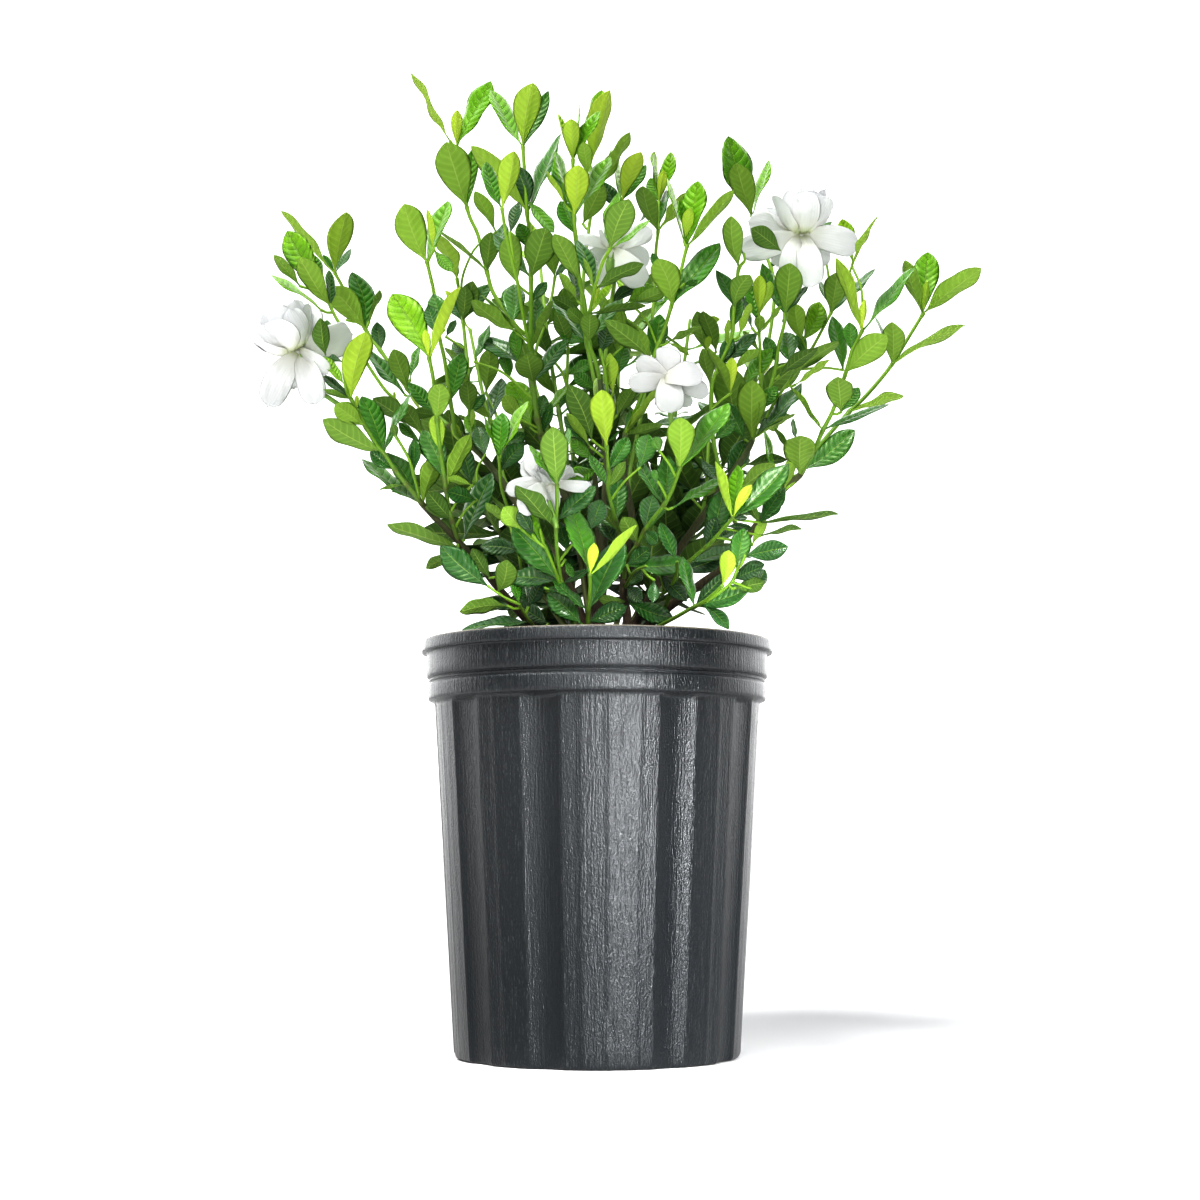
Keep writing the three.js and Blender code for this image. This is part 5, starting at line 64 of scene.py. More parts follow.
# node: (stems, leaves); leaf: [foot x y z, base x y z, tip x y z, upper face normal, width, tone, bow]
SHOOTS = {
    "leafy_shoot_01": ([
        [1.14,1.67,-102.2,42,646.4,-94.2,36.7,599.1,-86,34.2,578.2,-79.1,30.8,549.9,-75.4,29,536.2,-68.8,27.4,524.8,-58.6,25.1,509.6,-50.6,22.2,489.3,-46.8,18.8,465.3,-39.4,12,426.6],
        [0.76,0.95,-107.1,39.5,650.1,-104.8,40.8,647.2,-102.1,42,646.3],
        [0.76,0.95,-73,33.8,580.4,-78.7,33.6,574,-83.2,32.8,566.7],
    ], [
        [-107.1,39.5,650.1,-107.1,39.5,650.1,-134.2,19.6,693.9,0.81,0.14,0.56,24.9,3.5,0],
        [-102.2,42,646.4,-102.2,42,647.2,-101.5,29.9,670,-0.06,0.88,0.47,9.2,5,0],
        [-102.2,42,646.4,-100.7,42,647.2,-77.1,31.1,692.2,-0.65,-0.75,0.16,23.4,3,-2.1],
        [-94.2,36.7,599.1,-94.2,36.7,599.1,-108,12.3,640,-0.12,0.87,0.48,25.4,3,0],
        [-73,33.8,580.4,-73,33.8,580.4,-87.4,17.8,605.7,0.57,0.51,0.64,15.1,3,-1.4],
        [-79.3,30.8,550.6,-79.1,30.8,551.4,-75.2,8.4,572.8,0.01,0.69,0.72,14.2,1.9,0],
        [-79.3,30.8,550.6,-79.8,30.8,549.9,-115.8,9.6,576.8,0.59,0.03,0.81,22.5,2.7,-2.1],
        [-79.3,30.8,550.6,-77.7,30.8,550.7,-67.8,46.7,590.9,-0.65,-0.64,0.41,19.7,1.3,0],
        [-94.2,36.7,599.1,-94.2,36.7,599.1,-90.1,39.1,644.3,0.25,-0.93,0.25,10.5,2.4,0],
    ]),
    "leafy_shoot_02": ([
        [1.14,1.98,-51.7,-22,624.8,-48.9,-15.4,580.1,-47.5,-13.5,567.8,-46.2,-8.1,533.5,-46.2,-1.4,492.3,-45.6,2.3,471.7,-42.8,7.6,444.3,-39.4,12,426.6],
        [0.76,0.95,-55.2,-10.1,529.3,-50.7,-8.5,525.8,-46.2,-6.4,522.9],
        [0.76,0.95,-58.8,-4.7,502.9,-52.5,-3.5,498.5,-46.2,-1.5,493.4],
        [0.76,0.95,-55.9,-5.4,496.3,-51.1,-3.5,492.8,-46.2,-0.9,489.7],
        [0.76,0.95,-86.2,12.2,479.7,-65.6,7.8,470.6,-43.4,6.4,450.2],
        [0.76,0.95,-55.3,0.1,476.9,-50.6,1,473.5,-45.5,2.5,470.6],
        [0.76,0.95,-46.5,12.1,432.3,-43.4,11.5,429.6,-39.8,11.5,428.7],
        [0.76,0.95,-52.7,8.1,437.2,-46.9,9,434.3,-40.3,10.8,431.3],
    ], [
        [-51.7,-22,624.8,-53.8,-22,625.5,-74.6,-15.1,668.5,0.63,-0.66,0.41,21.5,3,0],
        [-51.7,-22,624.8,-51.7,-22,624,-43.8,-53.1,659.5,0.03,0.75,0.66,21.7,4,1.4],
        [-49,-15.5,580.9,-51.7,-15.5,581.5,-87.3,-32.2,622,0.55,0.49,0.68,25.4,3,-2.7],
        [-49,-15.5,580.9,-48.9,-15.5,580.1,-57.2,-21.2,612.1,0,-0.98,-0.18,15,0.5,2.1],
        [-48.9,-15.3,579.8,-45.4,-15.3,580.2,-25.1,-27.6,632.2,-0.82,-0.53,0.2,25.7,1.5,-2.7],
        [-46.2,-8.4,534.9,-46.9,-8.4,534.8,-73,-6.2,567.1,0.5,-0.74,0.45,18.6,1.2,-1.4],
        [-46.2,-8.4,534.9,-46.9,-8.4,534.8,-34.7,-48.8,558.7,0.19,0.54,0.82,22.1,2,0],
        [-55.2,-10.1,529.3,-55.2,-10.1,529.3,-59.5,-27.7,562.1,-0.07,0.88,0.47,16.5,2.1,2.7],
        [-58.8,-4.7,502.9,-58.8,-4.7,502.9,-59,14.3,536.6,0.05,-0.87,0.49,17.3,1.6,0],
        [-46.2,-5.7,518.4,-44.8,-5.7,518.4,-35,-7,532.3,0.1,-0.98,-0.16,7.7,1,0],
        [-46.2,-1.8,495,-42.7,-1.8,495,-41.7,6.1,524.3,-0.6,-0.77,0.23,13.6,1.6,0],
        [-55.9,-5.4,496.3,-55.9,-5.4,496.3,-86,-30.3,513.3,0.2,0.38,0.9,19.4,2.3,2.1],
        [-46.2,-1.3,491.6,-47.6,-1.3,491.6,-80.6,-16.7,520.5,0.65,0.04,0.76,21,2.6,-2.1],
        [-46,-0.1,485.3,-43.5,-0.1,485.4,-31.6,-31,513.2,-0.87,0.1,0.48,19.6,2.8,0],
        [-86.2,12.2,479.7,-86.2,12.2,479.7,-75.7,10.6,506,-0.75,-0.6,0.27,13,1.4,-2.1],
        [-55.3,0.1,476.9,-55.3,0.1,476.9,-83.5,15.5,497.2,-0.02,-0.81,0.59,16.7,1,2.1],
        [-46.5,12.1,432.3,-46.5,12.1,432.3,-62.8,27.4,468.8,-0.2,-0.93,0.3,18.9,3.3,2.8],
        [-52.7,8.1,437.2,-52.7,8.1,437.2,-64.5,-10.8,450.4,-0.38,0.68,0.63,11.6,2.9,0],
        [-44.7,4,462.8,-46.3,4,462.8,-47.8,-40,473.5,-0.14,0.24,0.96,20.3,1.5,0],
        [-44.7,4,462.8,-44.9,4,462.8,-21.4,2.5,494,-0.58,-0.7,0.41,17.4,0.9,-1.4],
        [-41.5,9.3,437.2,-40.1,9.3,437.5,-37.3,15.7,456.8,0.11,-0.95,0.3,10.2,1.5,0],
        [-39.4,12,426.6,-35.9,12,426.6,-32,10.4,449.5,-0.67,-0.74,0.06,10.4,1.2,0],
        [-49.5,-16.7,589,-49.5,-16.7,589,-30.2,-19.8,563.9,0.17,-0.82,0.54,12.3,2.3,0],
        [-51.7,-22,624.8,-51.7,-22,624.8,-34.1,-19,666.5,0.08,-0.87,0.48,10.5,1.8,0],
        [-61.2,7.5,466.5,-61.2,7.5,466.5,-66.1,11,485.6,0.28,-0.8,0.53,10.5,2.2,0],
        [-55.3,0.1,476.9,-55.3,0.1,476.9,-57.7,1.9,500.9,-0.22,-0.92,0.32,10.5,2.3,0],
        [-47,-11.3,554.1,-47,-11.3,554.1,-54.5,-17,571.7,-0.36,-0.87,0.35,10.5,2.1,0],
    ]),
    "leafy_shoot_03": ([
        [1.06,1.37,-63.5,-75,564,-61.3,-63.3,549.5,-57.7,-51.6,535.6,-54,-39.3,521.5,-51.7,-26.5,507.3,-46.3,0.1,484],
        [0.91,0.99,-59.6,-40,557.8,-56.8,-39.6,537.5,-54,-39.3,521.5],
    ], [
        [-63.5,-74.9,563.9,-62.9,-74.9,564,-74.5,-74.2,596.7,0.65,-0.72,0.25,15.5,2,-2],
        [-63.5,-74.9,563.9,-62.9,-74.9,564,-54.7,-99.5,595.8,-0.44,0.65,0.62,18.6,4,0],
        [-59.6,-40,557.8,-59.6,-40,557.8,-53.7,-36.4,580.8,-0.42,-0.87,0.24,10.7,0.5,0],
    ]),
    "leafy_shoot_04": ([
        [1.14,1.52,-115.5,-50,534.6,-111.2,-41.7,515.2,-109.6,-34.4,498.3,-107.8,-28.8,485.6,-104.8,-22.4,471.7,-101.9,-10.8,447.5,-100.1,-5.8,437.9,-98.4,1,425.9,-90.4,7.4,421.4],
        [0.76,0.95,-110.4,-54.7,541.6,-113.2,-52.9,537.3,-115.4,-49.8,534.2],
        [0.76,0.95,-94.6,8,418.7,-93,7.3,418.4,-90.4,7.4,421.4],
    ], [
        [-115.4,-49.8,534.1,-115.5,-49.8,533.3,-129.2,-74.5,567.6,-0.18,0.83,0.53,21.3,2.9,1.3],
        [-115.4,-49.8,534.1,-116.2,-49.8,534.7,-137.1,-54.5,563.3,0.74,-0.5,0.46,16,1,0],
        [-115.4,-49.8,534.1,-113.5,-49.8,534.7,-102.3,-40.3,580.3,-0.7,-0.65,0.31,21.3,2.8,-1.3],
        [-110.4,-54.7,541.6,-110.4,-54.7,541.6,-113.2,-81.4,562,0.88,0.23,0.42,12.2,4,0],
        [-94.6,8,418.7,-94.6,8,418.7,-100.7,-0.8,433.4,0.41,0.7,0.59,8.1,3.5,0],
        [-101.7,-10.1,446.1,-101.3,-10.1,446.2,-94.2,-10.4,481.1,-0.31,-0.95,0.05,15.8,1.9,0],
        [-110.4,-54.7,541.6,-110.4,-54.7,541.6,-98.2,-57.3,525.9,0.09,-0.84,0.54,10.5,2.5,0],
    ]),
    "leafy_shoot_05": ([
        [1.14,1.52,-102.3,55,551.4,-99.8,51.1,537.6,-97,45,516.8,-94.3,38.2,494.5,-92.4,32.7,477.1,-90,21,442.7,-88.1,15.1,427.2,-80.5,6.9,411.4],
        [0.76,0.91,-85.7,30,569.6,-90.8,32.7,563,-97.6,39,546.3,-98,47.8,526.4],
        [0.76,0.95,-108.5,35.8,503.5,-101.7,37.8,499.5,-94.3,38.3,494.8],
    ], [
        [-102.1,54.7,550.5,-102.3,54.7,551.3,-114.5,21.2,575.1,0.53,0.35,0.77,19.5,3.4,-2.2],
        [-102.1,54.7,550.5,-100.8,54.7,549.8,-109.6,52.1,576.8,0.83,-0.52,0.22,12.8,1.4,3.6],
        [-97.1,45.2,517.4,-96.3,45.2,516.8,-93.9,27,538.6,-0.03,0.77,0.64,12.9,1.4,0],
        [-97.1,45.2,517.4,-96.3,45.2,516.8,-89,28.3,542.6,0.01,0.84,0.54,14.3,1.8,0],
        [-97.1,45.2,517.4,-94.2,45.2,518.3,-76.9,44.5,544.8,-0.29,-0.94,0.17,14.2,1.2,-2.2],
        [-97.1,45.2,517.4,-97.8,45.2,518.3,-107.7,50.7,537.5,-0.17,-0.97,0.19,10,1,0],
        [-108.5,35.8,503.5,-108.5,35.8,503.5,-101.4,34.8,515.7,-0.27,-0.96,0.08,6.4,0.7,0],
        [-93.4,35.7,486.5,-92.6,35.7,486.6,-104.3,47,501.8,-0.4,-0.85,0.33,9.9,0.8,0],
        [-92.3,32.2,475.5,-91.6,32.2,475.6,-108.2,20.8,492,0.56,0.3,0.77,11.6,2.2,-2.1],
        [-90.1,21.5,444.3,-90,21.5,442.8,-91.1,1.3,464,-0.1,0.72,0.68,13.2,1.9,0],
        [-91.4,27.9,463.2,-93.4,27.9,463,-97,22.3,477,-0.1,0.93,0.35,6.7,2.4,0],
        [-90.1,21.5,444.3,-88.6,21.5,445.7,-79.9,25.2,459.4,0.26,-0.96,0.09,7.4,1,0],
        [-86.7,13.6,424.4,-88.7,13.6,423.3,-91.4,18.9,443.1,0,-0.97,0.25,8.7,3,0],
        [-88.6,16.8,431.7,-87.5,16.8,431.8,-87,7.5,444.9,0.83,0.46,0.3,7.2,3.3,0],
    ]),
    "leafy_shoot_06": ([
        [1.22,1.6,-110.2,-90,458.7,-108.5,-85.8,450.3,-107.4,-81.6,441.8,-106.1,-71.2,421.1,-104.6,-62.3,404,-101.4,-48.4,378.6,-99.8,-40.6,365.6,-94.6,-26.2,346.6],
        [0.76,0.95,-105,-91.4,473.8,-108,-91.8,466.4,-110.2,-90,458.7],
        [0.76,0.95,-100.7,-87.6,478.1,-106,-90.2,469.1,-110.2,-89.8,458.4],
        [0.76,0.95,-90.6,-25.3,347.4,-92.7,-26.2,345.5,-94.6,-26.2,346.6],
        [0.76,0.95,-84.1,-45.7,381.5,-92.5,-44.6,373.5,-99.3,-39.3,363.8],
        [0.76,0.95,-81.8,-38.3,372.8,-90,-37.3,364.3,-96.6,-31.9,354.1],
        [0.76,0.95,-94.5,-26.6,341.7,-94.7,-26.9,342.7,-94.6,-26.2,346.6],
        [0.76,0.95,-93.1,-27.1,336.1,-94.2,-27.6,340.6,-94.6,-26.2,346.6],
    ], [
        [-110.2,-90,458.7,-111.5,-90,459.4,-135.6,-83.8,503.4,-0.09,-0.99,0.09,23.3,3.4,1.3],
        [-110.2,-90,458.7,-110.2,-90,459.4,-112.3,-99.6,475.4,0.3,0.8,0.52,6.7,4.8,0],
        [-110.2,-90,458.7,-108.9,-90,459.4,-88.6,-109.7,501.4,-0.85,0.18,0.49,22.8,4.2,2.6],
        [-105,-91.4,473.8,-105,-91.4,473.8,-111.8,-86,494.9,-0.07,-0.97,0.22,10.1,0.9,0],
        [-100.7,-87.6,478.1,-100.7,-87.6,478.1,-108.7,-81.7,503.9,-0.06,-0.98,0.2,12.4,1.5,0],
        [-106.1,-71.2,421.1,-106.1,-71.2,421.1,-102,-99.3,439.1,0.01,0.54,0.84,15.1,2.9,0],
        [-101.4,-48.4,378.6,-101.4,-48.4,378.6,-85.4,-59.7,412.3,-0.7,0.51,0.5,17.5,3.5,1.3],
        [-104.2,-60.7,401,-100.7,-60.7,401.6,-107.7,-70.4,423.9,0.26,0.85,0.45,11.3,3.6,0],
        [-90.6,-25.3,347.4,-90.6,-25.3,347.4,-73.3,-18.8,392.7,-0.6,-0.73,0.33,21.6,1.4,-1.4],
        [-84.1,-45.7,381.5,-84.1,-45.7,382.5,-91.6,-43.7,409.5,0.42,-0.89,0.18,12.4,0.9,0],
        [-102.2,-51.7,384.6,-105.2,-51.7,384.2,-117.7,-43.1,418.7,-0.06,-0.97,0.22,16.6,1.7,2],
        [-84.1,-45.7,381.5,-84.1,-45.7,380.5,-99.2,-51.9,385.8,0.05,0.58,0.81,7.7,2.8,0],
        [-81.8,-38.3,372.8,-81.8,-38.3,372.8,-99,-56.3,375.5,0.66,-0.68,-0.31,11.2,1.6,0],
        [-98.2,-36.1,359.6,-100.1,-36.1,359.5,-112.2,-57,374,-0.43,0.67,0.61,12.6,1.3,0],
        [-98.2,-36.1,359.6,-99.4,-36.1,358.8,-114.4,-45.6,366.6,0.07,0.57,0.82,8.6,2,0],
        [-94.5,-26.6,341.7,-94.5,-26.6,341.7,-137.9,-44.7,354.1,0.15,0.29,0.95,21.8,2.2,-4.1],
        [-93.1,-27.1,336.1,-93.1,-27.1,336.1,-114.8,-22,328.9,-0.15,0.54,0.83,10.4,2,-2.7],
    ]),
    "leafy_shoot_07": ([
        [1.14,1.67,-190.8,50,554.5,-186,47.7,545.7,-177.3,43.2,528.9,-165.5,37.2,507.5,-155.5,32.7,493.2,-146.3,28.4,479.8,-136.5,23.7,465.7,-130.5,20.8,457.8,-116.4,14.6,444.3,-103.8,8,432.9],
        [0.76,0.95,-164.3,38.4,515.1,-165.9,38.3,511.2,-166.7,37.8,509.7],
        [0.76,0.95,-180.4,40.5,517.1,-176,40.4,515.8,-170.1,39.5,515.8],
        [0.76,0.95,-136.2,21.2,457.9,-134,21.3,456.8,-131,21,458.5],
        [0.76,0.95,-132.9,23,469.2,-134.4,23.2,465,-134.8,22.8,463.5],
    ], [
        [-190.8,50,554.5,-190,50,554.5,-179.4,17.6,590.2,-0.68,0.43,0.59,22.5,3.3,1.4],
        [-190.8,50,554.5,-192.2,50,555.2,-228,31.4,595.2,0.67,0.24,0.71,25.6,3.3,1.4],
        [-190.8,50,554.5,-187.9,50,555.2,-180.2,57.1,574.5,-0.5,-0.73,0.47,9.8,1,0],
        [-190.8,50,554.5,-194.4,50,556.7,-199.8,51,568.2,-0.03,-1,0.07,5.7,2,0],
        [-166.2,37.6,508.8,-165.5,37.6,507.6,-191,19.4,535.8,-0.23,0.9,0.37,19.1,2.6,-2.1],
        [-166.2,37.6,508.8,-164.9,37.6,511.2,-176.9,37.6,551.8,0.37,-0.92,0.11,18.9,1.8,3.5],
        [-164.3,38.4,515.1,-164.3,38.4,515.1,-154.9,22.1,534.4,-0.83,0.15,0.54,12.2,2,0],
        [-180.4,40.5,517.1,-180.4,40.5,517.1,-175.7,42.1,530.1,-0.7,-0.63,0.33,6.2,1,0],
        [-154.8,32.4,492.2,-155.5,32.4,491.7,-158.4,37,514.8,0.06,-0.98,0.2,10.6,0.8,0],
        [-136.2,21.2,457.9,-136.2,21.2,457.9,-162.6,21,490.6,0.62,-0.6,0.5,18.6,1.5,0],
        [-134.2,22.6,462.7,-133.5,22.6,463.3,-142.9,1.8,486.5,-0.24,0.77,0.59,14.7,2.3,0],
        [-132.9,23,469.2,-132.9,23,469.2,-127.6,28,494,-0.73,-0.62,0.28,11.4,2,0],
        [-113.6,13.2,441.8,-116.2,13.2,439.7,-133.3,10.3,464.6,0.56,-0.78,0.29,13.5,1.7,1.4],
        [-113.6,13.2,441.8,-115.5,13.2,438.3,-128.4,-1.2,441.2,-0.65,0.66,0.39,8.7,1.2,0],
    ]),
    "leafy_shoot_08": ([
        [1.06,1.67,-156.9,-30,467.8,-153.5,-29,462.5,-145.4,-26.9,451.1,-137.9,-25.3,443.7,-128.4,-22.8,431,-119.6,-20.7,421.6,-102.5,-16.9,405.6,-79.3,-11.6,384.2,-58.7,-6.9,367.5,-36,-0.6,345.4,-25.7,3.5,333.3],
        [1.06,1.22,-192,-20,523.1,-185.4,-21.5,513.5,-181,-23,504,-170,-26,486.3,-156.9,-30,467.8],
        [0.76,0.95,-205.6,-22,525.4,-200,-20.7,524,-192,-20,523.1],
        [0.76,0.95,-190.8,-21.8,508.5,-187.1,-22,506.7,-182.2,-22.6,506.6],
        [0.76,0.95,-189.2,-30.2,475.5,-178.6,-28.4,477.4,-163.6,-27.9,477.2],
        [0.76,0.95,-77.7,-5.2,409.8,-82.8,-9.4,399,-82.6,-12.4,387.2],
        [0.76,0.95,-121.6,-20.3,415.4,-119.1,-20.2,415.2,-115.2,-19.8,417.5],
    ], [
        [-192,-20,523.1,-190.7,-20,526.7,-215.4,-21.3,564.8,-0.01,-1,-0.04,20.3,3,0],
        [-205.6,-22,525.4,-205.6,-22,525.4,-221.8,-35.7,543.6,0.36,0.56,0.75,12.6,2.5,0],
        [-184.1,-21.9,510.7,-183.9,-21.9,509.9,-204.3,-38,541.5,0.17,0.83,0.53,18.5,2.6,0],
        [-190.8,-21.8,508.5,-190.8,-21.8,508.5,-226,-20.9,533.5,0.53,-0.37,0.76,19.3,3.2,0],
        [-192,-20,523.1,-188.5,-20,523.1,-197.2,-15.3,549.3,0.61,-0.72,0.33,12.5,2.3,0],
        [-184.1,-21.9,510.7,-183.3,-21.9,512,-185.7,-22.2,536.7,0.8,-0.59,0.07,11.1,1,0],
        [-189.2,-30.2,475.5,-189.2,-30.2,475.5,-186.6,-21.7,501.5,0.21,-0.94,0.29,12.3,1.8,2],
        [-125.5,-22.1,427.8,-125.7,-22.1,427.6,-153.1,-30.6,444.2,0.26,0.61,0.75,17.7,1.3,0],
        [-138.3,-25.3,444.1,-137.9,-25.3,444.4,-139.2,-27.5,449.8,-0.13,0.93,0.34,2.1,4,0],
        [-77.7,-5.2,409.8,-77.7,-5.2,409.8,-83.9,11.3,433.1,-0.14,-0.82,0.55,12.9,1.1,0],
        [-119.9,-20.8,421.9,-120.3,-20.8,421.6,-133.2,-31.4,440.6,-0.2,0.91,0.37,11.3,1.6,0],
        [-121.6,-20.3,415.4,-121.6,-20.3,415.4,-136.2,-20.7,429.3,0.39,-0.84,0.38,8.9,2.3,0],
    ]),
    "leafy_shoot_09": ([
        [1.14,1.67,-165.9,-50,439.8,-162.6,-48.8,433.9,-155.9,-46.1,420.8,-148,-43.3,408.3,-143.3,-41.9,403,-136.7,-39.5,393.2,-126.7,-36,380.7,-117.5,-32,369.7],
        [0.91,1.06,-136.1,-62,414.9,-126.8,-52,399.8,-123.3,-44.6,388.2,-120.1,-33.3,373.6],
        [0.76,0.95,-169.4,-54.9,448.4,-168.4,-52.7,443.5,-165.9,-50,439.8],
        [0.76,0.95,-171.8,-48.2,465.7,-170.8,-49.8,454.2,-165.9,-50,439.8],
    ], [
        [-165.9,-50,439.8,-165.9,-50,439.8,-153.7,-74.5,480.1,-0.47,0.69,0.56,21.9,3.7,2],
        [-169.4,-54.9,448.4,-169.4,-54.9,448.4,-184.3,-51.4,468.7,0.52,-0.69,0.5,11.2,3.2,0],
        [-171.8,-48.2,465.7,-171.8,-48.2,465.7,-187.2,-45.8,472.1,0.09,-0.84,0.54,7.5,0.6,0],
        [-165.9,-50,439.8,-167.2,-50,441.9,-186.6,-50.6,457,0.45,-0.71,0.55,10.8,0.9,0],
        [-165.9,-50,439.8,-167.2,-50,441.2,-183.2,-58.7,444.4,0.03,0.29,0.96,8.2,1.8,0],
        [-156.5,-46.3,421.8,-155.9,-46.3,422.1,-173.7,-69.7,431.6,-0.59,0.65,0.49,13.8,2.8,0],
        [-144.2,-42.1,404,-144.7,-42.1,403,-182.9,-56.2,424,0.18,0.63,0.75,20.5,2.2,2],
        [-144.2,-42.1,404,-144,-42.1,406.4,-159.5,-40.7,443,0.45,-0.86,0.23,17.6,1.9,2],
        [-144.2,-42.1,404,-142.6,-42.1,403.7,-125.5,-47,444.5,-0.84,-0.45,0.3,21.1,1.7,-1.4],
        [-162,-48.6,432.9,-159.9,-48.6,434,-161.3,-54.8,441.3,-0.21,0.76,0.61,3.4,4,0],
        [-118.3,-32.3,370.7,-118.1,-32.3,371,-160.4,-15,403.9,0.4,-0.5,0.77,23.4,2.6,0],
        [-118.3,-32.3,370.7,-119.5,-32.3,371.7,-142.1,-31,405.2,0.56,-0.72,0.41,17.9,2,1.4],
        [-129.4,-36.9,384.1,-132.1,-36.9,382,-146.6,-34.8,380.7,-0.03,0.26,0.96,6.6,2,0],
        [-118.3,-32.3,370.7,-116.7,-32.3,369.7,-107,-42.2,401.8,-0.65,0.65,0.4,15.7,3.4,2],
        [-123.3,-44.6,388.2,-123.3,-44.6,388.2,-123.7,-43.2,413.6,0.88,-0.48,0.04,11.3,1,-1.3],
        [-133.8,-59.5,411.1,-133.6,-59.5,411.3,-135.6,-69.4,418.6,-0.26,0.61,0.75,5.5,1.3,0],
        [-136.7,-39.5,393.2,-136.7,-39.5,393.2,-152.6,-44.6,404.2,0.27,-0.95,0.17,10.5,1.5,0],
        [-124,-46.1,390.5,-124,-46.1,390.5,-122.3,-50.6,411.5,-0.34,-0.82,0.47,10.5,1.6,0],
    ]),
    "leafy_shoot_10": ([
        [1.14,1.67,-16.3,-60,602.8,-16.3,-55.4,586.8,-15.7,-49.7,567.5,-13,-39.9,535.3,-11.6,-36.2,523.7,-8.9,-32.5,512.8,-7.6,-29.2,503.1,-5.5,-22.8,484.9,-1.4,-18.3,474,2.1,-12,461.4],
        [0.76,0.95,-6.1,-55.2,593.9,-11.2,-55.6,589.4,-16.2,-54.9,585.2],
        [0.76,0.95,-20.4,-50.4,573.3,-18.1,-50.6,570.3,-15.7,-50.3,569.7],
        [0.76,0.95,-13.1,-30.7,512.2,-10.9,-31.3,509.5,-8.4,-31.3,509.2],
    ], [
        [-16.3,-60,602.8,-16.3,-60,602.8,-17.3,-87.6,621.8,-0.04,0.57,0.82,15.2,4,0],
        [-16.3,-60,602.8,-14.9,-60,602.8,2.1,-62.2,636.4,-0.65,-0.71,0.28,16.9,3,-2],
        [-16.3,-60,602.8,-17.6,-60,604.2,-26.5,-58.8,635.5,0.9,-0.35,0.27,14.6,4,0],
        [-16.3,-60,602.8,-14.2,-60,604.2,-12.3,-53.5,644.5,-0.99,-0.14,0.07,18.2,2.5,0],
        [-6.1,-55.2,593.9,-6.1,-55.2,593.9,-9.4,-69.7,612.1,-0.06,0.79,0.62,10.6,2.5,0],
        [-15.6,-49.6,567.1,-15.7,-49.6,567.6,-12.6,-82.6,591.8,0.04,0.59,0.8,18.7,4,0],
        [-15.6,-49.6,567.1,-14.3,-49.6,566.9,8.9,-42.1,610.9,-0.64,-0.63,0.44,22.4,3,0],
        [-15.6,-49.6,567.1,-17.7,-49.6,566.9,-28.5,-61.1,608.7,0.93,-0.33,0.15,20.8,3,0],
        [-20.4,-50.4,573.3,-21.8,-50.4,572.2,-33.7,-68.9,592.2,0.78,0.16,0.61,13.4,3.5,0],
        [-20.4,-50.4,573.3,-19.1,-50.4,574.3,-27.5,-42.3,608.7,0.51,-0.8,0.31,16.2,1.8,0],
        [-11.7,-36.2,523.8,-12.3,-36.2,523.7,-29.2,-53,553.3,0.41,0.67,0.61,17.2,2.5,-1.4],
        [-13.1,-30.7,512.2,-13.7,-30.7,511.1,-25.3,-42.6,529,0.59,0.44,0.67,11,2.4,0],
        [-13.1,-30.7,512.2,-12.4,-30.7,513.2,-18,-26.5,540.5,0.82,-0.52,0.25,12.6,0.7,0],
        [-6.8,-26.8,496,-7.6,-26.8,496,-19.8,-42.1,504,-0.45,0.67,0.6,9.6,1.4,0],
        [-5.6,-23,485.4,-4.8,-23,484.9,-4.7,-51.7,498.3,0,0.42,0.91,14.2,2,0],
        [-5.6,-23,485.4,-2.8,-23,486.3,17.3,-18.9,517,-0.53,-0.72,0.44,16.5,1.8,-2.1],
        [-14.6,-45.8,554.6,-14.6,-45.8,554.6,-25.1,-49.6,577.3,-0.09,-0.97,0.24,13.1,1.8,0],
    ]),
    "leafy_shoot_11": ([
        [1.06,1.22,8.6,-95,530.7,4,-84.6,524.9,0.1,-70.7,516.4,-2,-61.3,510.7,-4.7,-46.2,502.2,-6.2,-25.8,493.4],
    ], [
        [8.6,-95,530.7,8.6,-95,530.7,20.7,-128.6,554.1,0.22,0.61,0.76,19.4,1.7,1.3],
        [8.6,-95,530.7,6.7,-95,532.8,14.6,-93.6,569.8,-0.7,-0.69,0.18,16.9,2.4,-2.6],
        [8.6,-95,530.7,10,-95,532.1,35,-97.5,549.6,-0.51,-0.58,0.64,13.8,3,0],
        [-1.7,-62.7,511.6,-0.6,-62.7,510.3,-13.5,-58.7,547.4,0.65,-0.7,0.3,17.6,1.2,2.7],
        [-1.7,-62.7,511.6,-2,-62.7,510.3,-9.3,-71.4,531.3,0.87,0.27,0.42,10.8,2.8,0],
        [-1.7,-62.7,511.6,2.1,-62.7,513.1,31.5,-69.7,527.7,-0.32,0.41,0.85,15.2,1.3,2.7],
        [-5,-42.6,500.7,0,-42.6,499,33.6,-35.7,507.7,-0.27,0.09,0.96,16.3,1.3,0],
        [-5,-42.6,500.7,-3.4,-42.6,501.8,10.3,-40.3,521.9,-0.58,-0.67,0.47,11,4,0],
        [-4.9,-44.3,501.4,-4.1,-44.3,501.3,2.1,-58.4,517,-0.61,0.46,0.65,8,4.2,0],
    ]),
    "leafy_shoot_12": ([
        [1.14,1.52,-6.8,70,652.1,-5.3,66.5,638.7,-3.8,59.4,612.1,-6.7,51.4,583.3,-9.5,43.2,554.9,-10.9,33.7,522.8,-6.5,23.6,491,0.7,10,451.9,6.2,-8.4,409.3],
        [0.76,0.95,-10.4,54.7,592.6,-8.2,53.9,589.1,-6.3,52.6,587.7],
    ], [
        [-5.3,66.5,638.7,-5.3,66.5,638.7,9.4,46.3,691,-0.67,0.61,0.42,26.2,4.3,2.2],
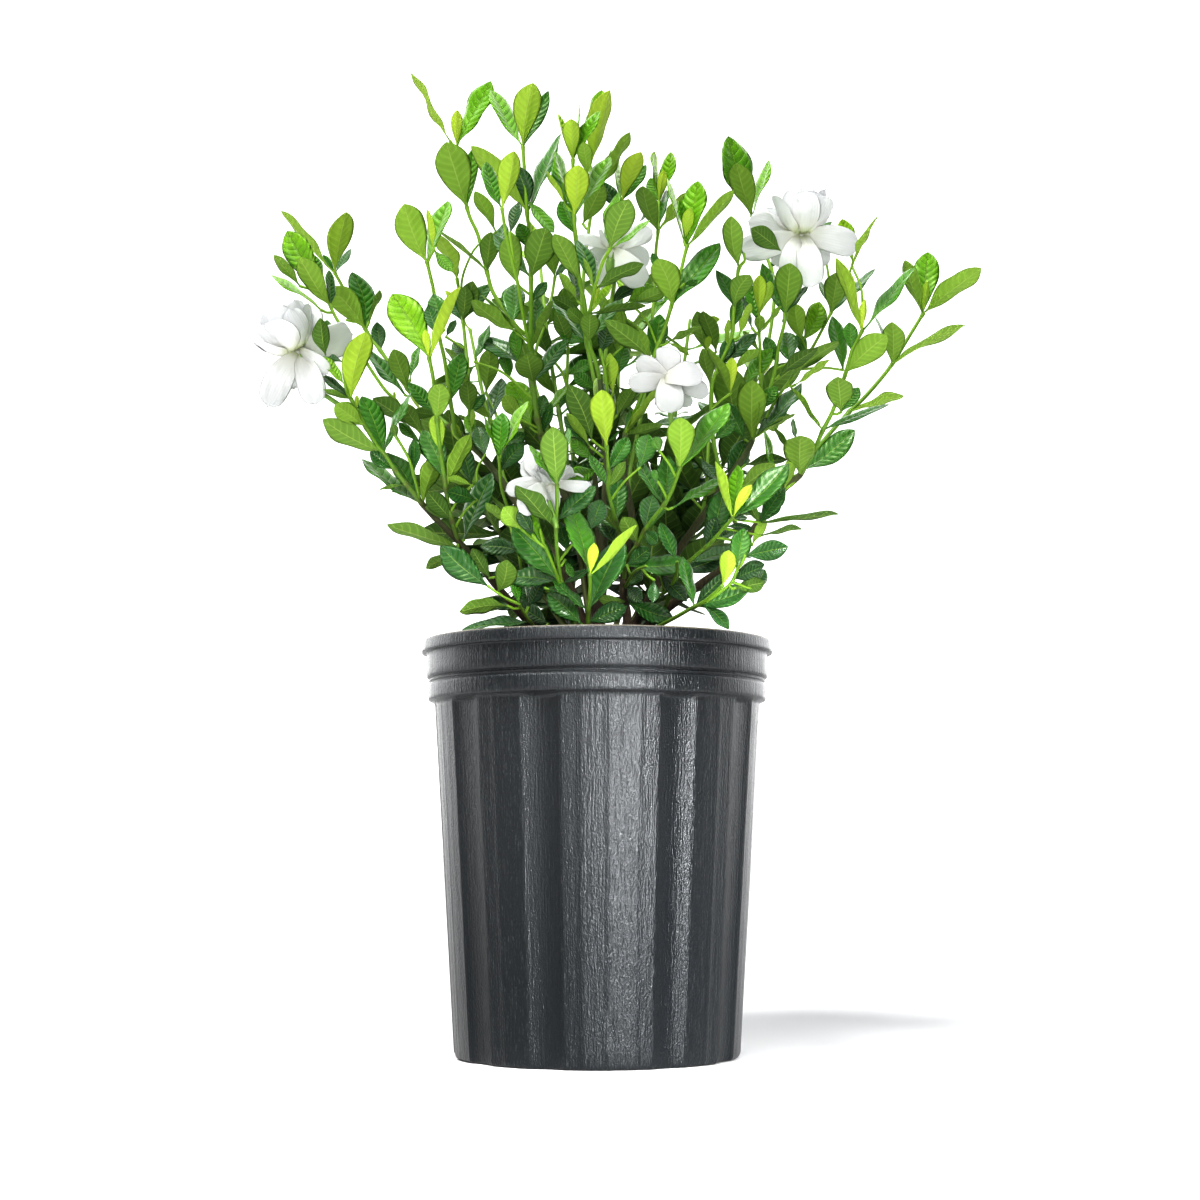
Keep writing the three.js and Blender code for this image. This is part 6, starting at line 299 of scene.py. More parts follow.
        [-6.8,70,652.1,-6.8,70,652.1,3.5,59.6,695.9,-0.68,-0.73,-0.01,20.8,3,0],
        [-3.8,59.4,612.1,-2.4,59.4,612.1,23.8,29.6,653.4,-0.77,0.18,0.62,25,2.8,2.2],
        [-10.4,54.7,592.6,-10.4,54.7,592.6,4.2,33,615.8,0.18,0.77,0.61,15.9,2,0],
        [-10.5,32.8,520.1,-13.7,32.8,519.6,-32.3,27.5,530.7,0.2,0.71,0.68,10,1.3,0],
        [-7,24.8,494.9,-6.5,24.8,495,-32.6,40.4,532.6,0.51,-0.61,0.61,21.5,1.2,2.1],
        [-7.4,25.6,497.4,-7.4,25.6,497.4,-26.4,21.2,501.4,0.37,-0.86,0.35,10.5,1.8,0],
        [-0.7,12.7,459.7,-0.7,12.7,459.7,-16.6,7.5,470.7,-0.3,-0.94,0.17,10.5,2,0],
    ]),
    "leafy_shoot_13": ([
        [1.06,1.52,-31.7,95,563.8,-34.4,86.6,544,-40,75.3,518.4,-44.8,67.3,501.4,-45.9,55.7,476.4,-37.3,38.6,443.4,-28.8,10.2,398.5],
    ], [
        [-31.7,94.9,563.5,-31.7,94.9,563.8,-36.5,74,586.2,-0.1,0.74,0.67,14,2.6,0],
        [-31.7,94.9,563.5,-30.9,94.9,563,-23.4,94.5,575.2,-0.4,-0.89,0.22,6.4,0.8,0],
    ]),
    "leafy_shoot_14": ([
        [0.99,1.22,-20.8,30,494,-21.4,26.5,473.6,-21.4,24,462.1],
        [0.91,1.06,-33,30,486.7,-25,27.4,475.9,-21.4,24.5,464.4],
        [0.76,0.95,-38.3,22.4,441.6,-29.9,24.1,453.8,-21.4,24,462.1],
    ], [
        [-20.8,30,494,-20.8,30,494,-29.1,12.7,515.9,0.36,0.66,0.66,13.2,1.4,-1.4],
        [-38.3,22.4,441.6,-38.3,22.4,441.6,-21.3,22.5,464.4,-0.65,-0.58,0.49,12.8,3,0],
        [-21.4,26.5,473.6,-21.4,26.5,473.6,-3.6,25,482.7,0.4,-0.89,0.24,10.5,2,0],
    ]),
    "leafy_shoot_15": ([
        [1.06,1.37,2.1,-20,480.7,6.2,-17.7,463.6,6.9,-15.3,446.5,6.2,-11.2,419.3,6.2,-7.9,402.3],
        [0.76,0.95,17.2,-22.9,482.1,10.5,-21,475.7,5.2,-18.2,467.8],
        [0.76,0.95,13.8,-15.4,463.4,10.1,-16.3,459.5,6.5,-16.7,456.7],
        [0.76,0.95,11.1,-13.6,451.1,8.9,-14.6,448,6.9,-15.4,447.1],
        [0.76,0.95,-3.5,-14,418.7,1.4,-12.2,415.1,6.2,-9.7,411.7],
        [0.76,0.95,-4.2,-11.4,414,1,-10.4,410,6.2,-8.6,406],
        [0.76,0.95,2.1,-11.1,433.3,4.3,-12,430.2,6.5,-12.7,429.2],
        [0.76,0.95,13.8,-13.5,435.9,10.2,-13.4,432.5,6.5,-12.9,430.4],
        [0.76,0.95,-0.7,-7.7,398.8,2.8,-8,399.7,6.2,-7.9,402.3],
        [0.76,0.95,-2.8,-11.7,405.1,1.7,-10.1,403.2,6.2,-7.9,402.3],
    ], [
        [17.2,-22.9,482.1,17.2,-22.9,482.1,6.4,-32.9,497.3,0.64,0.35,0.68,9.5,2.6,0],
        [2.5,-19.7,478.8,2.1,-19.7,478.6,8.3,-8.4,501.2,0.19,-0.9,0.4,11.7,0.9,0],
        [13.8,-15.4,463.4,13.8,-15.4,463.4,19.8,-8,487.4,0.12,-0.96,0.26,11.4,1.7,0],
        [11.1,-13.6,451.1,11.1,-13.6,451.1,8.8,-23.9,477.7,0.61,0.72,0.33,12.8,3.6,0],
        [-3.5,-14,418.7,-3.5,-14,418.7,-19.2,-27.2,454.2,-0.06,0.94,0.32,18.6,1.2,-2.1],
        [-4.2,-11.4,414,-3.5,-11.4,413.6,-20.7,-22.4,435.6,0.65,0.35,0.68,13.5,2.8,0],
        [-4.2,-11.4,414,-4.9,-11.4,414.3,-22.4,-8.2,436.4,0.45,-0.76,0.47,12.6,1,0],
        [2.1,-11.1,433.3,2.1,-11.1,433.3,2.1,12.5,468.3,0.61,-0.66,0.44,14.5,3.9,-2.1],
        [13.8,-13.5,435.9,12.4,-13.5,436.4,4.4,-12.7,458.8,0.74,-0.6,0.29,10.6,1,0],
        [13.8,-13.5,435.9,15.2,-13.5,432.9,25.2,-25.3,453,-0.43,0.68,0.6,11.4,1.5,0],
        [13.8,-13.5,435.9,13.8,-13.5,438.5,18.8,-22.4,452.2,-0.54,0.6,0.59,7.6,2.3,0],
        [-0.7,-7.7,398.8,-0.7,-7.7,398.8,-19.3,-31.3,387.4,0.73,-0.66,0.17,14.4,2.6,0],
        [-2.8,-11.7,405.1,-2.8,-11.7,405.1,-17.4,-3,420,-0.37,-0.91,0.17,10.1,2.3,0],
    ]),
    "leafy_shoot_16": ([
        [1.14,1.52,6.6,-88,399.8,7.3,-78.9,389.5,8,-73.7,383.7,7.4,-65.8,375,10.7,-54.6,363.4,13.5,-45.8,354.6,17,-33.3,342.8,19.2,-14.4,328.2],
        [0.76,0.95,28.6,-68.9,389.3,18,-67.4,380.2,9.2,-59.9,368.9],
        [0.76,0.95,12.2,-31.4,343.1,14.7,-31.3,340.2,17.4,-29.9,340.2],
    ], [
        [6.6,-88,399.8,6.6,-88,399.8,3.1,-116.2,430.8,-0.05,0.74,0.67,18.9,4,0],
        [28.6,-68.9,389.3,28.6,-68.9,389.3,34.7,-47.6,415.3,0.17,-0.78,0.6,15.1,1.7,0],
        [7.7,-76.1,386.4,10,-76.1,386.6,20.6,-68,409.3,0.2,-0.95,0.25,11.6,1.9,0],
        [7.4,-66.8,376.1,7.4,-66.8,375.5,18.4,-72.4,392.2,-0.32,0.81,0.49,9.3,1.7,0],
        [13,-47.3,356.1,14.1,-47.3,356.4,14.3,-41.6,387.4,-0.01,-0.98,0.18,13.9,1.8,0],
        [7.4,-66.8,376.1,4.7,-66.8,376.9,-3.8,-59.1,398.8,0.61,-0.65,0.46,10.9,2.1,0],
        [14.6,-41.8,350.9,13.5,-41.8,351.8,1.5,-29.3,370.3,-0.36,-0.87,0.35,11.2,1.6,0],
        [14.6,-41.8,350.9,14.9,-41.8,349.8,1.5,-48.6,367.9,0.55,0.56,0.62,10.6,2.2,0],
        [12.2,-31.4,343.1,12.2,-31.4,343.1,3.7,-20.2,364.2,-0.23,-0.89,0.38,11.2,1.2,0],
    ]),
    "leafy_shoot_17": ([
        [1.14,1.44,18.2,60,611.5,16.7,54.3,587.9,14.4,48.2,563.7,10.7,40,531.8,6.4,30.3,496.3,4.9,18,453.6,5.6,8.3,423,5.5,-6.6,385],
        [0.76,0.95,21.5,39.6,529.4,15.8,38.9,525.6,9.5,37.2,521.5],
        [0.76,0.95,17.8,34.2,506.7,12.5,33.2,503,6.7,31.1,499.2],
    ], [
        [17.7,57.8,602.6,18.2,57.8,602.5,3.5,58.3,625.4,0.33,-0.92,0.23,12.2,0.9,0],
        [18.2,59.9,611.3,18.2,59.9,611.5,11,74.4,655.1,0.86,-0.43,0.28,20.7,3.3,0],
        [18.2,59.9,611.3,21.9,59.9,610.7,31.9,41.1,642.4,-0.4,0.73,0.56,17.3,4.4,2.2],
        [10.3,39.1,528.4,9.3,39.1,528.6,28.1,41.3,541.7,-0.14,-0.93,0.35,10.3,0.5,-2.2],
        [21.5,39.6,529.4,21.5,39.6,529.4,41.8,42.3,542,0.21,-0.97,-0.12,10.8,3.2,-2.2],
        [17.8,34.2,506.7,17.8,34.2,506.7,10.6,24.8,525.6,0.45,0.72,0.53,10,3,0],
        [18.2,60,611.5,18.2,60,611.5,36.2,59,638.5,-0.02,-0.98,0.2,10.5,1.9,0],
    ]),
    "leafy_shoot_18": ([
        [1.14,1.44,46.3,90,620.1,45.2,80.6,594.2,43.5,74.8,578.8,42.4,63.5,549.2,38.1,43.3,499.4,34.1,27.3,462.9,28.8,12.2,430.9,22.9,-4.5,399.4,21.9,-20.1,375.8],
    ], [
        [46.3,90,620.1,48.6,90,620.1,55.4,88,658.1,-0.78,-0.61,0.11,17.3,3,1.5],
        [46.3,90,620.1,47.1,90,620.1,49.7,77.1,640.6,0.06,0.85,0.53,8.8,4.6,0],
        [46.3,90,620.1,45.6,90,621.6,42.7,89.8,659.5,0.96,-0.27,0.07,17,3.8,0],
        [45.3,80.9,595.1,45.2,80.9,592.7,33.4,46.6,618.6,0.54,0.38,0.75,20.3,2,1.5],
        [46.3,90,620.1,44.8,90,617.8,39.7,93.9,639.9,-0.14,-0.98,0.14,10.3,2.5,0],
        [46.3,90,620.1,44.8,90,621.6,32,89.7,605.3,-0.69,-0.47,0.55,9.4,0.8,0],
        [45.3,80.9,595.1,46.7,80.9,595.8,51.7,92.6,630.2,-0.86,-0.44,0.27,16.3,1.2,1.5],
        [45.3,80.9,595.1,46,80.9,596.6,64.8,65.3,619.2,-0.56,0.39,0.73,15.1,3.4,0],
        [40.7,55.4,529.3,40.7,55.4,529.3,51.1,61.4,545.3,0.22,-0.84,0.5,10.5,2.3,0],
    ]),
    "leafy_shoot_19": ([
        [1.14,1.52,61.7,-40,548.7,59.6,-39.2,540.5,56.8,-38.1,528.8,50.7,-35.9,507,45.9,-34.2,491.3,40.4,-32.7,477.7,37.7,-31.7,468.8,29.4,-28.7,443.7,19.2,-25,420.1],
        [0.76,0.95,59.7,-38.8,552.5,60.8,-39.5,549.1,61.6,-40,548.4],
        [0.76,0.95,59.5,-38.4,522.4,57.3,-37.9,520.3,54.5,-37.2,520.7],
        [0.76,0.95,43,-42.6,529.7,49,-40,523.9,53.5,-36.9,517],
        [0.76,0.95,22.7,-31.5,510.6,34,-32.8,498.2,41.3,-32.9,480],
        [0.76,0.95,48.3,-31.3,483.3,45.4,-32.3,481.2,41.8,-33.1,481.1],
        [0.76,0.95,32.8,-29.6,424.7,27.3,-27.8,423.5,20.3,-25.4,422.6],
    ], [
        [59.7,-38.8,552.5,57.6,-38.8,553.2,48.2,-38.1,597.3,0.94,-0.26,0.21,20.1,3.3,0],
        [61.6,-40,548.4,61.7,-40,548.7,69.3,-42.4,593.8,-0.52,-0.85,0.04,20.5,3,0],
        [59.7,-38.8,552.5,61.7,-38.8,551.8,63.1,-57.3,570.1,0.08,0.7,0.71,9.4,4.3,0],
        [61.6,-40,548.4,62.3,-40,548,92.9,-59.7,581.9,-0.67,0.19,0.71,22.5,3,-2],
        [61.6,-40,548.4,60.3,-40,548.7,56.1,-45.4,579.4,0.89,-0.44,0.04,14.1,2.4,0],
        [51,-36,508,50,-36,507,40.1,-75.8,529.4,-0.17,0.52,0.84,19.6,2.4,-2.7],
        [51,-36,508,52,-36,509.1,84.4,-38.1,551.3,-0.47,-0.83,0.31,23.4,1.9,-1.4],
        [59.5,-38.4,522.4,59.5,-38.4,522.4,68.9,-43.3,523.2,-0.42,-0.85,-0.31,4.8,1.5,0],
        [43,-42.6,529.7,43,-42.6,529.7,37.6,-42.9,542.9,-0.11,-0.99,-0.07,6.1,1.6,0],
        [22.7,-31.5,510.6,24,-31.5,510.9,46.9,-48.9,515.4,0.13,0.4,0.91,13.2,2,0],
        [22.7,-31.5,510.6,21.3,-31.5,510.2,46.4,-19.4,516.9,0.02,-0.52,0.86,12.8,0.8,1.4],
        [38.1,-31.8,470.2,37.7,-31.8,471.6,43.4,-27.5,504.2,0.04,-0.99,0.13,14.9,2,0],
        [38.1,-31.8,470.2,36.3,-31.8,470.2,19.4,-51.3,495.4,0.71,0.25,0.66,16.1,2.7,-2],
        [38.1,-31.8,470.2,33.6,-31.8,470.9,5.2,-49.5,494.4,0.28,0.57,0.77,18.3,1.5,-2.7],
        [48.3,-31.3,483.3,48,-31.3,483.6,71.3,-42.4,491.9,-0.22,0.24,0.95,12.2,1.7,1.4],
        [48.3,-31.3,483.3,48.7,-31.3,482.9,63.2,-27,475.1,0.36,0.35,0.86,7.6,2.3,2.1],
        [19.6,-25.2,421.1,17.1,-25.2,422.1,29.8,-36.7,439.5,-0.73,0.19,0.66,8.7,3.8,0],
        [19.6,-25.2,421.1,19.2,-25.2,420.7,35.6,-32.9,440.3,-0.72,0.18,0.67,9.6,3.6,0],
        [19.2,-25,420.1,21.2,-25,418.7,40.3,-46.5,448.3,-0.75,0.21,0.63,18.6,3.3,2],
        [19.6,-25.2,421.1,15.8,-25.2,423.5,22.9,-22.7,438.7,-0.78,-0.44,0.44,7.6,1.5,0],
        [32.8,-29.6,424.7,32.8,-29.6,424.7,64.9,-34.3,431.1,-0.24,-0.51,0.82,16.3,1.2,-1.4],
        [19.2,-25,420.1,21.2,-25,416.6,44.1,-36.9,425,-0.06,0.5,0.86,12.1,1.6,0],
    ]),
    "leafy_shoot_20": ([
        [1.14,1.52,115.2,80,606.3,121.9,72.5,581.9,129.7,63.1,552.8,127.1,52.6,520.2,120.9,41.4,487.9,114.7,29.4,456,109,14,423.4],
        [0.76,0.95,135.6,69,577.1,130.6,68.5,570.6,126.8,66.6,563.6],
    ], [
        [115.4,79.9,605.8,115.2,79.9,606.2,97,67.1,663.3,0.43,-0.9,-0.07,27.5,2.8,0],
        [115.4,79.9,605.8,116,79.9,604.7,101.8,52.8,638,0.38,0.63,0.68,20.5,2.6,0],
        [115.4,79.9,605.8,116,79.9,607,128,76.9,648.2,-0.92,-0.31,0.25,19.3,3,0],
        [135.6,69,577.1,135.6,69,577.1,118,78.4,594.3,-0.45,-0.89,0.03,11.8,1.6,0],
        [127.2,66.1,562.3,128.6,66.1,562.7,135.2,64.9,573.7,0.01,-0.99,-0.12,5.8,1,0],
    ]),
    "leafy_shoot_21": ([
        [1.14,1.52,101.2,-32,539.7,97.7,-31.4,535.6,96.4,-30.5,527.4,94.3,-28.1,506.9,92.9,-26.1,489.8,86.1,-23.9,472.7,79.2,-21.7,455.7,79.2,-17.8,425,86.1,-13.2,390.9,94.5,-8.9,363.7,102.2,-5.9,350.2],
        [0.76,0.95,101.3,-31.2,545.5,101.8,-31.7,541.3,101.2,-32,539.7],
        [0.76,0.95,97.8,-24.8,489.4,95.3,-25.4,487.3,92,-25.8,487.5],
        [0.76,0.95,91.8,-22.4,449.6,85.5,-21.3,445.1,79.2,-19.7,439.8],
        [0.76,0.95,95.2,-20.3,467.9,89.6,-21.8,465.8,82.5,-22.8,464],
        [0.76,0.95,102.8,-1.9,403.4,94.5,-7.5,395.1,88.5,-11.9,383.2],
        [0.76,0.95,97.3,-10.1,384.4,93.6,-10.7,379.5,90.9,-10.7,375.4],
    ], [
        [97.7,-31.4,535.5,97.1,-31.4,535.6,91.3,-50.3,566.7,0.59,0.64,0.5,16.7,2.3,1.4],
        [101.3,-31.2,545.5,101.3,-31.2,545.5,87.4,-22.7,562.2,0.46,-0.58,0.67,10.4,0.8,0],
        [94.4,-28.3,508.3,93.6,-28.3,508.2,82.1,-27.3,535.3,0.37,-0.91,0.19,13.2,1.2,2.1],
        [94.4,-28.3,508.3,95.7,-28.3,508.2,103.5,-56.2,523.9,0.31,0.53,0.79,14.9,2,2.7],
        [97.8,-24.8,489.4,97.8,-24.8,489.4,104.6,-39,509,-0.66,0.48,0.58,11.4,3.4,0],
        [91.8,-22.4,449.6,93.6,-22.4,450.6,92.1,-37.5,471.4,0.04,0.81,0.59,9.3,5,0],
        [91.8,-22.4,449.6,90.1,-22.4,448.5,75.8,-49.3,475.2,0.72,0.26,0.64,18.3,3,-2.1],
        [89.9,-25.1,482.3,88.1,-25.1,483,89.3,-41.3,496.7,-0.78,0.36,0.5,9.5,3.2,0],
        [84.5,-23.4,469,88.1,-23.4,468.6,110.1,-24.9,491.2,-0.47,-0.79,0.4,13.9,0.5,0],
        [95.2,-20.3,467.9,95.2,-20.3,467.9,109.9,-38.3,477,-0.02,0.43,0.9,11.2,2.4,0],
        [84.5,-23.4,469,86,-23.4,467.2,93.3,-26,488.6,-0.02,-0.99,-0.11,9.9,1.2,0],
        [102.8,-1.9,403.4,102.8,-1.9,403.4,130.8,-7.1,406.1,0,0.47,0.88,12.8,0.8,2.1],
        [97.3,-10.1,384.4,97.3,-10.1,384.4,121,-23.1,399.7,-0.09,0.69,0.72,13.9,2.4,1.4],
        [80.6,-16.9,418.2,80.6,-16.9,418.2,95.2,-19.3,431.6,0.11,-0.95,0.3,10.5,1.4,0],
        [93.2,-26.5,493.2,93.2,-26.5,493.2,98.4,-23.3,516.4,-0.35,-0.9,0.26,10.5,1.8,0],
    ]),
    "leafy_shoot_22": ([
        [1.06,1.37,79.5,62,500.1,81.3,57.3,485.7,82.9,48.7,460.1,79.1,34.5,420.8,76.8,22,389.8,72.6,10.4,367.4],
        [0.76,0.95,86.6,59.7,498.1,83.5,59.8,494,80.6,59.1,491.3],
        [0.76,0.95,73.1,28.6,414,75.7,29.7,410.8,78.3,30,409.7],
        [0.76,0.95,65.1,12.7,384,69.9,14.3,378.9,74,14,374.4],
    ], [
        [79.6,61.6,498.9,80.9,61.6,500.1,72.5,51.1,526.5,0.01,0.93,0.37,13.1,1.6,0],
        [86.6,59.7,498.1,86.6,59.7,498.1,76.3,39.7,523.6,0.6,0.49,0.63,17,2,-1.4],
        [79.6,61.6,498.9,83.1,61.6,498.6,81,48.2,507.2,-0.05,0.55,0.83,5.8,3.8,0],
        [82.2,52.5,471.7,78.8,52.5,471.3,76,41.8,496.7,0.56,0.74,0.37,12.4,1.6,0],
        [73.1,28.6,414,73.1,28.6,414,85.8,19,395.7,0.16,-0.83,0.54,10.9,0.6,0],
        [65.1,12.7,384,65.1,12.7,384,85.2,15.2,388.9,-0.26,0.51,0.82,9,2.3,0],
    ]),
    "leafy_shoot_23": ([
        [1.22,1.6,133,12,514.3,132.2,12.1,506.4,128.5,12.4,492,126.3,12.7,477.6,122.7,13,463.3,117.7,13.2,452.6,111.9,13.7,434.8,109,14,423.4],
        [0.99,1.06,114.3,10,500.1,115,10.7,488,114.9,12.1,466.7,117.7,13.2,452.6],
        [0.76,0.95,114.1,6.2,512.5,114.1,8,506.2,114.3,10,500.1],
        [0.76,0.95,109.6,12.5,504.3,111.9,11.2,500.8,114.4,10.1,499],
        [0.76,0.95,136.1,11.4,479.5,131.3,12.1,476.8,125.6,12.8,474.8],
        [0.76,0.95,128.4,13.5,469.9,126.3,13.2,467.6,123.8,12.9,467.7],
        [0.76,0.95,104.3,13.2,462.6,110.2,12.9,459.4,117,12.9,456.1],
        [0.76,0.95,104.1,13.9,424.1,106.7,13.9,422.5,109,14,423.4],
        [0.76,0.95,116.1,14.4,429.9,113.3,14.1,427.5,109.9,13.9,427.1],
        [0.76,0.95,92,14.9,395.8,101.7,14.3,412.3,109,14,423.4],
    ], [
        [114.1,6.2,512.5,113.4,6.2,512.1,113.2,-17.5,534.5,0.08,0.68,0.72,11.8,4.5,0],
        [114.1,6.2,512.5,114.8,6.2,512.8,120.7,-10.7,532,-0.48,0.58,0.66,11.9,3.5,-1.4],
        [109.6,12.5,504.3,109.6,12.5,504.3,101.5,15.4,530.4,0.83,-0.47,0.31,12.3,1,0],
        [114.3,10,500.1,114.3,10,500.1,114,-4.2,509.4,0.09,0.55,0.83,7.7,2.3,0],
        [114.3,10,500.1,117.2,10,503.7,129.2,0.8,517.2,-0.67,0.18,0.72,9.2,3,0],
        [133,12,514.3,133,12,515.7,133.5,-24.6,541,0.12,0.57,0.82,20.2,2.2,0],
        [133,12,514.3,131.6,12,516.5,117.1,13.6,551.7,0.56,-0.78,0.27,17.1,1.7,-1.4],
        [133,12,514.3,134.4,12,515.7,149.8,8.4,535,-0.72,-0.51,0.48,11.2,0.9,0],
        [136.1,11.4,479.5,136.1,11.4,479.5,135.4,33,506.4,-0.17,-0.77,0.61,15.4,1.5,0],
        [126.6,12.7,479.6,125.6,12.7,479.8,119.6,18.8,499.4,-0.24,-0.95,0.22,9.5,1.8,0],
        [128.4,13.5,469.9,128.4,13.5,469.9,154.7,0,487.1,-0.27,0.51,0.82,15.3,1.1,2.1],
        [104.3,13.2,462.6,104.3,13.2,462.6,123.9,13.6,490,-0.33,-0.91,0.25,14.9,2.3,-1.4],
        [114.9,10.8,486.6,114.9,10.8,486.6,102.7,5.6,500.4,0.62,0.37,0.69,8.7,2.6,0],
        [109.2,14,424.3,109,14,423.4,107.3,-14.2,460.7,0.06,0.8,0.6,21.1,2.6,0],
        [109.2,14,424.3,108.3,14,423.4,100.7,-3.3,460.9,0.65,0.64,0.42,18.8,2.4,-2.1],
        [104.1,13.9,424.1,104.1,13.9,424.1,91.9,16.5,451,-0.17,-0.99,0.02,13.1,1.4,0],
        [109.2,14,424.3,112.5,14,425.5,144.6,18.1,465.7,-0.65,-0.51,0.57,22.2,1,1.4],
        [116.1,14.4,429.9,116.1,14.4,429.9,138.6,7.4,441.2,-0.38,0.23,0.89,11.6,2.2,1.4],
        [92,14.9,395.8,92,14.9,395.8,105.1,20.6,425.3,0.08,-0.98,0.15,14.6,1.2,0],
        [114.1,8,506.2,114.1,8,506.2,107.2,11.5,536.8,0.04,-0.95,0.31,10.5,2.5,0],
        [115.4,13.4,445.5,115.4,13.4,445.5,126.4,10.8,462,-0.15,-0.98,0.15,10.5,2.1,0],
    ]),
    "leafy_shoot_24": ([
        [1.06,1.22,170.9,60,527.3,163.5,53.8,513,155.4,46.9,498,145.9,39.7,483.9,138,33.2,471.4,127.8,24.6,456.5,119,13.5,439.8],
        [0.76,0.95,160.6,66.6,590,169.2,66.2,563.3,170.9,60,527.3],
        [0.76,0.95,187.5,59.7,565.4,181.9,62.1,549.5,170.9,60,527.3],
        [0.76,0.95,148.3,44.5,502.6,150.9,45.1,497,152,44.4,493],
        [0.76,0.95,177.3,44.5,481.3,162.9,43.2,482.6,143.4,37.7,480],
        [0.76,0.95,141.5,33.1,467.8,138.9,32.5,466.4,135.4,31,467.6],
    ], [
        [160.6,66.6,590,160.6,66.6,590,173.1,65.5,597.3,-0.4,-0.71,0.58,6.5,1.8,0],
        [187.5,59.7,565.4,187.5,59.7,565.4,179.3,55.3,596.5,0.3,-0.95,-0.06,14.6,3.6,0],
        [148.3,44.5,502.6,148,44.5,502.6,141.1,22.5,524.3,-0.03,0.7,0.71,14.3,3.2,1.4],
        [148.3,44.5,502.6,148.7,44.5,502.6,162.2,53.4,533.8,0.11,-0.97,0.23,15.7,3.4,2.1],
        [170.9,60,527.3,170.9,60,527.3,172.8,29.1,549.5,0.18,0.58,0.79,17.3,2.2,0],
        [170.9,60,527.3,168.7,60,528,162.9,64.5,554,0.85,-0.45,0.27,12.1,1.3,0],
        [170.9,60,527.3,172.4,60,527.3,202.7,53.5,558.4,-0.7,-0.41,0.59,19.7,1.1,-1.4],
        [177.3,44.5,481.3,177.3,44.5,481.3,169.5,41,520.2,0.53,-0.85,0.03,17.9,1.8,2.2],
        [139.4,34.4,473.7,140.2,34.4,473.1,169.5,4.5,492.8,-0.33,0.27,0.9,20.8,2,2.1],
        [141.5,33.1,467.8,141.5,33.1,467.8,165.5,24.2,484.1,-0.48,0.25,0.84,13.5,2.8,0],
        [149.7,42.6,489.5,149.7,42.6,489.5,145.4,46.5,508.7,0.38,-0.86,0.34,10.5,2.2,0],
    ]),
    "leafy_shoot_25": ([
        [1.14,1.52,177.9,-62,483.7,171.8,-55.1,471,167.8,-47.8,456.8,160.7,-36.1,435.2,153.9,-27.8,421.6,147.8,-18.7,407.3,140.4,-8,395.3],
        [0.76,0.95,173,-52.4,531.1,178.3,-60.4,511.4,177.9,-62,483.7],
        [0.76,0.95,166.3,-34.3,434.2,163.3,-35,432.4,159.5,-34.7,432.9],
    ], [
        [177.9,-62,483.7,176.6,-62,485.1,159.7,-73.8,530.7,0.88,0.25,0.39,22.5,3.5,-2.7],
        [177.9,-62,483.7,178.6,-62,485.8,178.9,-72.7,502.9,-0.46,0.75,0.48,7.3,4.5,0],
        [177.9,-62,483.7,180,-62,487.2,212.6,-72.8,524.1,-0.74,-0.43,0.53,22.7,2.2,-2.6],
        [173,-52.4,531.1,173,-52.4,531.1,185.7,-87.7,554.6,-0.8,0.1,0.59,20.1,3.2,1.3],
        [168.1,-48.5,458.1,168.4,-48.5,458.1,192.7,-75.9,477.4,0.44,0.75,0.5,18.7,2.4,1.3],
        [154.4,-28.5,422.7,153.1,-28.5,422.9,131.1,-44.7,449.3,0.78,-0.05,0.62,17.1,2.6,-4.8],
        [166.3,-34.3,434.2,166.3,-34.3,434.2,160.2,-71.5,450,-0.02,0.39,0.92,18.3,2.2,0],
        [154.4,-28.5,422.7,155.2,-28.5,422.9,198.8,-31.6,439.7,-0.35,-0.47,0.81,20.8,1.2,-2],
        [166.3,-34.3,434.2,166.3,-34.3,434.2,178.5,-36.8,450.5,-0.14,-0.89,0.43,10.5,1.9,0],
        [171.8,-55.1,471,171.8,-55.1,471,169.8,-59.3,490.5,-0.05,-0.97,0.23,10.5,1.9,0],
    ]),
    "leafy_shoot_26": ([
        [1.22,1.67,230.6,12,514.3,218.6,9.4,494.9,208.1,7.1,477.8,198.5,5.2,465.2,185.4,2.7,450.4,176,1,441.5,159.3,-2.4,422.4,149.2,-4.9,409.2,140.4,-8,395.3],
        [0.76,0.95,204,11.2,495.3,208.1,9.6,487.8,209.6,7.4,480.2],
        [0.76,0.95,129,-10.8,384.3,136,-9,389.8,140.4,-8,395.3],
        [0.76,0.95,135.5,-2.9,409.6,139.3,-5,402.5,140.5,-8,395.5],
        [0.76,0.95,137.8,-9,418.3,142.7,-7.3,410.5,144.9,-6.4,402.3],
        [0.76,0.95,123,-9.4,392.9,133.1,-8.2,394.3,140.4,-8,395.3],
    ], [
        [207.3,6.9,476.7,206,6.9,476.3,204.3,-18.4,500.9,0.13,0.69,0.72,16,2.2,-1.4],
        [204,11.2,495.3,204,11.2,495.3,197.2,16.4,513.2,0.75,-0.51,0.43,8.9,1.5,0],
        [207.3,6.9,476.7,209.5,6.9,476.3,256.6,-8.4,501.2,-0.4,0.22,0.89,25,2.5,2.8],
        [230.6,12,514.3,229.2,12,515.7,216.2,-3.4,549.1,0.82,0.32,0.47,17.6,2.4,0],
        [230.6,12,514.3,231.4,12,517.2,235.6,16.3,560.5,-0.12,-0.99,0.11,19.5,3.2,0],
        [230.6,12,514.3,231.4,12,517.2,233.3,4.1,536.8,-0.43,0.82,0.37,7.7,4.3,0],
        [230.6,12,514.3,233.5,12,515,267.7,-13.1,540.7,-0.19,0.57,0.8,22.5,2.9,2.1],
        [176.4,1.1,441.9,176.7,1.1,441.5,214.4,1.9,452.8,-0.28,0.3,0.91,17.5,2.8,2.8],
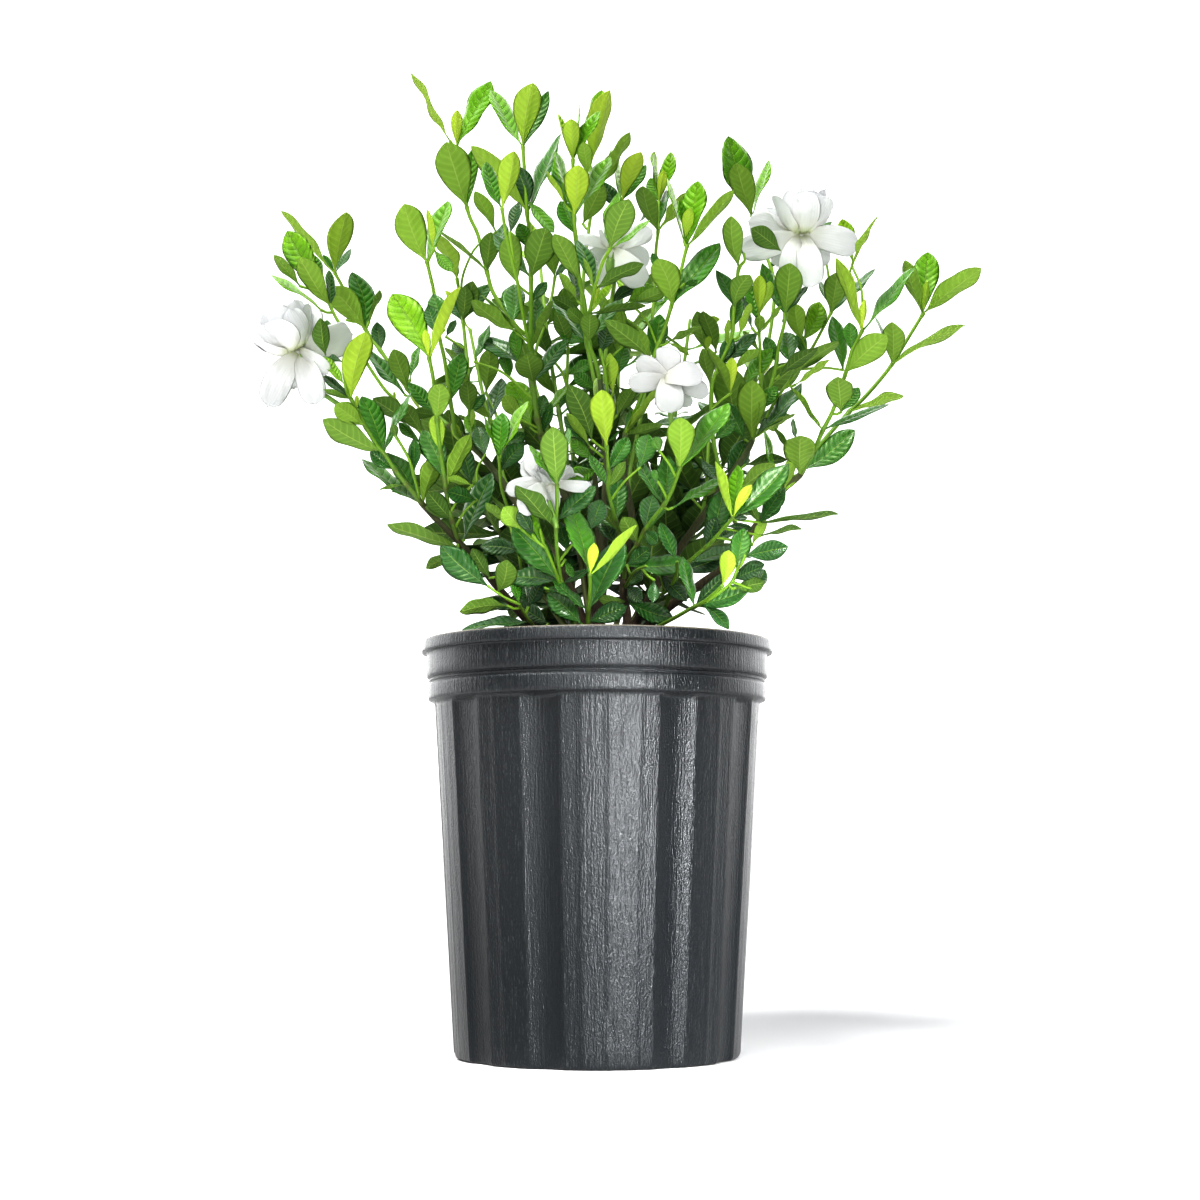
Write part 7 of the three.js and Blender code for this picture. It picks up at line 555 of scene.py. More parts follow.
        [142.6,-7.2,398.8,144.7,-7.2,397.5,177.6,-9.4,425.9,-0.38,-0.85,0.37,19.3,1.9,1.4],
        [140.4,-8,395.3,140.4,-8,394.6,136.5,-51.9,413.4,0.05,0.39,0.92,21.5,2.9,0],
        [129,-10.8,384.3,129,-10.8,384.3,134.7,-22.1,405.7,-0.49,0.71,0.5,11.1,3.2,0],
        [135.5,-2.9,409.6,135.5,-2.9,409.6,122.9,-15.8,426.3,0.75,0.11,0.65,11,1.8,0],
        [137.8,-9,418.3,137.8,-9,418.3,135.7,-10.2,434.3,0.8,-0.59,0.06,7.2,1.6,0],
        [123,-9.4,392.9,123,-9.4,392.9,115.1,-21.2,423,0.86,-0.5,0.03,15.2,3,1.4],
    ]),
    "leafy_shoot_27": ([
        [1.22,1.6,54.2,-92,385.1,49.4,-79.5,372.7,44.3,-70.2,364.2,38.6,-62.3,358.1,32.1,-52.3,350.2,27.6,-43.3,342.7,19.7,-28.6,331.8,18.5,-13.6,321.4],
        [0.76,0.95,40.2,-79,378.1,43.9,-77.7,372,46.2,-73.7,367.4],
        [0.76,0.95,41.3,-90.1,396.1,47.4,-90.2,387.7,51.9,-86.1,379.3],
        [0.76,0.95,49.7,-69.5,362.3,47,-69.8,361.3,43.3,-68.8,363.2],
    ], [
        [54.2,-92,385.1,54.2,-92,385.1,53.8,-123.3,410.8,0.04,0.63,0.77,18.2,3.6,0],
        [54.2,-92,385.1,56.8,-92,386.4,86,-80.4,429.3,-0.56,-0.62,0.55,23.3,2.6,0],
        [44.5,-70.6,364.5,41.7,-70.6,365.5,27.9,-63.7,393.6,0.61,-0.65,0.46,14.1,2,0],
        [44.5,-70.6,364.5,43.7,-70.6,365.5,47.3,-68.6,396.2,0,-1,0.06,13.7,2,0],
        [40.2,-79,378.1,40.2,-79,378.1,36.9,-71.4,387.1,-0.32,-0.78,0.54,5.5,2.2,0],
        [31.9,-51.7,349.8,32.2,-51.7,350.3,37.6,-33.5,375.3,0.14,-0.82,0.56,13.9,1.8,0],
        [41.3,-90.1,396.1,41.3,-90.1,396.1,38.2,-76.9,408.4,-0.3,-0.69,0.66,8.1,2.2,0],
        [49.7,-69.5,362.3,49.7,-69.5,362.3,81.8,-67.3,381,-0.43,-0.44,0.79,16.5,2.6,-1.3],
        [27.6,-43.3,342.7,27.6,-43.3,342.7,17.5,-66.1,355.6,-0.38,0.58,0.72,12.6,2.3,0],
        [31.9,-51.7,349.8,34.2,-51.7,350.3,45.6,-52,364.5,-0.64,-0.58,0.5,8,2.4,0],
        [31.9,-51.7,349.8,28.8,-51.7,349,39.5,-66.1,339.7,-0.66,-0.69,0.31,9,1.4,0],
    ]),
    "leafy_shoot_28": ([
        [1.06,1.44,-65.2,-62,396.6,-64.8,-56.3,388.8,-63.8,-48.3,378,-58.8,-37.6,364.7,-49.7,-24.6,350.9,-35.8,-8.8,338.6,-25.7,3.5,333.3],
    ], [
        [-65.2,-62,396.6,-64.6,-62,395.9,-46.7,-55.7,436.4,-0.75,-0.52,0.41,19.8,3.2,-1.3],
        [-65.2,-62,396.6,-64.6,-62,397.3,-63.5,-58,428,-0.37,-0.92,0.13,13.7,2.4,0],
        [-65.2,-62,396.6,-65.9,-62,397.3,-75.4,-59.2,425.6,0.92,-0.22,0.33,13.3,3,0],
        [-64.8,-56.3,388.8,-64.8,-56.3,388.8,-49.9,-44.3,409.6,0.38,-0.89,0.24,12.5,1.6,-1.3],
    ]),
    "leafy_shoot_29": ([
        [0.99,1.37,-81,62,468.2,-76.3,56,458,-72.3,49.6,447.1,-69.5,39,429,-67.2,23.6,404.4,-59.3,5.7,382.9],
        [0.76,0.95,-76.9,48.9,446.2,-74.4,48.5,443.4,-71.6,47.1,442.9],
    ], [
        [-81,62,468.2,-81,62,468.2,-77.3,47.5,498.3,-0.03,0.9,0.44,15.1,2.4,0],
        [-76.9,48.9,446.2,-78,48.9,447.7,-69.9,64.2,479.7,-0.47,-0.74,0.48,16.1,0.6,0],
        [-76.9,48.9,446.2,-75.8,48.9,444.8,-87.4,38.9,453.4,0.15,0.55,0.82,7.9,2.7,0],
        [-69,35.9,424.1,-69,35.9,424.1,-51.4,38.3,433.2,0.37,-0.85,0.37,10.5,1.6,0],
    ]),
    "leafy_shoot_30": ([
        [1.22,1.67,-25.3,-125,368.2,-25.4,-115.5,356.9,-26.3,-103.4,342.6,-25.2,-88.4,325.1,-22.8,-75.8,310.9,-16.5,-55.4,289.4,-8.8,-22,260.2],
        [0.99,1.14,-32.6,-108,330.2,-28.3,-95.3,320.9,-22.9,-72.7,307.4],
        [0.76,0.95,-48.3,-98.9,343.3,-41.3,-106.1,336.7,-32.6,-108,330.2],
        [0.76,0.95,-36.5,-105.1,342.3,-35.1,-108.1,335.4,-32.6,-108,330.2],
        [0.76,0.95,-4.4,-92.6,344.2,-15.3,-92.8,335.2,-25,-87.2,323.7],
        [0.76,0.95,-40.8,-112.1,338.1,-37.2,-111.5,333.2,-32.6,-108,330.2],
        [0.76,0.95,-20.7,-86.3,325.4,-22.8,-86.2,322,-24.6,-85,321.3],
        [0.76,0.95,-33.9,-77.8,308.1,-28.8,-76.8,306.6,-22.9,-72.7,307.4],
    ], [
        [-25.3,-125,368.2,-25.3,-125,368.2,-27.5,-149.1,399.4,-0.05,0.79,0.61,17.8,2.2,0],
        [-25.3,-125,368.2,-26.5,-125,368.9,-42.1,-123.6,392.9,0.7,-0.53,0.48,12.7,3,0],
        [-25.3,-125,368.2,-23.4,-125,370.2,-18.9,-107.4,406.9,-0.85,-0.43,0.31,18,2.6,1.3],
        [-26.2,-104.3,343.6,-28.8,-104.3,343.8,-49.6,-133.5,364.8,0.28,0.42,0.86,17.7,1.5,-1.3],
        [-48.3,-98.9,343.3,-48.3,-98.9,343.3,-59.6,-105.8,355.9,-0.2,0.92,0.33,13.4,3.1,0],
        [-36.5,-105.1,342.3,-36.5,-105.1,342.3,-48.9,-63.8,366.1,0.26,-0.42,0.87,9.5,2.9,0],
        [-26,-107.4,347.3,-23.6,-107.4,347.2,-2,-105.4,369.4,-0.23,-0.92,0.3,13.7,1.3,-1.3],
        [-4.4,-92.6,344.2,-4.4,-92.6,344.2,2.4,-72.5,366,0.27,-0.75,0.61,13.5,1.3,0],
        [-24.7,-80.2,311.9,-25.4,-80.2,311.1,-57.1,-59.3,317.2,-0.32,-0.68,0.66,17,1.6,2],
        [-24.7,-80.2,311.9,-25.4,-80.2,312.4,-53,-79.4,345.1,-0.06,-1,-0.03,19,1.9,1.3],
        [-40.8,-112.1,338.1,-40.8,-112.1,338.1,-49.7,-108.5,354.3,-0.13,-0.98,0.14,9.3,0.6,0],
        [-32.6,-108,330.2,-32.6,-108,330.2,-47.1,-100.4,358.7,0.66,-0.57,0.49,14.6,3.4,0],
        [-20.7,-86.3,325.4,-20.7,-86.3,325.4,-15.9,-89.2,314.7,-0.14,-0.97,0.2,5.4,2.4,0],
        [-22.9,-76.1,311.2,-20.9,-76.1,311.6,-7,-74.5,320.1,-0.29,-0.74,0.61,7.3,1.6,0],
        [-33.9,-77.8,308.1,-33.9,-77.8,308.1,-25,-79,306.5,-0.14,-0.99,-0.09,4.1,2.4,0],
        [-19.2,-90.6,330.6,-19.2,-90.6,330.6,-24.2,-85.3,349.2,0.17,-0.8,0.58,10.5,1.4,0],
    ]),
    "leafy_shoot_31": ([
        [1.14,1.6,-4.3,-112,312.3,-4.4,-100.7,304,-5.7,-84.1,292.2,-5.8,-68.4,281.4,-3.3,-30,259.6],
        [0.76,0.95,-9.7,-71.9,284.3,-7.8,-71,281.4,-5.8,-68.6,281.5],
    ], [
        [-5.7,-84.2,292.3,-6.4,-84.2,291.6,-27.7,-81.3,311.8,0.52,-0.58,0.63,13.1,2.2,0],
        [-4.3,-112,312.3,-5.6,-112,314.2,-16.7,-95.2,357.7,0.64,-0.65,0.41,21.8,2.7,1.9],
        [-4.3,-112,312.3,-3,-112,312.3,-1.7,-118.9,330.3,0.01,0.93,0.36,8.6,4.9,0],
        [-4.3,-112,312.3,-2.4,-112,311.6,23.1,-119.1,341,-0.73,0.14,0.67,17.7,4,0],
        [-5.7,-84.2,292.3,-3.8,-84.2,292.9,15.5,-74.9,337.7,-0.36,-0.87,0.33,21.9,1.8,0],
        [-9.7,-71.9,284.3,-9.7,-71.9,284.3,-30.4,-72.9,303.6,-0.02,-1,-0.08,15,2,1.3],
        [-5.8,-75,286,-3.8,-75,286,17.7,-61.6,297.2,0.48,-0.87,0.12,12.3,1.3,0],
    ]),
    "leafy_shoot_32": ([
        [0.99,1.29,-51.2,-70,298.4,-47.3,-48.6,292.8,-40.4,-10.6,285.9],
        [0.76,0.95,-72,-63.5,311.1,-62.2,-70.3,303.7,-51.2,-70,298.4],
        [0.76,0.95,-58.4,-70,297.1,-54.5,-68.4,295.4,-50.1,-64,296.8],
        [0.76,0.95,-65.4,-62.4,307.3,-58.8,-68.8,301.5,-51.2,-70,298.4],
        [0.76,0.95,-45.8,-55.5,298.1,-47,-54.7,294.1,-48,-52.3,293.8],
        [0.76,0.95,-33.5,-13.5,291.1,-37.2,-13.4,286.7,-40.4,-10.6,285.9],
    ], [
        [-72,-63.5,311.1,-72,-63.5,311.1,-101.5,-61.2,336,-0.08,-1,-0.01,17.2,1.7,-1.3],
        [-58.4,-70,297.1,-58.4,-70,297.1,-87,-76,293,-0.24,0.62,0.74,13.2,2.3,-3.3],
        [-45,-35.7,290.5,-46.4,-35.7,289.5,-87.1,-29.2,285.8,-0.15,-0.44,0.89,18.3,1.6,4],
        [-65.4,-62.4,307.3,-65.4,-62.4,307.3,-58.8,-87.6,323.6,0.18,0.57,0.8,13.7,2.4,-2],
        [-51.2,-70,298.4,-51.2,-70,298.4,-54.9,-65.3,314.4,0.52,-0.78,0.35,7.6,2.9,0],
        [-45.8,-55.5,298.1,-45.8,-55.5,298.1,-49.1,-44.5,318.5,-0.06,-0.88,0.47,10.4,1.4,0],
        [-33.5,-13.5,291.1,-33.5,-13.5,291.1,-54.2,0.5,305.7,-0.44,-0.87,0.21,12.8,1.3,0],
        [-45.8,-55.5,298.1,-45.8,-55.5,298.1,-36.3,-64.2,313.4,-0.22,-0.94,0.26,10.5,0.7,0],
    ]),
    "leafy_shoot_33": ([
        [0.91,1.14,32.3,-72,323.4,24.8,-50,322.2,19.2,-12.9,316],
        [0.76,0.95,20.6,-11.3,306.8,20.1,-13.5,309.6,19.2,-12.9,316],
        [0.76,0.95,20.2,-44.7,327.3,22,-44.1,322.2,23.4,-41,320.7],
        [0.76,0.95,37.7,-66,314.8,34.2,-66.7,317,29.6,-64,322.9],
    ], [
        [20.6,-11.3,306.8,18.5,-11.3,307.9,2.5,-44.9,305.4,-0.9,0.42,0.13,7.2,2.3,1.4],
        [20.2,-44.7,327.3,19.5,-44.7,327,58.7,-32.3,330.8,0.17,-0.74,0.65,18.3,2.1,1.3],
        [20.2,-44.7,327.3,20.8,-44.7,327.6,35.1,-38.5,339.2,0.31,-0.94,0.12,11.1,1.4,0],
        [20,-18.3,316.9,20.5,-18.3,318.7,30,-11.5,327.6,0.4,-0.88,0.25,9.3,1.5,0],
        [37.7,-66,314.8,37.7,-66,314.8,36.8,-74,300,0.01,-0.88,0.47,7.6,1.6,0],
        [20.6,-11.3,306.8,22.6,-11.3,305.8,49.2,-16.2,295.8,-0.2,-0.98,-0.05,12.8,1.9,1.4],
        [20,-18.3,316.9,19.1,-18.3,315.3,29.5,-34.8,304.6,-0.62,-0.66,0.42,10,1,0],
    ]),
    "leafy_shoot_34": ([
        [0.99,1.29,53.1,-62,327.3,52.9,-46.7,320.6,48.2,-25.5,313.1,36.8,6.3,309.9],
        [0.76,0.95,42.7,-29.8,322.8,44.9,-25.9,315.7,45.3,-17.4,312.3],
    ], [
        [53.1,-62,327.3,53.1,-62,328.7,42.7,-62,352,0.41,-0.9,0.18,11.3,1.6,0],
        [42.7,-29.8,322.8,42.7,-29.8,322.8,58.6,-42,304.8,-0.03,-0.84,0.55,11,0.9,0],
    ]),
    "leafy_shoot_35": ([
        [0.99,1.29,-51.9,-55,332.3,-48.9,-43.6,321,-35.2,-27.9,312.8,-25.3,-15.9,307.3,-14.5,2,299],
        [0.76,0.95,-57.8,-60,353.1,-55.5,-59.8,343,-51.9,-55,332.3],
        [0.76,0.95,-48.6,-53.7,335.2,-50.2,-54.2,331.6,-51.5,-53.6,331],
        [0.76,0.95,-72,-39.4,319.5,-61.1,-44,320.7,-48.9,-43.6,321],
    ], [
        [-57.8,-60,353.1,-57.8,-60,353.1,-72.7,-69.4,365,0.37,0.45,0.82,9.6,2.9,0],
        [-48.6,-53.7,335.2,-48.6,-53.7,335.2,-76,-52.6,338.9,0,-0.95,0.31,12.3,1.1,1.3],
        [-72,-39.4,319.5,-72,-39.4,319.5,-82.9,-46.4,337,-0.15,0.95,0.29,9.8,1.5,0],
    ]),
    "leafy_shoot_36": ([
        [1.14,1.52,88.5,-92,352.2,81.9,-81.4,345.9,75.9,-71.4,340,72.2,-65.6,336.9,64.1,-53.7,331.2,54.6,-36.9,321.9,46.2,-2.9,301.9],
        [0.76,0.95,106.5,-83,350.6,98.7,-89.4,350.5,88,-91.2,351.7],
        [0.76,0.95,106.8,-80.9,342,96.5,-84.6,344,82.8,-82.7,346.7],
        [0.76,0.95,102.5,-67.3,338,92,-74,339.7,77.8,-74.6,342],
    ], [
        [88.5,-92,352.2,89.8,-92,353.5,123.5,-86.5,387.1,-0.32,-0.83,0.46,21.1,2.1,1.9],
        [106.5,-83,350.6,105.4,-83,352.2,122.5,-78,373.4,-0.23,-0.89,0.4,12.3,1.7,0],
        [106.5,-83,350.6,108,-83,352.2,120.2,-80.2,364.6,-0.21,-0.89,0.41,7.8,1.8,0],
        [106.5,-83,350.6,104.1,-83,348.3,99.7,-86.3,361.5,0.54,0.76,0.36,6.4,1.6,0],
        [106.5,-83,350.6,108.7,-83,349.6,156.1,-72.2,357.5,-0.18,0.04,0.98,21.7,1.6,3.3],
        [106.8,-80.9,342,106.8,-80.9,342,132.9,-73.6,347.3,-0.23,0.14,0.96,12.3,1.5,2.6],
        [88.5,-92,352.2,87.2,-92,354.1,77,-106.5,384.9,0.89,0.21,0.4,15.9,3.9,0],
        [88.5,-92,352.2,88.5,-92,354.1,91.8,-87.8,386.1,-0.68,-0.71,0.16,14.4,3.3,0],
        [88.5,-92,352.2,91.1,-92,356.1,99.8,-98.4,371.8,0.15,0.94,0.31,8.1,4.6,1.3],
        [75.9,-71.4,340.1,75.9,-71.4,340.7,84.2,-63.2,374.3,0.04,-0.97,0.23,15.7,1.6,0],
        [62,-50,329.1,62.2,-50,329,91,-40.3,340.2,-0.03,-0.73,0.69,14.4,1.6,1.3],
        [75.9,-71.4,340.1,74.5,-71.4,340.7,89.7,-62.5,349,-0.04,-0.64,0.77,8.6,1.6,1.3],
        [83.9,-84.5,347.7,85.7,-84.5,346.1,100.6,-87.1,345.6,-0.12,-0.79,0.6,6.8,0.9,-1.3],
        [88.5,-92,352.2,89.1,-92,351.5,97.2,-93.9,351.9,-0.23,-0.94,0.26,3.7,0.7,0],
        [102.5,-67.3,338,102.5,-67.3,338,110.5,-73.1,353.2,-0.46,0.72,0.52,8.1,3.4,0],
        [56.5,-40.3,323.8,56.5,-40.3,323.8,82.4,-38.5,333,0.03,-0.95,0.3,14.3,0.7,0],
        [72.2,-65.6,336.9,72.2,-65.6,336.9,78,-72.9,354.6,-0.36,-0.9,0.23,10.5,0.6,0],
    ]),
    "leafy_shoot_37": ([
        [1.06,1.52,79.9,-112,305.2,74.2,-98.8,301,68.3,-85.9,297.3,61.1,-72.1,294.9,52.5,-54.7,291.5,39.3,-27,287,29.6,-1.8,284],
        [0.91,1.06,90.6,-105,317.7,87,-100.8,309.2,79.5,-96.1,303.2,70.7,-89.7,297.5],
        [0.76,0.95,95.1,-106.5,325.3,93.3,-106.3,320.6,90.6,-105,317.7],
        [0.76,0.95,98.9,-96.3,305.8,93.6,-99.3,307.1,87,-100.8,309.2],
        [0.76,0.95,88.9,-100.8,305.3,87.3,-100.4,304.7,84.7,-99.3,307.3],
    ], [
        [63.9,-77.4,295.8,62.2,-77.4,298.2,56.9,-75.9,326.3,0.75,-0.64,0.18,12.7,2.2,0],
        [79.9,-112,305.2,79.9,-112,305.2,82.8,-131,323.6,0.16,0.7,0.7,12,4.2,-1.3],
        [89.9,-104.1,316,90,-104.1,316.5,94.9,-94.6,343.2,0.01,-0.94,0.33,12.7,2.4,0],
        [95.1,-106.5,325.3,95.1,-106.5,325.3,121.1,-102.6,331.3,0.17,-0.98,-0.08,12,1.7,0],
        [89.9,-104.1,316,93.2,-104.1,313.9,107,-94.9,321.1,0.5,-0.85,0.16,8,0.9,0],
        [98.9,-96.3,305.8,98.9,-96.3,305.8,109.1,-79.3,318.9,0.46,-0.7,0.54,8.7,1.6,1.3],
        [88.9,-100.8,305.3,88.9,-100.8,305.3,107.2,-91.5,309.8,-0.46,0.89,0.01,9.4,0.5,0],
        [63.9,-77.4,295.8,64.2,-77.4,296.3,96,-94.7,304.6,-0.51,-0.68,0.54,16.7,2,1.3],
        [67.6,-84.6,297,68.4,-84.6,295.5,83.5,-93.9,280.7,0.25,-0.68,0.69,10.3,1.9,-2.6],
        [64,-77.6,295.9,64,-77.6,295.9,82.8,-82.2,315.9,-0.21,-0.8,0.56,10.5,0.6,0],
        [87.7,-101.6,310.9,87.7,-101.6,310.9,104.1,-111.5,316.8,0.23,-0.91,0.34,10.5,0.7,0],
    ]),
    # the shoots from here on stand at the back of the bush; their leaves have lower tones, partly as older leaves,
    # partly as painted shade in the back of the bush
    "leafy_shoot_38": ([
        [1.14,2.13,-96.6,120,529.4,-90.7,108,500.8,-84.6,95.7,472.6,-75.4,83.1,441.7,-61.2,70.1,406.1,-45.8,56.7,370.3,-31.8,42.5,335.3,-18.1,27.1,300.8,-4.9,8,266.9],
    ], [
        [-96.6,120,529.4,-97.1,119.4,529.5,-115.7,119.3,559.8,0.84,0.17,0.51,16.4,4,0],
        [-90.4,107.3,499.3,-90.9,107.8,498.9,-123.2,145.3,490.6,-0.18,0.06,0.98,21.9,2.1,0],
        [-87.5,101.4,485.7,-88,102,485.3,-122.1,145.5,490.3,-0.04,-0.15,0.99,26,1.9,0],
        [-83.4,94,468.4,-83.6,94.8,468.1,-96.6,134,471.7,0.08,-0.07,0.99,17.5,1.1,0],
        [-83.4,94,468.4,-83.9,93.3,468.6,-111.4,76.9,498.1,0.75,-0.06,0.66,18.6,2.3,0],
        [-78.8,87.7,452.9,-78.5,88.5,452.7,-68.3,138.1,447.9,-0.17,0.13,0.98,23.5,2.1,0],
        [-74.2,82,438.7,-74.7,81.2,438.8,-100.2,53.1,450.4,0.26,0.16,0.95,17.3,2,0],
        [-74.2,82,438.7,-73.4,82.6,438.8,-38.8,118,449.8,-0.07,-0.24,0.97,23.5,1.8,0],
        [-74.2,82,438.7,-75.1,82.3,438.3,-114.6,101.1,446.6,0.19,-0.05,0.98,20.1,1.3,0],
        [-69,77.2,425.5,-68,77.4,425.8,-26.9,94.1,449,-0.44,-0.15,0.89,22.8,1.9,0],
        [-69,77.2,425.5,-69.5,77.9,425.1,-103.2,118,408,-0.35,0.1,0.93,23.8,0.8,0],
        [-63.4,72.1,411.5,-63.7,72.9,411,-87.1,116.4,397.3,-0.1,0.25,0.96,22.1,0.8,0],
        [-63.4,72.1,411.5,-64.3,71.9,411.2,-120.4,73.2,417,0.11,0.34,0.94,26.7,1.6,0],
        [-63.4,72.1,411.5,-62.7,71.5,412,-47.1,55.1,445.7,-0.87,0.14,0.47,18.4,1.5,0],
        [-57.1,66.6,396.6,-58.1,66.5,396.2,-108.1,75.3,404.2,0.13,-0.17,0.98,23.2,1,0],
        [-57.1,66.6,396.6,-57.3,65.6,396.9,-71,30.6,416,0.01,0.48,0.88,18.3,0.6,0],
        [-49.9,60.2,379.7,-50.3,61,379.2,-74.8,100.7,369.8,-0.31,0.03,0.95,22.2,0.8,0],
        [-43.5,54.3,364.4,-42.4,54.5,364.7,-7.3,72.9,391.3,-0.56,-0.11,0.82,20.4,1.6,0],
        [-43.5,54.3,364.4,-43.3,55.4,364,-45.3,110.5,363.8,0.35,0.02,0.93,25,0.6,0],
        [-43.5,54.3,364.4,-44.2,53.4,364.5,-86.5,21,381.4,0.48,-0.18,0.86,25,1.1,0],
        [-36.7,47.5,347.6,-36.1,48.5,347.4,-23.5,92.8,355.9,0.13,-0.22,0.97,20.7,0.8,0],
        [-36.7,47.5,347.6,-37.7,47,347.4,-78.2,33.6,347.2,-0.12,0.34,0.93,19.7,1.4,0],
        [-36.7,47.5,347.6,-36.2,46.6,348.2,-22.2,17.5,383.4,-0.39,0.63,0.67,20.8,0.6,0],
        [-30.7,41.3,332.7,-31,42.4,332.1,-44.5,76,332.8,-0.1,-0.06,0.99,16.8,1.4,0],
        [-30.7,41.3,332.7,-31,40.2,333.1,-55.7,16.2,377.1,0.42,0.68,0.6,26,0.6,0],
        [-30.7,41.3,332.7,-29.6,41.8,333,10.5,71.3,359,-0.1,-0.58,0.81,26.7,1.3,0],
        [-58.1,67.4,398.9,-58.1,67.4,398.9,-60.1,66.3,418.8,0.08,-0.92,0.38,10.5,1.6,0],
    ]),
    "leafy_shoot_39": ([
        [1.14,2.13,-44.5,150,590.8,-41.9,134.8,564.1,-39.3,119.2,537.6,-35.5,103.2,506.5,-29.6,86.8,467.3,-23.2,69.7,425.8,-16.2,51.7,376.1,-8.7,32.2,320.3,-1.4,8,265.5],
    ], [
        [-44.5,150,590.8,-43.8,150.3,590.7,-30.5,173.2,614.4,-0.58,-0.4,0.71,16.6,4,0],
        [-44.5,150,590.8,-45.1,150.4,590.5,-63.3,176.9,605.9,0.02,-0.5,0.87,15.2,4,0],
        [-44.5,150,590.8,-44.8,149.4,591.1,-53.7,153.8,625.3,0.79,-0.54,0.28,15.3,4,0],
        [-41.7,133.1,561.3,-41.8,133.8,560.9,-53.4,189.1,560.9,-0.17,-0.04,0.99,23.8,2.7,0],
        [-40.3,125.2,547.9,-39.6,125,548.1,-1.1,120,568.4,-0.47,0.01,0.88,19.6,2.2,0],
        [-38.7,116.7,532.7,-37.8,116.9,532.7,10.6,141.5,548,-0.12,-0.34,0.93,26,2,0],
        [-38.7,116.7,532.7,-39.4,116.2,532.8,-79.3,97.6,547.3,0.11,0.46,0.88,20.9,2.2,0],
        [-38.7,116.7,532.7,-38.1,116.1,533.1,-10.4,94.9,558.7,-0.28,0.57,0.77,19.8,2.3,0],
        [-36.9,109.1,517.9,-36.3,109.7,517.6,-18.6,151.7,532.5,-0.45,-0.13,0.88,21.1,2.8,0],
        [-35,101.9,503.4,-35.3,101,503.7,-48.9,71.9,527.4,0.34,0.49,0.8,17.9,1.6,0],
        [-35,101.9,503.4,-34,102,503.5,19.6,109.9,520.6,-0.32,0.16,0.93,24.5,2.2,0],
        [-35,101.9,503.4,-35.7,102.6,503,-63,137.2,509.3,0.01,-0.17,0.98,19.4,2,0],
        [-32.5,94.8,486.4,-31.5,95,486.4,7.5,117.5,516.6,-0.3,-0.54,0.79,24.7,1.6,0],
        [-32.5,94.8,486.4,-33.4,94.6,486.3,-72,100.7,506.1,0.47,0.09,0.88,20.9,1.5,0],
        [-30.3,88.6,471.7,-29.7,89.4,471.5,-2.8,135,474.8,0.21,-0.19,0.96,24.1,2.3,0],
        [-30.3,88.6,471.7,-30.8,87.8,472,-58.5,65.9,508.4,0.35,0.66,0.66,21.2,2.4,0],
        [-30.3,88.6,471.7,-29.4,88.2,472,10.3,74.4,497.7,-0.51,0.12,0.85,20.8,2.2,0],
        [-27.7,81.6,454.8,-28.7,81.3,454.8,-69.5,75.3,467.1,0.32,-0.31,0.89,19,1.5,0],
        [-27.7,81.6,454.8,-26.7,81.4,455,11.6,84.7,490.7,-0.65,-0.23,0.72,22.8,2.1,0],
        [-25.2,74.9,438.4,-24.3,74.3,438.7,6.4,60.2,467.2,-0.37,0.61,0.7,19.7,1,0],
        [-25.2,74.9,438.4,-24.3,75.5,438.2,5.5,107.4,443.5,-0.01,-0.16,0.99,19,1.4,0],
        [-25.2,74.9,438.4,-25.6,75.8,438,-42.5,113.7,446.9,-0.22,-0.32,0.92,18.9,2.1,0],
        [-22.9,68.7,423.1,-21.7,68.8,423.3,18.8,78.7,442.6,-0.43,-0.01,0.9,21,1.3,0],
        [-22.9,68.7,423.1,-23.5,69.6,422.7,-49.8,113.5,424.6,0.25,0.11,0.96,23.8,1.4,0],
        [-22.9,68.7,423.1,-23.7,68,423.3,-61.6,51.1,460.7,0.49,0.49,0.72,24.4,2,0],
        [-20.8,63.5,408.6,-21.5,62.5,408.8,-51.1,36.2,437.5,0.3,0.53,0.79,23.2,0.7,0],
        [-20.8,63.5,408.6,-19.7,63.3,408.8,17.8,67.3,442.3,-0.66,-0.1,0.75,22.4,1.9,0],
        [-18.7,58.1,393.6,-17.6,57.8,393.9,27.2,51.6,415.7,-0.45,-0.32,0.83,21.1,1.2,0],
        [-18.7,58.1,393.6,-18.9,59.1,393.2,-29.6,106.2,407.9,0.23,-0.24,0.94,22.9,1.2,0],
        [-16.7,53,379.8,-15.6,52.8,380,20.7,53,409.4,-0.63,-0.01,0.78,22.1,0.6,0],
        [-16.7,53,379.8,-16.4,54.1,379.4,-7.3,102.2,390.3,-0.13,-0.2,0.97,21.9,1.6,0],
        [-16.7,53,379.8,-17.9,52.8,379.7,-71,49.2,382.2,0.06,-0.24,0.97,23.7,1.3,0],
        [-14.4,47,362.7,-13.2,47.2,362.8,35.4,56.9,373.9,-0.24,0.12,0.96,24.2,0.9,0],
        [-14.4,47,362.7,-15,48.1,362.3,-36.6,91.6,371.1,0.03,-0.19,0.98,21.6,0.9,0],
        [-14.4,47,362.7,-13.6,46.2,363.1,12.1,21.2,386.1,-0.53,0.21,0.82,17.8,1.6,0],
        [-12.1,41.1,345.7,-12,42.3,345.3,-13.3,92.5,363.4,-0.42,-0.32,0.85,23.8,1.4,0],
        [-12.1,41.1,345.7,-12,39.9,346.1,-11.5,3.3,384.2,-0.08,0.72,0.69,24.8,0.8,0],
        [-12.1,41.1,345.7,-11,41.5,345.7,23.7,64.1,369.7,-0.57,-0.01,0.82,22.1,1.4,0],
        [-28.3,83.4,459,-28.3,83.4,459,-23.9,84.8,478.5,-0.35,-0.85,0.38,10.5,1.3,0],
    ]),
    "leafy_shoot_40": ([
        [1.14,2.13,19.5,185,581.9,18.2,166,548.9,16.9,146.6,516.3,15,126.7,479.7,11.9,106.2,435.8,8.8,84.9,391.4,6.3,62.5,347.9,4.1,38.2,304.8,2.1,8,262.7],
    ], [
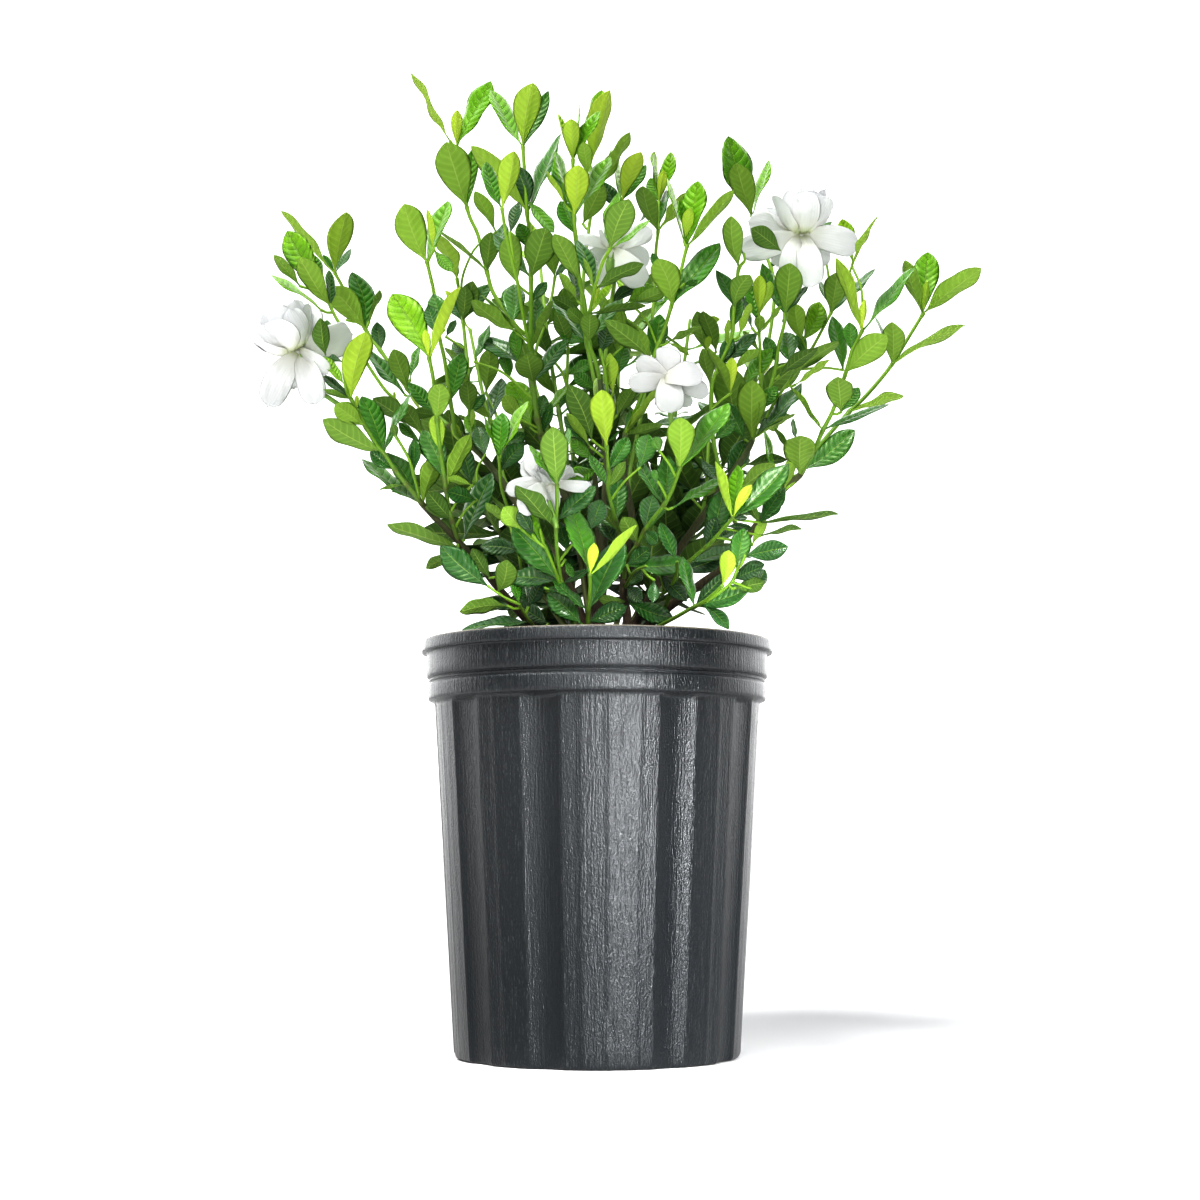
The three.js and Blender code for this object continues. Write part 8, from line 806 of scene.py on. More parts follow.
        [19.5,185,581.9,19.5,185.6,581.5,20.1,215.1,601.6,-0.04,-0.56,0.82,15.2,4,0],
        [19.5,185,581.9,18.8,185,582,-1.3,200.1,607.2,0.53,-0.47,0.7,15.3,4,0],
        [19,177.4,568.7,19,176.8,569.1,20.8,183.4,604,-0.79,-0.59,0.16,16.5,4,0],
        [19,177.4,568.7,19.3,178,568.4,26.3,207.1,587.6,-0.47,-0.41,0.78,15.3,4,0],
        [18.4,168.1,552.6,17.6,167.9,552.7,-19,177.1,586.8,0.69,0.18,0.7,23.5,2.9,0],
        [18.4,168.1,552.6,18.9,167.7,552.8,55.3,160.9,591.1,-0.67,0.29,0.68,22.8,1.7,0],
        [18.4,168.1,552.6,18.1,168.7,552.2,6.4,208.9,557.8,0.25,-0.06,0.97,18.9,2.4,0],
        [17.7,158.4,536.1,18.4,158,536.2,53.9,156.2,561.2,-0.56,0.18,0.81,20.4,2.9,0],
        [17.7,158.4,536.1,17.7,159.1,535.6,15.7,211.3,525.5,0.12,0.19,0.97,25,2.4,0],
        [17.7,158.4,536.1,17.2,157.8,536.4,-6.7,147.3,572,0.83,0.03,0.56,20.1,2.5,0],
        [17,148.6,519.7,17.6,149.1,519.3,41.9,182.7,524.4,-0.05,-0.12,0.99,19.8,2.7,0],
        [17,148.6,519.7,16.2,148.8,519.6,-27.7,173,531.1,0.05,-0.36,0.93,23.2,1.7,0],
        [17,148.6,519.7,17.6,148.1,520,52.6,131.3,554.5,-0.74,-0.33,0.59,23,2.4,0],
        [16.2,139.3,502.8,15.5,139.8,502.6,-10.8,175.5,510.9,-0.04,-0.26,0.97,19.2,1.8,0],
        [16.2,139.3,502.8,16,138.5,503.3,8.9,119.8,553.5,0.1,0.93,0.36,24.9,2.6,0],
        [16.2,139.3,502.8,17.1,139.1,502.9,56.1,148.9,529.8,-0.49,-0.31,0.82,23.1,2.3,0],
        [15.4,130.8,487.3,15,130.1,487.7,-1.5,107.8,528.4,0.61,0.56,0.56,23.1,2.1,0],
        [15.4,130.8,487.3,16.1,131.3,487,50.6,168.2,487.5,-0.08,0.06,1,22.9,1.8,0],
        [15.4,130.8,487.3,14.8,131.5,487,-6.3,171.6,492.7,0.13,-0.07,0.99,21.5,1.6,0],
        [14.4,123,471.8,15.4,122.9,471.8,50.7,132,493.9,-0.56,0.44,0.71,18.4,1.2,0],
        [14.4,123,471.8,14.6,123.9,471.4,22.3,170.4,466.4,-0.48,0.17,0.86,21.4,1.3,0],
        [14.4,123,471.8,13.7,122.4,472.1,-15.1,104.1,500.1,0.32,0.61,0.73,19.6,2.3,0],
        [13.3,115.1,454.8,13.9,115.7,454.4,47.2,151,444.5,0.25,0.04,0.97,23.6,1,0],
        [13.3,115.1,454.8,12.6,115.7,454.5,-9.8,152,462.9,0.44,0.06,0.9,20.2,1.5,0],
        [13.3,115.1,454.8,13.8,114.3,455.1,38.7,89.4,481.8,-0.71,0.04,0.7,21,2.1,0],
        [12.3,108.9,441.6,11.7,109.6,441.3,-8.8,146.2,457.1,0.12,-0.34,0.93,21,1,0],
        [12.3,108.9,441.6,12.1,108.1,442,2.4,88.5,488.7,0.21,0.89,0.41,24.1,1.1,0],
        [12.3,108.9,441.6,13.3,109.1,441.4,63.2,129.1,450.6,-0.22,0.1,0.97,24,1.9,0],
        [11.3,101.8,426.7,10.9,101,427.2,-5.7,71.6,454.5,-0.01,0.69,0.73,19.1,0.8,0],
        [11.3,101.8,426.7,11.9,101,427.1,36.6,76.8,456.2,-0.39,0.51,0.76,21,0.9,0],
        [11.3,101.8,426.7,11,102.8,426.3,2.6,146.6,424,-0.06,0.04,1,19.4,1.6,0],
        [10.3,94.9,412.2,11.3,94.5,412.4,56.6,84.6,431.9,-0.41,-0.06,0.91,21.7,1.8,0],
        [10.3,94.9,412.2,10.2,95.9,411.8,6.5,143.5,397,-0.18,0.28,0.94,21.2,1.1,0],
        [10.3,94.9,412.2,9.2,95,412.3,-28.2,107.4,426.7,0.12,-0.57,0.81,18.4,1.5,0],
        [9.1,87.2,396.2,9.5,88.1,395.7,26.9,138.6,399.4,0.12,-0.11,0.99,23.7,1.7,0],
        [9.1,87.2,396.2,8.1,86.9,396.4,-30.1,84,414.8,0.41,-0.5,0.76,20.1,1.4,0],
        [9.1,87.2,396.2,9.7,86.3,396.5,32,57.2,420.3,-0.07,0.6,0.8,19.2,1,0],
        [8.2,79.9,381.7,7.2,80.4,381.4,-32.7,109.5,379.6,-0.22,-0.24,0.95,23.1,1.6,0],
        [8.2,79.9,381.7,8.6,78.9,382.1,23.5,59.1,416.9,0.06,0.88,0.47,18.5,0.8,0],
        [8.2,79.9,381.7,9,80.6,381.2,34.9,118,382.9,-0.16,0.06,0.99,21,0.9,0],
        [7.3,71.4,365.1,7.8,70.4,365.6,33.1,39.5,406.2,-0.21,0.71,0.67,25.5,1.3,0],
        [7.3,71.4,365.1,8.4,71.7,364.9,54.4,95.6,365.7,0,-0.04,1,24.4,1.2,0],
        [7.3,71.4,365.1,6.1,71.4,365.2,-39.9,85.6,382,0.37,0.09,0.93,22.5,1,0],
        [6.4,63.5,349.9,7.5,63.8,349.7,57.4,87.2,357.5,0.03,-0.38,0.92,25.1,1.4,0],
        [6.4,63.5,349.9,6.1,64.5,349.5,-5.5,111.4,344.9,-0.05,0.08,1,21.9,1.5,0],
        [5.6,54.7,334,5.1,55.7,333.5,-12.2,104.4,323.9,-0.16,0.14,0.98,23.1,1.1,0],
        [5.6,54.7,334,5.7,53.6,334.7,10.2,18.9,376,0.18,0.76,0.62,25.3,0.4,0],
        [5.6,54.7,334,6.8,54.9,333.9,50.6,76.1,343.1,-0.19,-0.03,0.98,22.1,1.3,0],
    ]),
    "leafy_shoot_41": ([
        [1.14,2.13,71.7,150,544.7,68,134.8,518.1,64.1,119.2,491.7,57.7,103.2,459.8,46.7,86.8,417.2,34.7,69.7,373.9,24.3,51.7,335.1,14.4,32.2,298.5,4.8,8,262.7],
    ], [
        [69.8,142,530.8,70.5,142.1,530.6,95.4,160.6,548,-0.61,0.08,0.79,15.1,3.9,0],
        [67.9,134.4,517.6,67.2,134.1,517.8,32.3,128,539.5,0.54,-0.15,0.83,17.9,2.2,0],
        [67.9,134.4,517.6,68.7,134.4,517.5,119.5,148.8,536.6,-0.14,-0.58,0.8,25.7,2.8,0],
        [65.9,126.2,503.6,66.7,126,503.7,113.5,121.8,513.5,-0.22,-0.28,0.93,22.2,2.5,0],
        [57.6,103.1,459.5,57.4,104,459.2,55.2,158.4,473.7,-0.13,-0.26,0.96,26.7,1.1,0],
        [53.5,96.9,443.4,54.2,96.2,443.5,94.1,70.2,464.4,-0.44,0.04,0.9,23.5,2,0],
        [53.5,96.9,443.4,53.7,97.8,443,65.3,139.6,435.5,0.1,0.15,0.98,18.4,1.9,0],
        [53.5,96.9,443.4,52.6,96.7,443.7,13.3,92.5,467.4,0.52,-0.04,0.85,21.4,1.8,0],
        [49.2,90.6,427,49.9,91.2,426.6,80.6,121.6,436,-0.13,-0.17,0.98,18.8,1,0],
        [49.2,90.6,427,48.5,91.3,426.9,21.6,125.6,429.6,-0.35,-0.34,0.87,18.8,0.8,0],
        [49.2,90.6,427,50.1,90,427,87.3,76.1,441.6,-0.37,-0.02,0.93,19.8,2,0],
        [45.3,84.8,412.3,44.9,85.8,412,33.9,138.8,419.6,0.46,-0.04,0.89,26.2,0.7,0],
        [45.3,84.8,412.3,44.7,84.1,412.7,21.6,57.8,445.6,0.63,0.32,0.7,22.1,1.3,0],
        [45.3,84.8,412.3,46.4,84.6,412.1,89.2,88.7,428.2,-0.24,-0.59,0.77,21.1,0.8,0],
        [41.5,79.3,398.3,40.7,78.7,398.8,17.3,66.9,442.1,0.72,0.47,0.51,24.2,1.6,0],
        [41.5,79.3,398.3,42.5,79.4,398,86.6,94.6,409.4,-0.04,-0.52,0.85,22.8,0.7,0],
        [41.5,79.3,398.3,41.3,80.3,398,38.8,135.9,401.1,-0.26,-0.07,0.96,24,1,0],
        [36.8,72.7,381.5,37.8,72.3,381.4,86.2,67.5,402.2,-0.4,-0.09,0.91,23.6,1.5,0],
        [36.8,72.7,381.5,36.9,73.7,381.1,44.7,118.5,373.5,0.03,0.16,0.99,21.6,0.7,0],
        [36.8,72.7,381.5,36.4,71.8,382,23.7,44.3,420.2,-0.07,0.82,0.57,21.5,1.6,0],
        [33,66.7,367.5,32.6,67.7,367.1,22.7,121,369.2,-0.1,-0.06,0.99,23.6,0.6,0],
        [33,66.7,367.5,34,66.2,367.4,77.7,53,375.3,-0.27,-0.35,0.9,21.8,1.2,0],
        [29,59.9,352.7,29.3,58.8,353.1,50.6,21.3,388.7,0.15,0.72,0.67,25,0.8,0],
        [29,59.9,352.7,30,60.2,352.3,67.9,78.8,350.6,0.11,-0.14,0.98,18.6,1.5,0],
        [25.3,53.5,338.9,24.7,52.6,339.4,10.3,30.7,378.1,0.8,0.34,0.49,21.4,0.6,0],
        [25.3,53.5,338.9,26.2,52.8,339,60.5,43.9,361.9,-0.44,0.39,0.81,19.2,0.7,0],
        [25.3,53.5,338.9,24.7,54.4,338.6,10.1,104.9,349.8,0.02,-0.21,0.98,25.1,1.2,0],
        [21.9,47,326.2,22.6,46.1,326.5,58.4,26.9,358.3,-0.47,0.42,0.78,23.8,0.6,0],
        [21.9,47,326.2,22,48.1,325.6,33.8,99.3,324.4,0.19,-0.02,0.98,24.9,1.5,0],
    ]),
    "leafy_shoot_42": ([
        [1.14,2.13,119.2,118,486.4,111.7,106.2,465.7,104.1,94.1,445.1,93.2,81.8,420.4,76.4,69,387.8,58.1,55.8,354.6,40.7,41.9,323.2,23.3,26.8,292.8,6.2,8,262.7],
    ], [
        [119.2,118,486.4,118.6,117.8,486.8,109.9,128,519.8,0.73,-0.58,0.37,17,3.6,0],
        [119.2,118,486.4,119.5,117.4,486.7,137.7,113.8,517.1,-0.77,0.4,0.51,16.4,3.6,0],
        [114,109.8,472,113.3,109.8,472.3,83.9,130.8,510.8,0.82,0.15,0.55,24.3,1.6,0],
        [114,109.8,472,114.4,109.2,472.2,150,76.4,495.2,0.03,0.6,0.8,23,1.8,0],
        [114,109.8,472,114.3,110.3,471.6,135.1,147.7,456.5,0.3,0.21,0.93,20.5,2.3,0],
        [109.6,102.9,460,109.6,102.2,460.5,119.3,83.8,501.5,-0.79,0.47,0.4,19.9,2.2,0],
        [109.6,102.9,460,110.3,103.1,459.6,147.4,127,463.5,-0.14,0.05,0.99,19,1.5,0],
        [109.6,102.9,460,108.8,103.1,460.2,88.5,128.7,486.6,0.69,-0.17,0.7,20.1,1.9,0],
        [104.4,94.5,445.8,105,94,445.8,144.4,83.4,465.3,-0.39,0.19,0.9,20.7,1.1,0],
        [104.4,94.5,445.8,103.6,94.8,445.9,76.4,121.5,474.4,0.44,-0.41,0.8,20.1,1.3,0],
        [104.4,94.5,445.8,104.1,93.9,446.3,93.2,62.8,489.9,0.25,0.76,0.6,25.6,2.3,0],
        [97.5,86.6,430.1,97.6,87.4,429.6,111.8,128.3,426.2,0.07,0.06,1,18.9,1.1,0],
        [97.5,86.6,430.1,98.1,86,430.1,138.1,71.3,453.3,-0.5,0.02,0.87,21.2,1.6,0],
        [91.6,80.5,417.2,90.9,81.2,417.3,68.2,115.1,428.8,0.14,-0.23,0.96,20.2,1.4,0],
        [91.6,80.5,417.2,91.7,79.6,417.5,106.2,34.4,439,0.05,0.44,0.9,24.5,0.8,0],
        [91.6,80.5,417.2,92.3,81,416.7,127,105.5,413.7,0.26,-0.26,0.93,19.9,0.8,0],
        [83.5,74.4,401.7,83.1,73.8,402.2,72.4,51.7,437.3,0.49,0.67,0.56,19.1,1.8,0],
        [83.5,74.4,401.7,84.4,74.6,401.2,134.5,88.4,391.6,0.15,0.13,0.98,22.7,1.7,0],
        [83.5,74.4,401.7,83.2,75.4,401.5,79.4,129,407.8,-0.19,-0.13,0.97,23.2,1.4,0],
        [75.9,68.7,387,76.9,68.3,386.7,121.2,56.1,376.3,0.14,-0.3,0.94,21.5,1.3,0],
        [75.9,68.7,387,75.6,69.7,386.8,70.8,116.6,384.4,-0.44,0,0.9,19.9,0.6,0],
        [75.9,68.7,387,75.3,68,387.6,51.4,36.3,428.3,0.5,0.52,0.7,25.1,1.6,0],
        [69.2,63.8,374.8,69.7,64.6,374.2,103.9,107.1,370,0.21,-0.08,0.97,24.3,1.4,0],
        [69.2,63.8,374.8,68.5,63.3,375.4,39.7,43.9,411.5,0.63,0.35,0.69,23.4,1.5,0],
        [69.2,63.8,374.8,69.7,62.9,374.9,102.5,22.9,391.1,0.09,0.44,0.89,22.8,0.6,0],
        [60.6,57.6,359.1,59.9,58.4,359.1,48.2,101,375.4,0.12,-0.33,0.94,20.5,1.1,0],
        [60.6,57.6,359.1,60.8,56.5,359.4,78.4,16.8,381,-0.02,0.47,0.88,21.8,0.6,0],
        [60.6,57.6,359.1,61.5,57.6,358.5,103.6,63.5,348.4,0.18,0.3,0.94,18.3,1,0],
        [51.9,50.9,343.5,51.7,49.9,344.1,48,16.1,375.6,0.18,0.66,0.73,21.1,0.5,0],
        [51.9,50.9,343.5,53,50.4,343.2,94.9,49.7,354.4,-0.26,0.13,0.96,19.7,0.4,0],
        [51.9,50.9,343.5,51.7,51.9,343.2,57.3,96.8,347.6,0.55,-0.15,0.82,20.9,1.2,0],
        [45.3,45.6,331.6,45.9,44.6,331.7,86.5,16.3,354.1,-0.19,0.44,0.88,25.3,1.6,0],
        [45.3,45.6,331.6,45.7,46.5,331,68.4,83.9,322.6,0.01,0.21,0.98,20.7,1.5,0],
        [36.8,38.5,316.4,36.8,39.6,315.8,51.9,91,311.7,-0.28,0.16,0.95,24.7,0.7,0],
        [36.8,38.5,316.4,35.7,38.3,317.1,-2.3,38.7,356.6,0.72,-0.07,0.69,24.2,0.9,0],
        [36.8,38.5,316.4,36.4,37.5,317.1,39.2,16.2,360.8,-0.16,0.88,0.44,22.8,1,0],
    ]),
    "leafy_shoot_43": ([
        [1.14,2.13,-126.6,105,453.1,-114.3,94.6,433.1,-102,84,413.1,-87,73.1,389.9,-66.9,61.8,360.4,-46.8,50.1,330.9,-31.1,37.9,306.3,-17.8,24.6,284.4,-4.9,8,262.7],
    ], [
        [-126.6,105,453.1,-126.6,104.3,453.4,-144.1,104.9,484.4,0.87,0.09,0.49,15.9,3.4,0],
        [-126.6,105,453.1,-126,105.4,453.2,-124.2,130.7,478.2,-0.38,-0.64,0.67,16.9,3.3,0],
        [-126.6,105,453.1,-127.1,105.3,452.6,-154.7,124.5,464.4,0.34,-0.1,0.94,15.1,3.3,0],
        [-119,98.5,440.7,-118.4,99,440.8,-96.2,134.5,458,0.07,-0.47,0.88,21.6,2.2,0],
        [-119,98.5,440.7,-118.9,99.2,440.4,-128.3,153.3,438,-0.01,0.04,1,25.3,2.1,0],
        [-119,98.5,440.7,-119.3,97.9,440.8,-155.1,66.1,460.8,0.37,0.16,0.92,22.9,1,0],
        [-110.6,91.4,427.1,-110.7,92.1,426.6,-128.1,133.8,417.2,0.1,0.26,0.96,19.8,1,0],
        [-110.6,91.4,427.1,-110.7,90.7,427.4,-122.9,54.8,455.8,0.05,0.61,0.79,21.2,1.5,0],
        [-102.7,84.6,414.2,-103.4,84.4,413.9,-149.1,78.1,398.5,-0.34,0.32,0.88,22.5,0.7,0],
        [-102.7,84.6,414.2,-102.5,83.9,414.7,-107.9,53.6,453.6,-0.33,0.77,0.55,21.1,1.4,0],
        [-102.7,84.6,414.2,-102.5,85.3,413.9,-107.9,138.6,407.9,-0.47,0.05,0.88,23,1.1,0],
        [-95.4,79.2,402.9,-95.8,78.3,403.1,-122.8,53.8,423.1,0.64,-0.07,0.77,18.9,1.6,0],
        [-95.4,79.2,402.9,-94.8,79.8,403,-74,120.3,416.9,-0.02,-0.32,0.95,20.3,1.9,0],
        [-95.4,79.2,402.9,-96.1,79.3,402.4,-142.7,96.7,399.1,-0.03,0.1,0.99,21,1.6,0],
        [-87.9,73.7,391.3,-87.3,74.3,391.5,-61.2,106.9,401.9,-0.23,-0.13,0.96,20.2,1.7,0],
        [-87.9,73.7,391.3,-88.3,74.3,390.8,-120.5,112.6,384,0.06,0.22,0.97,23.1,1.4,0],
        [-87.9,73.7,391.3,-88.3,72.9,391.4,-121.8,46.9,414.7,0.04,0.64,0.77,22.3,1.4,0],
        [-79.6,68.9,379.1,-79.6,69.9,378.7,-90.6,112.1,375.6,0.01,0.08,1,18.6,1.2,0],
        [-79.6,68.9,379.1,-80.3,68.3,378.8,-121.1,55.4,387.8,0.17,0.15,0.97,19.2,0.7,0],
        [-79.6,68.9,379.1,-78.9,68.5,379.7,-60.2,57,410,-0.65,0.49,0.58,17.5,0.8,0],
        [-69.7,63.4,364.5,-70.5,63,364.1,-126.2,57.9,365.2,-0.02,0.46,0.89,26.6,1,0],
        [-69.7,63.4,364.5,-69.6,62.5,364.9,-89.3,30.7,407.2,0.72,0.35,0.6,24,1.6,0],
        [-69.7,63.4,364.5,-69.4,64.3,364.3,-73.6,110.2,375,0.26,-0.2,0.94,20.2,1.3,0],
        [-60,57.9,350.4,-59.7,58.9,350.2,-67.6,98.3,364.2,-0.19,-0.37,0.91,20.2,0.6,0],
        [-60,57.9,350.4,-60.8,57.2,350.1,-98.7,36,343,-0.02,-0.29,0.96,20.8,1.4,0],
        [-50.2,52.2,336,-49.5,53,336.2,-34.6,94.1,357.2,-0.32,-0.34,0.88,22.5,1,0],
        [-50.2,52.2,336,-51,52.5,335.3,-96.6,75.1,334,-0.12,-0.19,0.98,21.4,1.4,0],
        [-50.2,52.2,336,-50.3,51.2,336.4,-61.1,11.4,360.4,-0.02,0.52,0.85,21.6,0.7,0],
        [-42.2,46.5,323.7,-42.2,47.6,323.2,-58.8,91.5,327.1,-0.26,-0.19,0.95,21.4,1,0],
        [-42.2,46.5,323.7,-42.5,45.5,324,-67.1,5.3,342.7,0.49,0.11,0.87,22.1,0.9,0],
        [-33.6,39.8,310.3,-34.6,39.6,309.7,-87.5,48.1,313,0.01,-0.34,0.94,25.3,1.2,0],
        [-33.6,39.8,310.3,-33.3,38.9,310.9,-30.2,11.2,346.9,-0.51,0.66,0.55,20.5,0.4,0],
        [-33.6,39.8,310.3,-33.7,40.8,309.7,-44.7,91.8,291.3,0.14,0.36,0.92,24.2,0.5,0],
    ]),
    "leafy_shoot_44": ([
        [1.14,2.13,-21.6,190,466.1,-19.8,170.5,444.8,-18.2,150.5,424,-16.4,130.1,403.2,-14.4,109,381.9,-11.3,87.1,355.6,-7.7,64,328.5,-4.1,39.1,301.6,-0.7,8,275.2],
    ], [
        [-21.6,190,466.1,-21.4,190.5,465.7,-18.1,224.8,474.6,-0.41,-0.2,0.89,15.3,3.4,0],
        [-21.6,190,466.1,-20.9,189.8,466.3,-1.5,206.3,491.4,-0.69,-0.23,0.69,15.1,3.4,0],
        [-20.7,180,455.1,-21.4,180.1,455,-44.1,203.6,469.3,0.17,-0.39,0.91,15.3,3.3,0],
        [-20.7,180,455.1,-20.2,179.6,455.5,-8.7,194,486,0.07,-0.91,0.41,16.8,3.4,0],
        [-20.7,180,455.1,-20.5,180.5,454.7,-19.8,213.4,468.3,-0.46,-0.33,0.83,16.3,3.3,0],
        [-19.8,169.8,444.1,-19.3,169.3,444.6,7.3,160.1,489.4,-0.48,0.76,0.44,24.5,1.9,0],
        [-19.8,169.8,444.1,-19.4,170.3,443.6,-3.3,207.3,427.3,0.39,0.22,0.89,20.5,1.5,0],
        [-19.8,169.8,444.1,-20.6,169.7,444.1,-66.1,194.5,466.6,0.46,0.03,0.89,25.6,1.5,0],
        [-18.9,158.5,432.3,-18.1,158.7,432.2,20.5,194.7,443.9,-0.32,0.03,0.95,23,0.8,0],
        [-18.9,158.5,432.3,-19.5,158.9,431.9,-43.8,187.8,431.8,0.02,0.02,1,17.3,2,0],
        [-18.9,158.5,432.3,-18.8,157.9,432.9,-14.2,142.5,479.6,0.84,0.53,0.09,20.8,1.9,0],
        [-17.9,146.5,419.9,-17.5,147.1,419.4,1.7,192.8,394.3,0.09,0.45,0.89,26.3,0.6,0],
        [-17.9,146.5,419.9,-18.6,146.1,420.3,-52.9,139.2,448.6,0.54,0.39,0.75,20.2,1.5,0],
        [-17.9,146.5,419.9,-17,146.4,420.2,21.2,166.2,453.3,-0.43,-0.46,0.77,25.5,1,0],
        [-16.9,135.4,408.6,-16.4,134.9,409.2,4.2,132.9,451.1,-0.89,-0.16,0.43,20.1,1.5,0],
        [-16.9,135.4,408.6,-16.5,136,408.1,-0.4,179.2,397.5,0.41,0.07,0.91,22.5,1.4,0],
        [-15.9,124.7,397.8,-15.6,124,398.4,-4.1,117.4,440.2,-0.62,0.73,0.28,20.1,0.8,0],
        [-15.9,124.7,397.8,-15.3,125.3,397.3,10.5,159.5,381.9,0.5,0.01,0.86,20.9,1.3,0],
        [-15.9,124.7,397.8,-16.6,125.1,397.2,-50.4,163.2,383.8,0.17,0.46,0.87,24.8,0.7,0],
        [-14.9,114.1,387,-13.9,114.3,386.9,36.4,140.5,390.5,-0.06,-0.02,1,24.5,1.1,0],
        [-14.9,114.1,387,-15.5,114.5,386.5,-49,154.2,370.2,-0.21,0.21,0.95,23.1,1.6,0],
        [-14.9,114.1,387,-15.3,113.4,387.6,-31.5,111.3,419.7,0.89,-0.03,0.45,16.3,1.5,0],
        [-13.3,101.6,373,-13,102.4,372.4,-2,152.6,350.8,0.12,0.37,0.92,25.1,1.3,0],
        [-13.3,101.6,373,-12.2,101.6,373.2,22.5,117.3,393.1,-0.42,-0.2,0.89,20.3,0.5,0],
        [-11.8,91,360.3,-12.9,90.8,360.3,-58.4,105,382.8,0.42,-0.11,0.9,24.3,1.5,0],
        [-11.8,91,360.3,-10.8,90.8,360.6,35.5,90.3,377.8,-0.34,0.2,0.92,22.7,0.5,0],
        [-11.8,91,360.3,-12,91.8,359.6,-22.8,138.6,348.7,0.25,0.27,0.93,21.8,0.5,0],
        [-10.2,79.8,347.1,-9.1,79.7,347.4,18.6,90.3,368.8,-0.38,-0.54,0.75,16.6,1.3,0],
        [-10.2,79.8,347.1,-9.7,80.7,346.4,2,122.4,340.6,-0.18,0.18,0.97,18.6,0.5,0],
        [-10.2,79.8,347.1,-11.3,80,346.8,-53.6,94.4,341.9,-0.1,0.06,0.99,19,0.5,0],
        [-8.7,70.1,335.7,-7.7,70.6,335.4,30.9,103.6,332.8,0.19,-0.14,0.97,23.1,0.7,0],
        [-8.7,70.1,335.7,-9.7,70.5,335.3,-48.5,104.4,335.8,0.32,0.35,0.88,24.4,0.9,0],
        [-7.1,59.6,323.8,-7.9,60.3,323.1,-34,90.6,308,-0.36,0.14,0.92,19.2,0.7,0],
        [-7.1,59.6,323.8,-5.9,59.8,323.8,40.5,83,331.9,-0.16,-0.03,0.99,22.5,1.4,0],
    ]),
    "leafy_shoot_45": ([
        [1.14,2.13,81.1,165,423.4,74.7,148.2,407.8,68.5,130.9,392.6,62.2,113.3,377.2,55.2,95.1,361.1,44.7,76.2,338.8,33.2,56.3,315.2,21.5,34.8,291.5,10.4,8,268.3],
    ], [
        [81.1,165,423.4,81.6,164.6,423.6,105.4,176.1,447.4,-0.68,-0.08,0.72,15.8,3.1,0],
        [81.1,165,423.4,81.2,165.5,422.8,92.5,199.1,425.1,0.03,-0.08,1,15.6,3,0],
        [81.1,165,423.4,80.4,165,423.7,78.7,190.4,448.5,0.23,-0.67,0.7,15.3,3.1,0],
        [76.4,152.8,412.1,77.1,152.9,411.8,112.5,176.2,413.9,-0.17,0.17,0.97,18.8,1.8,0],
        [76.4,152.8,412.1,75.8,153.1,412,41,182.3,413.4,-0.06,-0.12,0.99,19.1,1.5,0],
        [76.4,152.8,412.1,77,152.4,412.3,116,147.1,437.4,-0.55,-0.23,0.81,20.5,0.7,0],
        [72.2,141.2,401.6,71.6,141.7,401.3,54.9,189.1,404,-0.07,-0.08,0.99,24,1.6,0],
        [72.2,141.2,401.6,72,140.7,402.3,69.1,132.5,451.6,-0.23,0.96,0.15,21.9,1.4,0],
        [72.2,141.2,401.6,73,141.2,401.3,114,155,392.8,0.24,-0.12,0.96,19.2,0.7,0],
        [67.2,127.3,389.3,66.6,127,389.9,44.8,133.8,428.4,0.74,-0.45,0.5,20.9,1.6,0],
        [67.2,127.3,389.3,68.1,126.9,389.4,119.1,134.5,405.8,-0.32,0.11,0.94,24.8,1,0],
        [67.2,127.3,389.3,67,127.9,388.7,63.7,173.4,370.1,-0.25,0.35,0.9,21,1.5,0],
        [63,115.6,379.2,63.9,115.3,379.2,108.2,119.8,387.3,-0.14,-0.33,0.93,19.4,0.5,0],
        [63,115.6,379.2,63.2,116.2,378.5,77,165.2,355.6,0.4,0.29,0.87,25.5,1.2,0],
        [63,115.6,379.2,62.2,115.6,379.6,26.3,122.6,401.6,0.54,0.32,0.78,19.9,1.6,0],
        [58.8,104.5,369.4,59.6,104.8,368.8,101,137.3,352.5,0.17,0.26,0.95,23.2,1.4,0],
        [58.8,104.5,369.4,57.9,105,369.3,13.5,137.7,366.8,0.04,0.13,0.99,25.3,0.5,0],
        [58.8,104.5,369.4,58.8,103.9,370.2,66.7,100.5,421.3,0.05,-1,-0.07,24.1,1.1,0],
        [54.6,94,359.7,54,94.8,359.3,44.8,138.5,358.5,-0.09,0,1,21.2,0.8,0],
        [54.6,94,359.7,55.6,93.8,359.4,110.1,96,352,0.13,-0.01,0.99,24.1,0.9,0],
        [49.4,84.7,348.7,48.4,84.8,349.1,12.5,100.2,367.3,0.46,0.02,0.89,18.3,1.1,0],
        [49.4,84.7,348.7,50.1,83.9,349.1,85.5,68.7,374.2,-0.58,-0.02,0.81,21.9,1.1,0],
        [49.4,84.7,348.7,49.1,85.5,348.2,44.6,133.8,338.2,0.25,0.22,0.94,22.9,0.5,0],
        [43.3,73.7,335.8,44.2,73,336,83.8,54.2,347.4,-0.17,0.23,0.96,20.9,0.4,0],
        [43.3,73.7,335.8,43.5,74.6,335.1,61.9,123.1,329.5,-0.09,0.15,0.98,24.7,1.4,0],
        [43.3,73.7,335.8,42.2,74,336.2,12.1,98.4,360.7,0.42,-0.34,0.84,21.2,1.3,0],
        [37.4,63.6,323.8,38.4,63.8,323.2,75.2,80.8,309.3,0.35,0,0.94,18.1,1,0],
        [37.4,63.6,323.8,36.7,64.4,323.5,13.9,101.4,316.2,-0.14,0.11,0.98,20.4,1.5,0],
        [37.4,63.6,323.8,37.3,62.8,324.6,43.1,54.6,366.5,-0.11,0.97,0.2,19.2,1.5,0],
